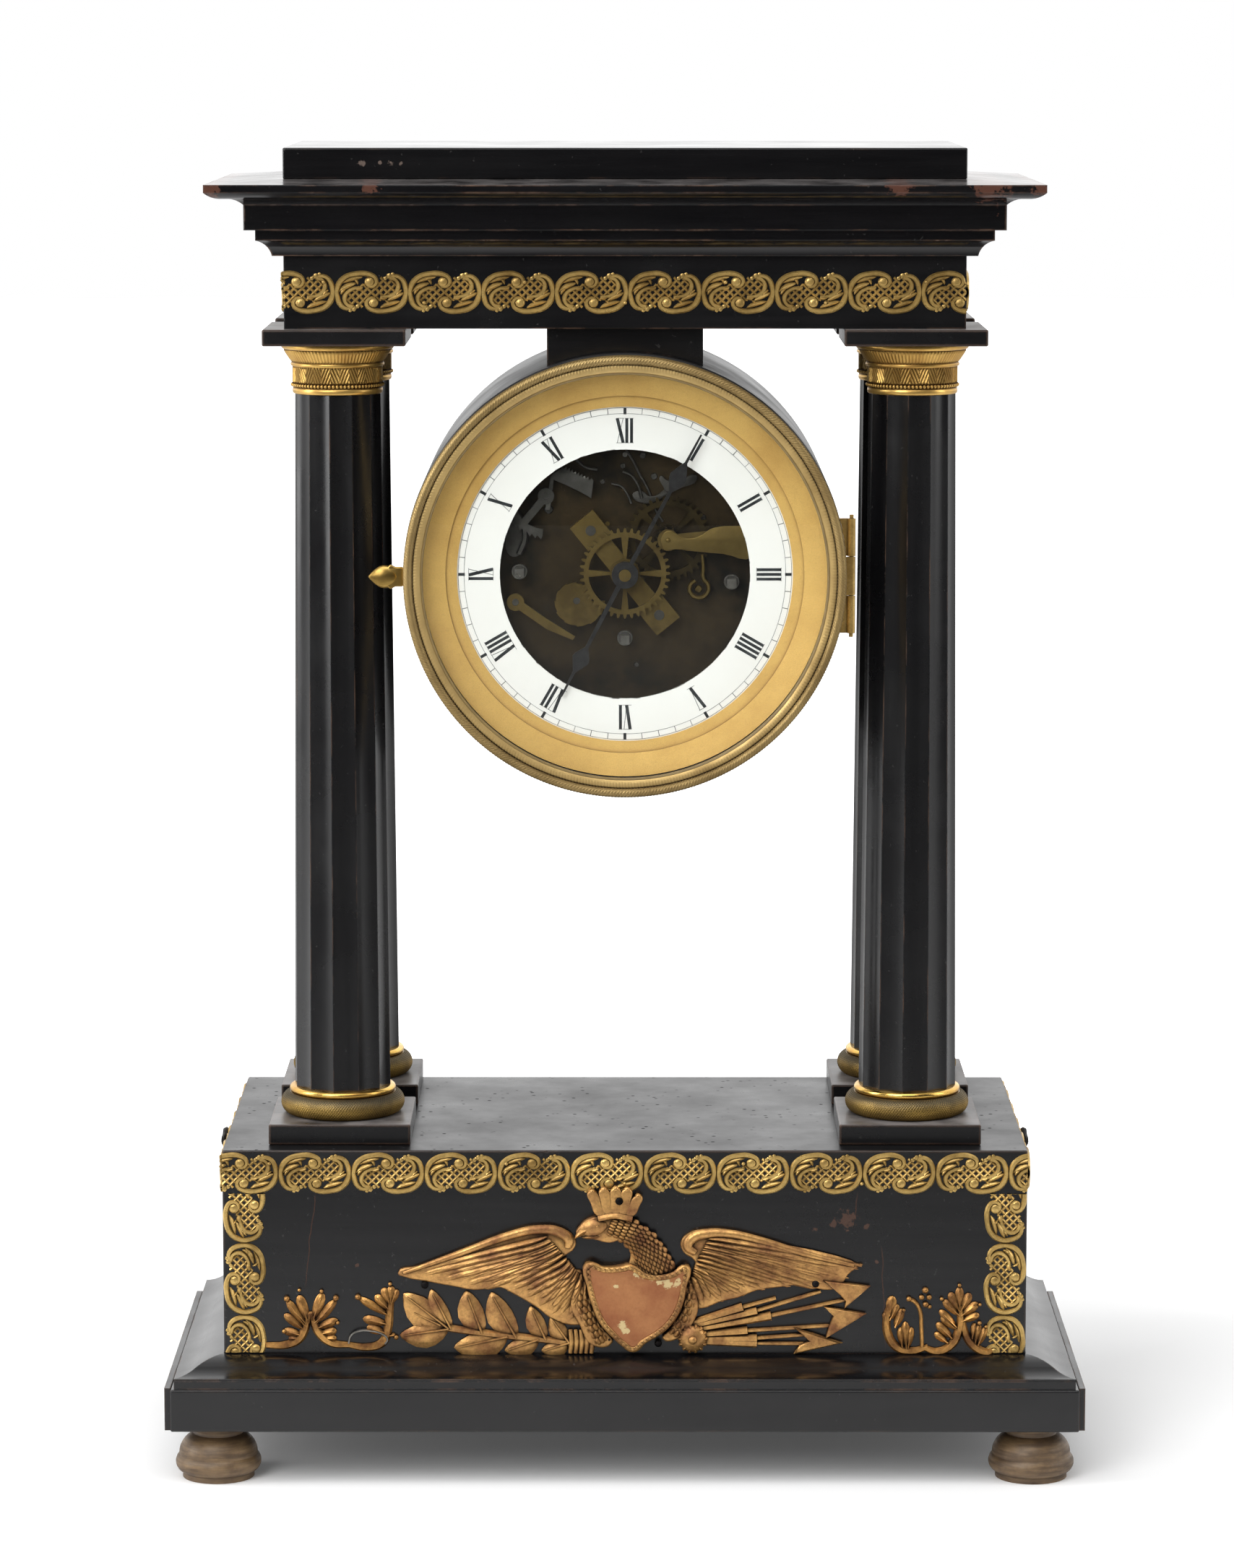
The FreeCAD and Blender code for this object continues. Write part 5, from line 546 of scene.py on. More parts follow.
# %% [markdown]
# ## Helpers for the metalwork
#
# Mounts of this kind were modelled flat on a slate and cast, or stamped from sheet. The helpers work the
# same way: each shape is drawn in millimetres as seen from the front, with its height as the third
# measure, and the finished drawing is stood up and set on the wood.

# %% Metalwork helpers
STAND_UP = Matrix.Rotation(math.radians(90.0), 4, "X") @ Matrix.Scale(MM, 4)
WELD = 0.000004


def settle(target, curve, place):
    """Turn a drawn curve into mesh and add it to the target."""
    holder = bpy.data.objects.new("drawn", curve)
    mesh = bpy.data.meshes.new_from_object(holder)
    mesh.transform(place)
    target.from_mesh(mesh)
    bpy.data.objects.remove(holder)
    bpy.data.meshes.remove(mesh)
    bpy.data.curves.remove(curve)


def draw_line(curve, points, closed, smooth=True, sizes=None):
    line = curve.splines.new("BEZIER")
    line.bezier_points.add(len(points) - 1)
    line.use_cyclic_u = closed
    for number, (knot, place) in enumerate(zip(line.bezier_points, points)):
        knot.co = (place[0], place[1], place[2] if len(place) > 2 else 0.0)
        knot.handle_left_type = knot.handle_right_type = "AUTO" if smooth else "VECTOR"
        knot.radius = sizes[number] if sizes else 1.0


def bent_rod(target, points, radius, lift=0.0, sizes=None, closed=False, steps=4, sides=1, flat=1.0):
    """A rod bent through the points; flat squeezes it against the wood."""
    curve = bpy.data.curves.new("rod", "CURVE")
    curve.dimensions = "3D"
    curve.resolution_u = steps
    curve.bevel_depth = radius
    curve.bevel_resolution = sides
    curve.use_fill_caps = True
    draw_line(curve, points, closed, sizes=sizes)
    settle(target, curve, Matrix.Translation((0, 0, lift)) @ Matrix.Diagonal((1, 1, flat, 1)))


def slab(target, outline, thickness, edge, lift=0.0, smooth=True, steps=4, rounds=2):
    """A flat casting with a rounded edge, cut to a closed outline."""
    curve = bpy.data.curves.new("slab", "CURVE")
    curve.dimensions = "2D"
    curve.fill_mode = "BOTH"
    curve.extrude = thickness / 2 - edge
    curve.bevel_depth = edge
    curve.bevel_resolution = rounds
    curve.offset = -edge
    curve.resolution_u = steps
    draw_line(curve, outline, True, smooth)
    settle(target, curve, Matrix.Translation((0, 0, lift + thickness / 2)))


def leaf(target, base, tip, width, height, lift=0.0, point=0.55, rib=0.25, bow=0.0, turns=8, rows=6):
    """A leaf or feather from base to tip, round on top with a crease along its middle."""
    made = bmesh.ops.create_uvsphere(target, u_segments=turns, v_segments=rows, radius=1.0)["verts"]
    start = Vector(base[:2])
    along = Vector(tip[:2]) - start
    side = Vector((-along.y, along.x)).normalized()
    for vert in made:
        across, up, run = vert.co
        share = (run + 1.0) / 2.0
        swell = 0.75 + 0.5 * share - point * share * share * share
        crease = rib * max(0.0, 1.0 - abs(across) * 3.0) * (1.0 - run * run)
        place = start + along * share + side * (across * swell * width / 2 + bow * (1.0 - run * run))
        vert.co = (place.x, place.y, lift + (max(up, -0.2) + crease) * height)


def bead(target, place, radius, lift=0.0, flat=1.0, fine=1):
    up = place[2] if len(place) > 2 else lift
    bmesh.ops.create_icosphere(
        target, subdivisions=fine, radius=radius,
        matrix=Matrix.Translation((place[0], place[1], up)) @ Matrix.Diagonal((1, 1, flat, 1)))


def finish_piece(name, shape, finish, place=None, body="case", replaces=(), crease=45.0):
    """Place a shape, clean it and make it a piece that moves with its body."""
    if place:
        bmesh.ops.transform(shape, matrix=place, verts=shape.verts)
    bmesh.ops.remove_doubles(shape, verts=shape.verts, dist=WELD)
    bmesh.ops.recalc_face_normals(shape, faces=shape.faces)
    mesh = bpy.data.meshes.new(name)
    shape.to_mesh(mesh)
    shape.free()
    mesh.materials.append(finish)
    mesh.shade_smooth()
    mesh.set_sharp_from_angle(angle=math.radians(crease))
    piece = bpy.data.objects.new(name, mesh)
    bpy.context.scene.collection.objects.link(piece)
    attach(piece, body)
    if replaces:
        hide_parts(*replaces)
    print(name, len(mesh.polygons), "faces")
    return piece


def between(first, second, share):
    return Vector(first).lerp(Vector(second), share)


def on_line(points, share):
    """The place at a share of the way along a line of points."""
    steps = [(Vector(b) - Vector(a)).length for a, b in zip(points, points[1:])]
    left = share * sum(steps)
    for first, second, step in zip(points, points[1:], steps):
        if left <= step:
            return between(first, second, left / step)
        left -= step
    return Vector(points[-1])


print("metalwork helpers ready")

# %% [markdown]
# ## Pierced gilt strips
#
# The strips were rolled from thin brass with one repeating link: an S of two scrolls round a small
# lattice. The link looks the same upside down, so half of it is drawn and turned. It is then repeated
# along each edge and cut off where the strip ends, as the maker did with snips.

# %% Strip link
OUTER_SCROLL = [(-6.2, -5.9), (-10.7, -5.9), (-13.3, -2.0), (-13.3, 1.6), (-10.9, 5.3), (-5.9, 7.1),
                (-0.7, 6.9), (1.8, 4.9), (1.1, 2.6), (-1.1, 2.6), (-1.9, 4.2), (-0.5, 5.0)]
INNER_SCROLL = [(-3.5, 1.8), (-8.1, 1.0), (-10.4, -1.7), (-9.7, -4.6), (-7.2, -5.7)]
LATTICE_AXIS, LATTICE_REACH, LATTICE_STEP = Vector((5.8, 2.3)), 4.1, 2.2


def lattice_bar(target, lean, offset):
    """One bar of the lattice, as long as the space that the scrolls leave for it."""
    along = Vector((1.0, lean)).normalized()
    start = Vector((-along.y, along.x)) * offset
    inside = []
    for step in range(-60, 61):
        spot = start + along * (0.2 * step)
        share = max(-1.0, min(1.0, spot.dot(LATTICE_AXIS) / LATTICE_AXIS.length_squared))
        if (spot - LATTICE_AXIS * share).length < LATTICE_REACH:
            inside.append(spot)
    if len(inside) > 4:
        bent_rod(target, [inside[0], inside[-1]], 0.52, 0.15, steps=1, sides=0)


def strip_link():
    shape = bmesh.new()
    for turn in (1.0, -1.0):
        outer = [(turn * x, turn * y) for x, y in OUTER_SCROLL]
        bent_rod(shape, outer, 1.1, 0.25, [0.7, 0.9, 1.0, 1.05, 1.05, 1, 0.95, 0.85, 0.75, 0.7, 0.7,
                                           0.9], flat=0.85)
        inner = [(turn * x, turn * y) for x, y in INNER_SCROLL]
        bent_rod(shape, inner, 0.9, 0.25, [0.7, 1.0, 1.1, 1.0, 1.1], flat=0.9)
        for x0, y0, x1, y1, wide in ((-12.9, 0.2, -5.8, 3.7, 2.5), (-11.4, 3.6, -3.2, 6.1, 2.2),
                                     (-7.2, 5.6, -5.2, 2.9, 1.4),
                                     (-3.2, 2.2, -6.6, 1.4, 1.9), (-11.9, -1.0, -9.6, 1.8, 1.8)):
            leaf(shape, (turn * x0, turn * y0), (turn * x1, turn * y1), wide, 0.9, 0.15, 0.5, 0.3, turn * 0.5)
        bead(shape, (turn * -0.7, turn * 4.1), 2.0, 0.3, 0.45, 2)
        for x, y, size in ((-6.9, -6.5, 1.05), (-5.4, -5.4, 0.9), (-8.3, -7.0, 0.85), (-0.3, 4.5, 1.3)):
            bead(shape, (turn * x, turn * y), size, 0.3, 0.8)
    for lean in (1.0, -1.0):
        for number in range(-4, 5):
            lattice_bar(shape, lean, number * LATTICE_STEP)
    mesh = bpy.data.meshes.new("strip_link")
    shape.to_mesh(mesh)
    shape.free()
    return mesh


link = strip_link()
print("strip link", len(link.polygons), "faces")

# %% Strip rows
def strip_row(target, start, stop, first, pitch, place):
    """Links from start to stop, one boundary lying at first, cut off at both ends and set in place."""
    row = bmesh.new()
    count = math.ceil((start - first) / pitch) - 1
    while first + pitch * count < stop:
        one = link.copy()
        one.transform(Matrix.Translation((first + pitch * (count + 0.5), 0, 0)))
        row.from_mesh(one)
        bpy.data.meshes.remove(one)
        count += 1
    for end, away in ((start, -1.0), (stop, 1.0)):
        every = row.verts[:] + row.edges[:] + row.faces[:]
        cut = bmesh.ops.bisect_plane(row, geom=every, plane_co=(end, 0, 0), plane_no=(away, 0, 0),
                                     clear_outer=True)
        rims = [e for e in cut["geom_cut"] if isinstance(e, bmesh.types.BMEdge)]
        bmesh.ops.holes_fill(row, edges=rims, sides=12)
    bmesh.ops.transform(row, matrix=place, verts=row.verts)
    mesh = bpy.data.meshes.new("strip_row")
    row.to_mesh(mesh)
    row.free()
    target.from_mesh(mesh)
    bpy.data.meshes.remove(mesh)


def facing(turn, x, y, z, roll=0.0):
    """Where a drawing goes: turned about the upright to its face, and rolled in its own plane."""
    return (Matrix.Translation((x * MM, y * MM, z * MM)) @ Matrix.Rotation(math.radians(turn), 4, "Z")
            @ STAND_UP @ Matrix.Rotation(math.radians(roll), 4, "Z"))


STRIP_THICK, SIDE_PITCH, UPRIGHT_PITCH = 1.1, 28.5, 29.15


def strip_band(name, node, lift, first, pitch, uprights=()):
    band = bmesh.new()
    low, high = (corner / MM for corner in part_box(node))
    wide = high.x - STRIP_THICK
    front = low.y + STRIP_THICK
    middle = (front + high.y) / 2
    deep = high.y - middle
    strip_row(band, -wide, wide, first, pitch, facing(0, 0, front, lift))
    strip_row(band, -deep, deep, -deep, SIDE_PITCH, facing(-90, -wide, middle, lift))
    strip_row(band, -deep, deep, -deep, SIDE_PITCH, facing(90, wide, middle, lift))
    for x, bottom, top, boundary in uprights:
        strip_row(band, -top, -bottom, -boundary, UPRIGHT_PITCH, facing(0, x, front, 0, -90))
    for number in range(-3, 4):
        bead(band, (number * wide / 3.4 * MM, (low.y + 0.35) * MM,
                    (lift - 4.0 + 8.0 * (number % 2)) * MM), 0.9 * MM)
    return finish_piece(name, band, gilt_strip, replaces=[node])


strip_band("base_strip_links", "base_pierced_strips", 121.85, -136.8, 28.83,
           [(-150.45, 49.4, 113.6, 93.8), (150.45, 49.4, 113.6, 93.8)])
strip_band("frieze_strip_links", "frieze_pierced_strips", 467.85, -112.8, 28.5)
bpy.data.meshes.remove(link)

# %% [markdown]
# ## Eagle
#
# The mount on the base is a cast eagle with spread wings behind a blank shield, with a small crown, a
# laurel spray and a sheaf of arrows. The flat masses come first, as the modeller pads the clay. Feathers
# are then laid in rows like roof tiles, each row over the tips of the next.

# %% Eagle masses
EAGLE_LEFT, EAGLE_LOW, EAGLE_WIDE, EAGLE_HIGH = -89.8, 49.3, 187.0, 67.8
BOX_FRONT = -64.0
ON_BOX = facing(0, 0, BOX_FRONT, 0)


def fit(place):
    """A place in millimetres from its shares of the mount's width and height."""
    return Vector((EAGLE_LEFT + place[0] * EAGLE_WIDE, EAGLE_LOW + place[1] * EAGLE_HIGH))


def fits(places):
    return [fit(place) for place in places]


LEFT_WING = [
    (0.0, 0.479), (0.045, 0.524), (0.129, 0.613), (0.19, 0.681), (0.25, 0.739), (0.298, 0.765),
    (0.346, 0.748),
    (0.373, 0.697), (0.376, 0.639), (0.347, 0.551), (0.355, 0.508), (0.394, 0.487), (0.403, 0.353),
    (0.427, 0.202),
    (0.388, 0.168), (0.334, 0.193), (0.292, 0.277), (0.244, 0.356), (0.217, 0.392), (0.165, 0.378),
    (0.111, 0.403), (0.051, 0.434), (0.015, 0.454)]
RIGHT_WING = [
    (0.984, 0.531), (0.978, 0.534), (0.928, 0.566), (0.862, 0.613), (0.801, 0.664), (0.741, 0.714),
    (0.699, 0.739), (0.651, 0.743),
    (0.615, 0.719), (0.598, 0.664), (0.604, 0.605), (0.628, 0.551), (0.628, 0.504), (0.606, 0.454),
    (0.606, 0.37),
    (0.618, 0.277), (0.645, 0.269), (0.681, 0.306), (0.723, 0.336), (0.759, 0.375), (0.807, 0.395),
    (0.856, 0.407), (0.892, 0.383), (0.926, 0.386), (0.942, 0.42), (0.953, 0.471), (0.978, 0.52)]
NECK = [
    (0.378, 0.715), (0.386, 0.768), (0.406, 0.812), (0.442, 0.832), (0.484, 0.815), (0.514, 0.748),
    (0.545, 0.672),
    (0.566, 0.588), (0.587, 0.513), (0.551, 0.471), (0.49, 0.487), (0.492, 0.605), (0.477, 0.677),
    (0.448, 0.666), (0.421, 0.681), (0.4, 0.7)]
SHIELD = [
    (0.397, 0.546), (0.43, 0.524), (0.472, 0.534), (0.49, 0.546), (0.526, 0.494), (0.563, 0.477),
    (0.593, 0.496),
    (0.615, 0.533), (0.612, 0.42), (0.602, 0.286), (0.579, 0.176), (0.551, 0.109), (0.52, 0.059),
    (0.498, 0.012), (0.478, 0.042), (0.451, 0.109), (0.427, 0.185), (0.409, 0.303), (0.399, 0.42)]
THIGHS = [
    [(0.395, 0.45), (0.41, 0.3), (0.44, 0.15), (0.455, 0.07), (0.41, 0.05), (0.385, 0.17), (0.365, 0.3)],
    [(0.61, 0.45), (0.605, 0.3), (0.575, 0.15), (0.56, 0.09), (0.6, 0.1), (0.628, 0.2), (0.635, 0.32)]]

eagle = bmesh.new()
for outline, thick in ((LEFT_WING, 2.0), (RIGHT_WING, 2.0), (NECK, 3.6), (SHIELD, 4.1)):
    slab(eagle, fits(outline), thick, 0.9)
for outline in THIGHS:
    slab(eagle, fits(outline), 3.0, 0.9)
print("eagle masses", len(eagle.faces), "faces")

# %% Eagle feathers
LEFT_TIPS = [(0.006, 0.476), (0.05, 0.437), (0.11, 0.406), (0.165, 0.381), (0.217, 0.393), (0.244, 0.357),
             (0.292, 0.279), (0.334, 0.197), (0.388, 0.172)]
RIGHT_TIPS = [(0.985, 0.53), (0.962, 0.47), (0.935, 0.392), (0.892, 0.383), (0.856, 0.405), (0.807, 0.393),
              (0.759, 0.373), (0.723, 0.334), (0.681, 0.304), (0.645, 0.27), (0.62, 0.278)]


def wing_feathers(target, roots, tips):
    """Five rows of feathers, the longest at the back, each tip lifted clear of the row behind it."""
    for count, reach, lift, width in ((19, 1.0, 1.3, 4.2), (17, 0.82, 1.75, 3.8), (15, 0.63, 2.15, 3.4),
                                      (13, 0.46, 2.5, 3.0), (11, 0.3, 2.8, 2.6)):
        for number in range(count):
            share = number / (count - 1)
            root = fit(on_line(roots, share))
            tip = root.lerp(fit(on_line(tips, share)), reach * (1.0 if number % 2 else 0.955))
            leaf(target, root, tip, width, 1.05, lift + 0.16 * (number % 2), 0.3, 0.4, 0.6, 8, 8)


wing_feathers(eagle, [(0.318, 0.705), (0.35, 0.6), (0.395, 0.44)], LEFT_TIPS)
wing_feathers(eagle, [(0.655, 0.69), (0.635, 0.58), (0.615, 0.44)], RIGHT_TIPS)
LEFT_ARM = [(0.012, 0.482), (0.129, 0.597), (0.25, 0.718), (0.298, 0.742), (0.342, 0.727), (0.362, 0.68),
            (0.36, 0.635)]
RIGHT_ARM = [(0.965, 0.527), (0.862, 0.597), (0.741, 0.695), (0.699, 0.716), (0.654, 0.718), (0.622, 0.69),
             (0.614, 0.64), (0.63, 0.605)]
for arm, sizes in ((LEFT_ARM, (0.4, 0.8, 1.0, 1.1, 1.2, 1.2, 0.8)),
                   (RIGHT_ARM, (0.4, 0.8, 1.0, 1.1, 1.2, 1.3, 1.2, 0.7))):
    bent_rod(eagle, fits(arm), 1.7, 2.1, sizes, sides=2, flat=0.8)


def scales(target, path, width, rows, columns, lift, size):
    """Rows of small scales across a path, pointing along it."""
    for row in range(rows):
        share = row / (rows - 1)
        here = fit(on_line(path, share))
        ahead = fit(on_line(path, min(1.0, share + 0.06)))
        behind = fit(on_line(path, max(0.0, share - 0.06)))
        along = (ahead - behind).normalized()
        side = Vector((-along.y, along.x))
        spread_out = width[0] + (width[1] - width[0]) * share
        for column in range(columns):
            off = ((column + 0.5 * (row % 2)) / (columns - 0.5) - 0.5) * spread_out
            root = here + side * off
            rise = lift - 0.7 * (2.0 * off / spread_out) ** 2
            leaf(target, root, root + along * size, size * 0.78, 0.8, rise, 0.2, 0.5)


scales(eagle, [(0.448, 0.78), (0.488, 0.735), (0.518, 0.665), (0.535, 0.58), (0.545, 0.51)], (8.0, 14.0),
       17, 7, 3.7, 3.1)
scales(eagle, [(0.385, 0.48), (0.388, 0.35), (0.405, 0.22), (0.425, 0.11)], (9.0, 5.0), 11, 4, 2.8, 3.6)
scales(eagle, [(0.618, 0.46), (0.618, 0.34), (0.607, 0.23), (0.592, 0.15)], (4.5, 5.0), 8, 3, 2.8, 3.4)
leaf(eagle, fit((0.445, 0.775)), fit((0.385, 0.738)), 7.4, 1.5, 3.4, 0.3, 0.1)
leaf(eagle, fit((0.412, 0.752)), fit((0.374, 0.69)), 3.4, 1.5, 3.2, 0.9, 0.2, -1.0)
leaf(eagle, fit((0.43, 0.705)), fit((0.388, 0.7)), 2.2, 1.0, 3.1, 0.6, 0.2)
bead(eagle, fit((0.423, 0.765)), 0.9, 4.6, 0.7)
print("eagle feathered", len(eagle.faces), "faces")

# %% Crown
bent_rod(eagle, fits(((0.424, 0.815), (0.46, 0.832), (0.496, 0.812))), 1.5, 3.8, sides=2)
for root, tip in (((0.43, 0.83), (0.411, 0.972)), ((0.445, 0.84), (0.436, 0.985)),
                  ((0.461, 0.843), (0.461, 0.99)),
                  ((0.477, 0.84), (0.485, 0.985)), ((0.491, 0.83), (0.508, 0.945))):
    middle = between(fit(root), fit(tip), 0.5)
    profile = ((fit(root), 1.5), (middle, 2.2), (fit(tip), 1.6))
    left = [spot - Vector((half, 0)) for spot, half in profile]
    right = [spot + Vector((half, 0)) for spot, half in profile]
    slab(eagle, left + right[::-1], 3.4, 0.7, 1.3)
    bead(eagle, fit(tip), 1.5, 3.6)
print("crowned", len(eagle.faces), "faces")

# %% Laurel
LAUREL_LEAVES = [
    ((0.107, 0.15), (0.012, 0.356), 0.42), ((0.107, 0.148), (0.003, 0.104), 0.4),
    ((0.112, 0.148), (0.07, 0.38), 0.34),
    ((0.178, 0.12), (0.144, 0.373), 0.44), ((0.25, 0.095), (0.197, 0.363), 0.4),
    ((0.313, 0.08), (0.281, 0.282), 0.4),
    ((0.362, 0.066), (0.323, 0.218), 0.44), ((0.232, 0.102), (0.118, 0.032), 0.42),
    ((0.298, 0.085), (0.225, 0.014), 0.44),
    ((0.364, 0.067), (0.303, 0.012), 0.46), ((0.09, 0.17), (0.03, 0.25), 0.44)]
for root, tip, width in LAUREL_LEAVES:
    start, end = fit(root), fit(tip)
    length = (end - start).length
    leaf(eagle, start, end, 1.5 * width * length, 1.5, 0.7, 0.8, 0.2, 0.08 * length, 10, 8)
    bent_rod(eagle, [start, between(start, end, 0.5), between(start, end, 0.92)], 0.4, 2.3, (1.2, 1.0, 0.5),
             steps=2)
for stem in (((0.1, 0.152), (0.16, 0.128), (0.23, 0.104), (0.3, 0.084), (0.37, 0.065), (0.42, 0.085)),
             ((0.36, 0.06), (0.42, 0.1), (0.46, 0.13))):
    bent_rod(eagle, fits(stem), 1.5, 1.0)
for offset in range(5):
    x, y = fit((0.365 + 0.011 * offset, 0.07))
    bent_rod(eagle, [(x, y - 4.6), (x + 0.4, y), (x, y + 5.0)], 1.25, 1.6, (0.7, 1.1, 0.7), sides=2)
print("laurel laid", len(eagle.faces), "faces")

# %% Arrows
SHAFTS = [((0.575, 0.14), (0.73, 0.275), (0.80, 0.33)), ((0.575, 0.13), (0.76, 0.255), (0.895, 0.37)),
          ((0.58, 0.115), (0.79, 0.225), (0.946, 0.319)), ((0.59, 0.1), (0.74, 0.135), (0.913, 0.165)),
          ((0.6, 0.085), (0.76, 0.09), (0.88, 0.115)), ((0.61, 0.07), (0.76, 0.06), (0.859, 0.057))]
for root, knee, tip in SHAFTS:
    inner, joint, end = fit(root), fit(knee), fit(tip)
    bent_rod(eagle, [inner, joint], 1.7, 1.2, (0.6, 1.1), steps=1, flat=0.8)
    bent_rod(eagle, [joint, end], 0.85, 1.2, (1.0, 0.9), steps=1)
HEADS = [((0.935, 0.355), (0.9, 0.44), (1.0, 0.405), (0.945, 0.27), (0.948, 0.315)),
         ((0.922, 0.225), (0.9, 0.285), (0.992, 0.24), (0.905, 0.09), (0.912, 0.16)),
         ((0.872, 0.075), (0.838, 0.16), (0.942, 0.065), (0.838, -0.002), (0.85, 0.052))]
for corners in HEADS:
    slab(eagle, fits(corners), 2.6, 0.7, 0.3, smooth=False, rounds=1)
ROSETTE, PETALS = fit((0.624, 0.092)), 14
bead(eagle, ROSETTE, 5.6, 1.8, 0.62, 3)
for petal in range(PETALS):
    angle = math.tau * petal / PETALS
    arm = Vector((math.cos(angle), math.sin(angle)))
    leaf(eagle, ROSETTE + arm * 1.6, ROSETTE + arm * 6.2, 2.3, 1.6, 2.2, 0.2, 0.2, 0.0, 6, 5)
bead(eagle, ROSETTE, 1.8, 5.0, 0.8, 2)
print("arrows laid", len(eagle.faces), "faces in all")

# %% Shield border
border = fits(SHIELD)
centre = sum(border, Vector((0, 0))) / len(border)
rim = [place + (centre - place).normalized() * 1.5 for place in border]
bent_rod(eagle, rim, 1.3, 4.2, closed=True, sides=2, flat=0.9)
ring = rim + rim[:1]
PEARLS = 58
for number in range(PEARLS):
    bead(eagle, on_line(ring, number / PEARLS), 0.85, 5.25, 0.8)
finish_piece("cast_eagle", eagle, bronze, ON_BOX, replaces=["eagle_mount"])

shield_field = bmesh.new()
slab(shield_field, [p + (centre - p).normalized() * 2.4 for p in border], 1.2, 0.55, 3.8, rounds=3)
finish_piece("shield_field", shield_field, bronze_field, ON_BOX)

# %% [markdown]
# ## Acanthus leaves
#
# Either side of the eagle stand the remains of a pierced leaf border, cut up and reused. Each leaf curls
# out of a stem and ends in lobes, some tipped with a bead.

# %% Acanthus leaves
ENLARGED, MIDDLE, BOX_TOP, TOP_LINE, SHEET_TOP = 2.529, 865, 131, 1593, 1600
MM_WIDE, MM_HIGH = 0.286, 0.2915


def sheet_spot(sheet_left, x, y):
    """A place on the base's front, in millimetres, from its place on an enlarged drawing."""
    return Vector(((sheet_left + x / ENLARGED - MIDDLE) * MM_WIDE,
                   BOX_TOP - (SHEET_TOP + y / ENLARGED - TOP_LINE) * MM_HIGH))


def left_spot(x, y):
    return sheet_spot(280, x, y)


def right_spot(x, y):
    return sheet_spot(860, x, y)


def acanthus(target, spot, stem, lobes, beads, thick=1.3):
    sizes = [0.9 + 0.5 * math.sin(math.pi * k / (len(stem) - 1)) for k in range(len(stem))]
    bent_rod(target, [spot(*p) for p in stem], thick, 0.7, sizes, flat=0.9)
    for x0, y0, x1, y1, width in lobes:
        root, tip = spot(x0, y0), spot(x1, y1)
        leaf(target, root, tip, width * 0.135, 0.85, 0.7, 0.0, 0.5, 0.0, 8, 7)
        bent_rod(target, [root, between(root, tip, 0.8)], 0.28, 1.75, (1.2, 0.6), steps=1, sides=0)
    for x, y, size in beads:
        bead(target, spot(x, y), size * 0.1135, 1.2)


leaves = bmesh.new()
acanthus(leaves, left_spot,
         [(222, 665), (290, 664), (335, 645), (360, 605), (368, 570)],
         [(362, 600, 296, 505, 26), (368, 580, 338, 488, 30), (358, 610, 286, 555, 26),
          (350, 630, 284, 612, 26),
          (372, 585, 380, 545, 26), (345, 640, 300, 640, 20), (365, 590, 310, 530, 24)],
         [(296, 500, 12), (286, 615, 9), (340, 470, 7)])
acanthus(leaves, left_spot,
         [(512, 664), (455, 658), (415, 630), (392, 590), (385, 560)],
         [(395, 590, 468, 505, 26), (388, 575, 422, 480, 30), (398, 605, 474, 575, 26),
          (410, 625, 470, 612, 26),
          (385, 575, 376, 545, 26), (420, 640, 470, 640, 22), (392, 585, 448, 535, 26)],
         [(468, 498, 12), (474, 585, 8), (418, 474, 8)])
acanthus(leaves, left_spot,
         [(512, 664), (575, 672), (630, 655), (650, 600), (656, 545), (662, 500)],
         [(655, 560, 548, 497, 24), (655, 540, 606, 488, 28), (658, 520, 634, 462, 28),
          (660, 515, 662, 455, 26),
          (660, 520, 684, 468, 22), (648, 590, 562, 570, 28), (640, 620, 575, 600, 28),
          (655, 630, 676, 628, 14)],
         [(545, 494, 12), (678, 636, 10), (652, 622, 8), (658, 448, 8)])
acanthus(leaves, right_spot,
         [(1075, 670), (1020, 684), (965, 670), (935, 625), (930, 570), (940, 520)],
         [(940, 560, 950, 490, 30), (935, 590, 925, 545, 24), (960, 600, 985, 535, 26),
          (940, 575, 970, 520, 24),
          (1000, 675, 995, 580, 26), (1005, 675, 1018, 600, 22), (985, 670, 978, 600, 22),
          (935, 620, 925, 575, 22)],
         [(1008, 500, 11), (990, 540, 7)])
acanthus(leaves, right_spot,
         [(1060, 672), (1110, 686), (1160, 660), (1183, 615), (1190, 565), (1186, 525)],
         [(1186, 560, 1128, 505, 26), (1186, 545, 1150, 478, 28), (1186, 535, 1184, 458, 26),
          (1188, 545, 1222, 480, 28),
          (1190, 560, 1250, 515, 28), (1190, 580, 1255, 555, 24), (1175, 600, 1115, 540, 24),
          (1160, 640, 1105, 585, 26), (1145, 655, 1098, 620, 22), (1180, 610, 1120, 565, 24)],
         [(1184, 452, 8), (1256, 520, 7), (1122, 500, 8)])
acanthus(leaves, right_spot,
         [(1195, 570), (1205, 620), (1235, 665), (1285, 688), (1300, 680)],
         [(1240, 660, 1255, 590, 24), (1250, 665, 1278, 600, 24), (1230, 640, 1240, 585, 20)],
         [(1255, 585, 9), (1278, 598, 7)])
bent_rod(leaves, [right_spot(*p) for p in ((1055, 672), (1052, 600), (1046, 540), (1030, 512),
                                           (1008, 500))], 0.8, 1.0)
for x, y, size in ((1065, 470, 15), (1052, 495, 13), (1078, 495, 13), (1066, 520, 14), (1080, 528, 10)):
    bead(leaves, right_spot(x, y), size * 0.1, 1.0, 0.9)
print("acanthus leaves", len(leaves.faces), "faces")

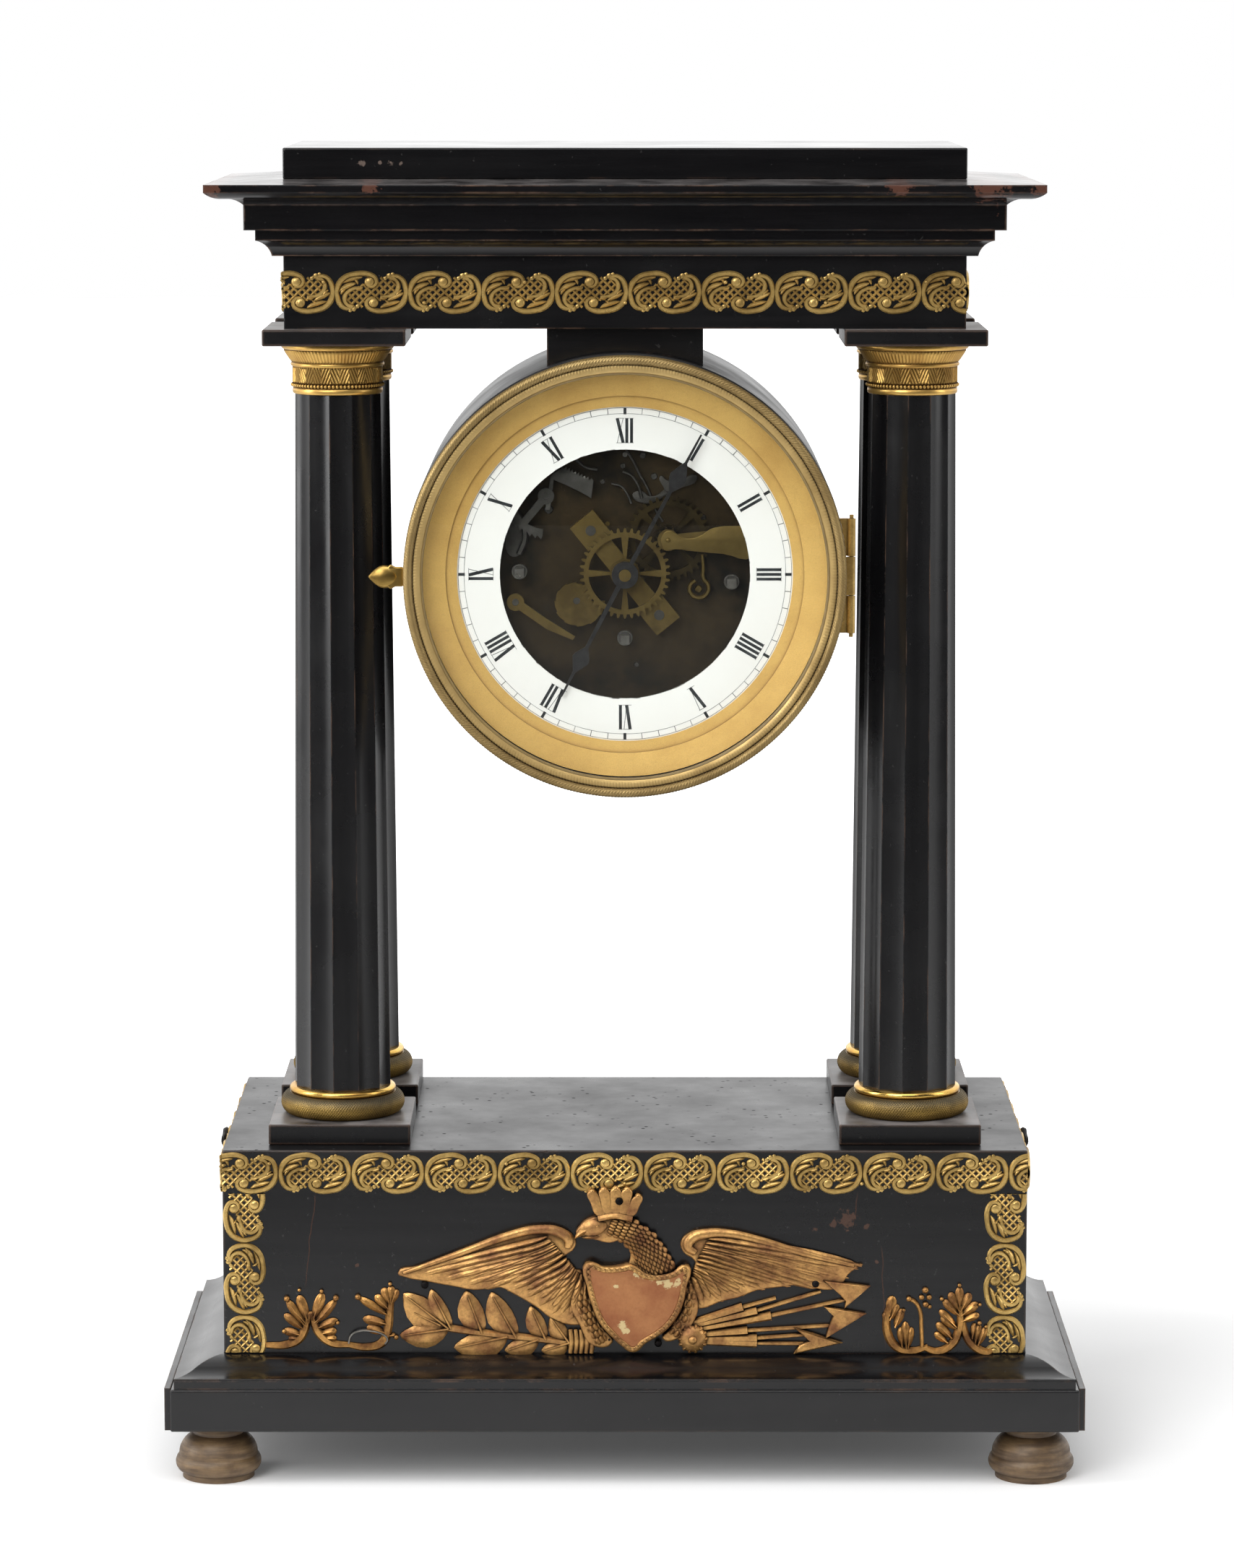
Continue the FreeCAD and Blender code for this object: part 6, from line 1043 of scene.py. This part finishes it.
# %% Wire and nails
loop = bmesh.new()
bent_rod(loop, [left_spot(*p) for p in ((512, 655), (520, 628), (548, 612), (590, 611), (630, 622),
                                        (648, 640), (640, 658))],
         0.42, 2.3, steps=6)
finish_piece("mended_wire", loop, steel, ON_BOX)
nails = bmesh.new()
for spot in (left_spot(780, 450), left_spot(1425, 640), right_spot(680, 445), right_spot(130, 655)):
    bead(nails, spot, 1.5, 2.2, 0.6, 2)
bead(nails, left_spot(1460, 150), 1.6, 5.0, 0.5, 2)
finish_piece("mount_nails", nails, iron, ON_BOX)
finish_piece("acanthus_leaves", leaves, gilt_leaf, ON_BOX, replaces=["acanthus_mounts"])

# %% [markdown]
# ## Turned and chased rings
#
# Capitals, base rings and the bezel were turned on a lathe and then knurled with a patterned wheel. So
# each starts as a profile spun about its axis, and a small rule then presses the pattern into it.

# %% Lathe helper
def turned(profile, steps, press=None):
    """Spin a profile of (radius, height) in millimetres; press moves each vertex outwards and upwards."""
    shape = bmesh.new()
    corners = [shape.verts.new((radius, 0.0, height)) for radius, height in profile]
    edges = [shape.edges.new(pair) for pair in zip(corners, corners[1:])]
    bmesh.ops.spin(shape, geom=corners + edges, cent=(0, 0, 0), axis=(0, 0, 1), dvec=(0, 0, 0),
                   angle=math.tau, steps=steps, use_merge=True)
    if press:
        for vert in shape.verts:
            angle = math.atan2(vert.co.y, vert.co.x) % math.tau
            radius = math.hypot(vert.co.x, vert.co.y)
            push, lift = press(round(angle / math.tau * steps), radius, vert.co.z)
            vert.co.x *= 1.0 + push / radius
            vert.co.y *= 1.0 + push / radius
            vert.co.z += lift
    return shape


COLUMNS = [(side * 113.1, depth) for side in (-1, 1) for depth in (-25.6, 54.4)]


def on_columns(shape, height):
    """The same shape at a height on each column, as one mesh in metres."""
    mesh = bpy.data.meshes.new("one")
    shape.to_mesh(mesh)
    shape.free()
    whole = bmesh.new()
    for x, y in COLUMNS:
        one = mesh.copy()
        one.transform(Matrix.Scale(MM, 4) @ Matrix.Translation((x, y, height)))
        whole.from_mesh(one)
        bpy.data.meshes.remove(one)
    bpy.data.meshes.remove(mesh)
    return whole


print("lathe ready for", len(COLUMNS), "columns")

# %% Column capitals
CAPITAL_LOW = 427.4
CAPITAL = ([(12.0, 0.0), (17.2, 0.0), (17.6, 0.3), (17.75, 1.2), (17.6, 2.2), (17.3, 2.45)]
           + [(17.3, 4.3)] + [(17.5, 4.5 + 0.75 * row) for row in range(9)]
           + [(17.7, 10.7), (18.25, 10.95), (18.5, 11.5), (18.25, 12.1), (17.95, 12.4)]
           + [(18.05, 12.6), (18.75, 13.5), (19.5, 14.6), (20.3, 15.8), (20.95, 17.0), (20.85, 17.35)]
           + [(21.5, 17.55), (22.0, 18.1), (22.15, 18.7), (21.95, 19.4), (21.5, 19.8), (12.0, 19.8)])


def chase_capital(column, radius, height):
    if 4.45 < height < 10.55:
        fold = column % 24
        slope = fold if fold < 12 else 24 - fold
        row = round((height - 4.5) / 0.75)
        return (0.26 if (slope + row) % 4 < 2 else -0.14), 0.0
    if 12.55 < height < 17.1:
        return (0.2 if column % 4 < 2 else -0.14), 0.0
    return 0.0, 0.0


capital = turned(CAPITAL, 360, chase_capital)
CAPITAL_PEARLS, PEARL_RING = 74, 17.75
for number in range(CAPITAL_PEARLS):
    angle = math.tau * number / CAPITAL_PEARLS
    bead(capital, (PEARL_RING * math.cos(angle), PEARL_RING * math.sin(angle)), 0.82, 3.4)
finish_piece("chased_capitals", on_columns(capital, CAPITAL_LOW), gilt_chased,
             replaces=["column_capitals"], crease=60.0)

# %% Column base rings
TORUS_LOW, TORUS_ROW = 139.2, 4.8
TORUS_RADIUS, TORUS_MIDDLE, KNURL = 20.4, 4.3, 0.26
TORUS = [(15.0, 0.0), (20.6, 0.0)] + [
    (TORUS_RADIUS + 4.1 * math.cos(turn), TORUS_MIDDLE + 4.3 * math.sin(turn))
    for turn in (math.radians(TORUS_ROW * step - 90.0) for step in range(1, 37))] + [(20.4, 8.6), (15.0, 8.6)]


def knurl(column, radius, height):
    """Small points in staggered rows, standing out square to the ring."""
    if radius < 21.0:
        return 0.0, 0.0
    turn = math.atan2(height - TORUS_MIDDLE, radius - TORUS_RADIUS)
    row = round((math.degrees(turn) + 90.0) / TORUS_ROW)
    point = KNURL * math.cos(math.pi * column / 2) * math.cos(math.pi * row / 2)
    return point * math.cos(turn), point * math.sin(turn)


torus = turned(TORUS, 560, knurl)
finish_piece("knurled_base_rings", on_columns(torus, TORUS_LOW), gilt_knurled,
             replaces=["column_toruses"], crease=80.0)
FILLET = [(15.0, 8.6), (20.6, 8.6)] + [
    (19.9 + 1.3 * math.cos(turn), 9.9 + 1.3 * math.sin(turn))
    for turn in (math.radians(-80 + 160 * step / 8) for step in range(9))] + [(19.6, 11.35), (15.0, 11.35)]
finish_piece("base_ring_fillets", on_columns(turned(FILLET, 96), TORUS_LOW), gilt_bright,
             crease=60.0)

# %% [markdown]
# ## Bezel with its roped edge
#
# The glazed door is a cast ring. A rope pattern of fine slanted ridges runs round its outer edge, and
# inside it a narrow lip holds the glass, whose ground edge shows as a pale line.

# %% Bezel
ON_DIAL = facing(0, 0, 0, DIAL.z / MM)
ROPES, ROPE_STEPS = 430, 4
ROPE_RADIUS, ROPE_LIFT, ROPE_THICK = 84.75, 57.95, 1.65
BEZEL = ([(81.8, 50.4), (81.8, 56.2), (79.7, 56.2), (79.6, 56.9), (80.1, 57.3), (82.9, 57.7)]
         + [(ROPE_RADIUS + ROPE_THICK * math.sin(turn), ROPE_LIFT + ROPE_THICK * math.cos(turn))
            for turn in (math.radians(15.0 * step) for step in range(-7, 8))]
         + [(86.2, 57.0), (86.2, 50.4), (81.8, 50.4)])


def rope(column, radius, height):
    """Slanted ridges that stand out square to the rope."""
    out, up = radius - ROPE_RADIUS, height - ROPE_LIFT
    if abs(math.hypot(out, up) - ROPE_THICK) > 0.05:
        return 0.0, 0.0
    turn = math.atan2(out, up)
    ridge = 0.24 * math.cos(math.tau * (column / ROPE_STEPS + turn / math.pi * 3.2))
    return ridge * math.sin(turn), ridge * math.cos(turn)


finish_piece("roped_bezel", turned(BEZEL, ROPES * ROPE_STEPS, rope), gilt_rope, ON_DIAL, "door",
             ["bezel_ring"], 70.0)
GLASS_EDGE = [(78.9, 56.5), (79.2, 57.15), (79.75, 57.3), (79.75, 56.4)]
finish_piece("glass_ground_edge", turned(GLASS_EDGE, 160), glass_edge, ON_DIAL, "door")

tab = bmesh.new()
leaf(tab, (-88.2, 0.0), (-100.2, 0.0), 10.4, 1.7, 53.6, 0.95, 0.15, 0.0, 16, 12)
slab(tab, [(-86.4, -3.4), (-89.6, -3.9), (-92.0, -4.6), (-92.0, 4.6), (-89.6, 3.9), (-86.4, 3.4)], 1.6,
     0.5, 53.0)
finish_piece("thumb_tab", tab, gilt_tab, ON_DIAL, "door", ["bezel_latch_tab"])

# %% [markdown]
# ## Dial figures
#
# The Roman figures were painted in black enamel with their feet towards the centre. The broad strokes
# have held and the hairlines have almost rubbed away.

# %% Dial figures
FIGURES = ["XII", "I", "II", "III", "IIII", "V", "VI", "VII", "VIII", "IX", "X", "XI"]
STROKE_WIDTH = {"I": 1.85, "V": 3.5, "X": 3.3}
PAINT_LIFT, PAINT_THICK = 44.52, 0.06


def stroke(target, start, stop, width, turn):
    """A painted stroke between two places in a figure that stands on the dial at this turn."""
    outward = Vector((math.sin(turn), math.cos(turn)))
    right = Vector((math.cos(turn), -math.sin(turn)))
    first = right * start[0] + outward * start[1]
    last = right * stop[0] + outward * stop[1]
    middle = (first + last) / 2
    lean = math.atan2(last.y - first.y, last.x - first.x)
    bmesh.ops.create_cube(target, size=1.0, matrix=(
        Matrix.Translation((middle.x, middle.y, PAINT_LIFT)) @ Matrix.Rotation(lean, 4, "Z")
        @ Matrix.Diagonal(((last - first).length, width, PAINT_THICK, 1))))


print("figures", len(FIGURES))

# %% Painted figures
paint = bmesh.new()
hairlines = bmesh.new()
FOOT, HEAD = 51.6, 61.2
for hour, letters in enumerate(FIGURES):
    turn = math.tau * hour / 12
    x = -sum(STROKE_WIDTH[letter] for letter in letters) / 2
    for letter in letters:
        wide = STROKE_WIDTH[letter]
        middle = x + wide / 2
        if letter == "I":
            stroke(paint, (middle, FOOT), (middle, HEAD), 1.15, turn)
        elif letter == "V":
            stroke(paint, (x + 0.6, HEAD), (middle + 0.25, FOOT), 1.25, turn)
            stroke(hairlines, (x + wide - 0.5, HEAD), (middle + 0.3, FOOT), 0.26, turn)
        else:
            stroke(paint, (x + 0.5, HEAD), (x + wide - 0.5, FOOT), 1.25, turn)
            stroke(hairlines, (x + wide - 0.5, HEAD), (x + 0.5, FOOT), 0.26, turn)
        for level in (FOOT, HEAD):
            stroke(hairlines, (x + 0.1, level), (x + wide - 0.1, level), 0.2, turn)
        x += wide
    stroke(paint, (0, 62.7), (0, 65.2), 1.15, turn)
print("figures painted", len(paint.faces), "faces")

# %% Minute track
for minute in range(60):
    if minute % 5:
        stroke(hairlines, (0, 63.0), (0, 65.2), 0.3, math.tau * minute / 60)
for radius in (63.0, 65.3):
    for part in range(180):
        near, far = -math.tau / 360 * radius, math.tau / 360 * radius
        stroke(hairlines, (near, radius), (far, radius), 0.18, math.tau * part / 180)
finish_piece("dial_figures", paint, figure_paint, ON_DIAL)
finish_piece("dial_hairlines", hairlines, hairline_paint, ON_DIAL)

# %% [markdown]
# ## Small work behind the dial
#
# The open centre shows the front plate with its springs, screws and levers. Most of them are bent from
# wire or filed from sheet, so they are drawn the same way. Heights here are measured forward from the
# middle of the case, as for the dial.

# %% Small work behind the dial
CENTRE_X, CENTRE_Y, PER_MM = 757.5, 792.5, 14.58


def work_spot(x, y):
    """A place on the movement from its place in a picture of the open centre."""
    return Vector(((x - CENTRE_X) / PER_MM, (CENTRE_Y - y) / PER_MM))


def work_line(places):
    return [work_spot(*place) for place in places]


def screw(target, place, radius, lift, turn):
    """A slotted screw with a domed head."""
    bmesh.ops.create_cone(target, cap_ends=True, segments=20, radius1=radius, radius2=radius * 0.8, depth=0.6,
                          matrix=Matrix.Translation((place[0], place[1], lift + 0.3)))
    for side in (-1.0, 1.0):
        shift = Matrix.Rotation(turn, 4, "Z") @ Matrix.Translation((0, side * radius * 0.46, 0))
        bmesh.ops.create_cube(target, size=1.0, matrix=(
            Matrix.Translation((place[0], place[1], lift + 0.62)) @ shift
            @ Matrix.Diagonal((radius * 1.3, radius * 0.55, 0.22, 1))))


PLATE_LIFT = 33.0
print("movement drawn at", PER_MM, "to the millimetre")

# %% Springs and screws
wires = bmesh.new()
for path, thick, lift in (
        (((765, 95), (800, 150), (840, 230), (890, 320), (930, 430), (975, 505)), 0.5, 34.0),
        (((745, 215), (790, 235), (830, 290), (855, 370)), 0.5, 35.4),
        (((680, 285), (735, 300), (770, 345), (795, 400)), 0.5, 35.0),
        (((480, 150), (530, 190), (600, 205)), 0.6, 35.0),
        (((100, 400), (165, 500), (185, 590), (150, 690)), 1.3, 35.0)):
    bent_rod(wires, work_line(path), thick, lift, steps=6)
slab(wires, work_line(((125, 470), (175, 540), (185, 620), (160, 690), (100, 700), (75, 600))), 0.9, 0.2,
     34.2)
slab(wires, work_line(((800, 350), (860, 330), (900, 360), (1000, 310), (1080, 270), (1160, 235), (1170, 262),
                                     (1080, 310), (1000, 350), (940, 385), (870, 400))), 0.9, 0.2, 33.8)
slab(wires, work_line(((960, 240), (1000, 265), (1040, 260), (1045, 300), (1000, 330), (975, 300))), 0.9,
     0.2, 34.8)
finish_piece("movement_springs", wires, dark_steel, ON_DIAL)

screws = bmesh.new()
for x, y, size in ((745, 185, 1.1), (860, 125, 1.3), (630, 275, 1.0), (320, 435, 1.8), (825, 1330, 1.0),
                   (1205, 480, 1.2), (925, 245, 1.4)):
    screw(screws, work_spot(x, y), size, PLATE_LIFT, 0.6 + x * 0.01)
finish_piece("plate_screws", screws, dark_steel, ON_DIAL)

# %% Cock, rack and hook
cock = bmesh.new()
COCK_SHIFT = Vector((1.3, 2.1))
COCK = [(972, 690), (950, 660), (945, 620), (965, 585), (1000, 575), (1030, 592), (1075, 615),
        (1130, 617), (1180, 598),
        (1215, 572), (1260, 555), (1400, 548), (1462, 545), (1470, 722), (1300, 708), (1100, 690),
        (1030, 682)]
slab(cock, [work_spot(*p) + COCK_SHIFT for p in COCK], 0.55, 0.18, 42.35)
bead(cock, work_spot(985, 630) + COCK_SHIFT, 1.0, 42.8, 0.6, 2)
finish_piece("change_wheel_cock", cock, cock_brass, ON_DIAL)

rack = bmesh.new()
RACK = [(300, 432), (330, 250), (345, 225), (400, 192)] + [
    place for tooth in range(9) for place in (
        (408 + 18 * tooth, 196 + 8 * tooth), (424 + 18 * tooth, 186 + 8 * tooth))] + [
    (578, 268), (566, 368), (500, 330), (420, 292), (352, 262), (330, 432)]
slab(rack, work_line(RACK), 0.8, 0.12, 36.1, smooth=False, rounds=0)
finish_piece("rack_sector", rack, dark_steel, ON_DIAL, "rack")

hook = bmesh.new()
bent_rod(hook, work_line(((1200, 690), (1206, 760), (1208, 830), (1236, 870), (1225, 920), (1180, 940),
                          (1135, 915),
                                        (1130, 870), (1160, 840))), 0.9, 35.5, steps=6)
screw(hook, work_spot(1180, 893), 1.5, PLATE_LIFT, 0.9)
finish_piece("hook_spring", hook, cock_brass, ON_DIAL)

# %% [markdown]
# ## Iron staples
#
# A small iron staple stands on each side of the base, near the top. It held the clock steady on its shelf.

# %% Iron staples
staples = bmesh.new()
for side in (-1.0, 1.0):
    bent_rod(staples, [(side * 158.0, -16.0, 121.0), (side * 161.4, -15.0, 123.0),
                       (side * 162.0, -8.0, 125.5),
                       (side * 162.0, 0.0, 126.0), (side * 161.0, 5.0, 124.0),
                       (side * 158.0, 6.0, 123.0)], 1.1, steps=6)
finish_piece("iron_staples", staples, iron, Matrix.Scale(MM, 4))

# %% [markdown]
# ## Floor, backdrop and light
#
# The photograph is a cut-out on white with a soft shadow. The floor is a plain pale sheet that adds a
# little light of its own for the camera, so that only its shadow shows. The world is white to the camera
# and behind the clock, and dim in front, as a dark studio is, which keeps the black wood black.

# %% Ray masks
def ray_kinds(tree):
    """Masks for rays that look straight at the backdrop and for rays that were mirrored on their way."""
    ray = add(tree, "LightPath").outputs
    bounced = calc(tree, "MINIMUM", ray["Glossy Depth"], 1.0)
    straight = times(tree, ray["Is Transmission Ray"], less(tree, 1.0, bounced))
    through = times(tree, ray["Is Transmission Ray"], bounced)
    return (calc(tree, "MAXIMUM", ray["Is Camera Ray"], straight),
            calc(tree, "MAXIMUM", ray["Is Glossy Ray"], through))


print("ray masks ready")

# %% Floor
floor_mesh = bmesh.new()
bmesh.ops.create_circle(floor_mesh, cap_ends=True, segments=96, radius=9.0)
floor_data = bpy.data.meshes.new("studio_floor")
floor_mesh.to_mesh(floor_data)
floor_mesh.free()
floor = bpy.data.objects.new("studio_floor", floor_data)
bpy.context.scene.collection.objects.link(floor)
floor_finish, tree, shader, place = new_finish("studio_paper")
shader.inputs["Roughness"].default_value = 0.9
seen, mirrored = ray_kinds(tree)
spot = add(tree, "SeparateXYZ", {0: place}).outputs
dim_front = times(tree, mirrored, spread(tree, spot["Y"], -0.18, -0.7))
plug(tree, shader.inputs["Base Color"], blend_colour(tree, dim_front, (0.86, 0.86, 0.86, 1.0),
                                                     (0.12, 0.12, 0.12, 1.0)))
from_side = less(tree, calc(tree, "ABSOLUTE", spot["X"]), 0.18)
from_edge = less(tree, calc(tree, "ABSOLUTE", spot["Y"]), 0.085)
away = calc(tree, "MAXIMUM", from_side, from_edge)
glow = plus(tree, spread(tree, away, 0.0, 0.12, 0.05, 0.2), spread(tree, away, 0.1, 0.6, 0.0, 0.9))
plug(tree, shader.inputs["Emission Strength"], times(tree, seen, glow))
shader.inputs["Emission Color"].default_value = (1.0, 1.0, 1.0, 1.0)
floor_data.materials.append(floor_finish)
print("floor", floor.name)

# %% World
world = bpy.data.worlds.new("studio_world")
bpy.context.scene.world = world
world.use_nodes = True
tree = world.node_tree
sky = tree.nodes["Background"]
direction = add(tree, "TexCoord").outputs["Generated"]
parts = add(tree, "SeparateXYZ", {0: direction}).outputs
behind = spread(tree, parts["Y"], -0.35, 0.55, 0.04, 1.35)
seen, mirrored = ray_kinds(tree)
plain = calc(tree, "MAXIMUM", seen, 0.55)
change = times(tree, mirrored, less(tree, behind, plain))
plug(tree, sky.inputs["Strength"], plus(tree, plain, change))
sky.inputs["Color"].default_value = (1.0, 1.0, 1.0, 1.0)
print("world", world.name)


# %% Softboxes
def softbox(name, place, aim, size, power):
    data = bpy.data.lights.new(name, "AREA")
    data.shape = "RECTANGLE"
    data.size, data.size_y = size
    data.energy = power
    lamp = bpy.data.objects.new(name, data)
    bpy.context.scene.collection.objects.link(lamp)
    lamp.location = place
    lamp.rotation_euler = (Vector(aim) - Vector(place)).to_track_quat("-Z", "Y").to_euler()
    return lamp


softbox("key_softbox", (-1.1, -2.0, 1.4), (0.0, 0.0, 0.3), (1.2, 1.2), 28.0)
softbox("left_softbox", (-1.6, -0.3, 0.8), (0.0, 0.0, 0.28), (0.5, 1.3), 14.0)
softbox("right_softbox", (1.6, -0.4, 0.9), (0.0, 0.0, 0.28), (0.6, 1.3), 7.0)
softbox("top_softbox", (-0.2, -1.0, 1.9), (0.0, 0.0, 0.3), (1.8, 1.2), 20.0)
bpy.context.scene.view_settings.view_transform = "Standard"
print("stage lit by", len(bpy.data.lights), "softboxes")
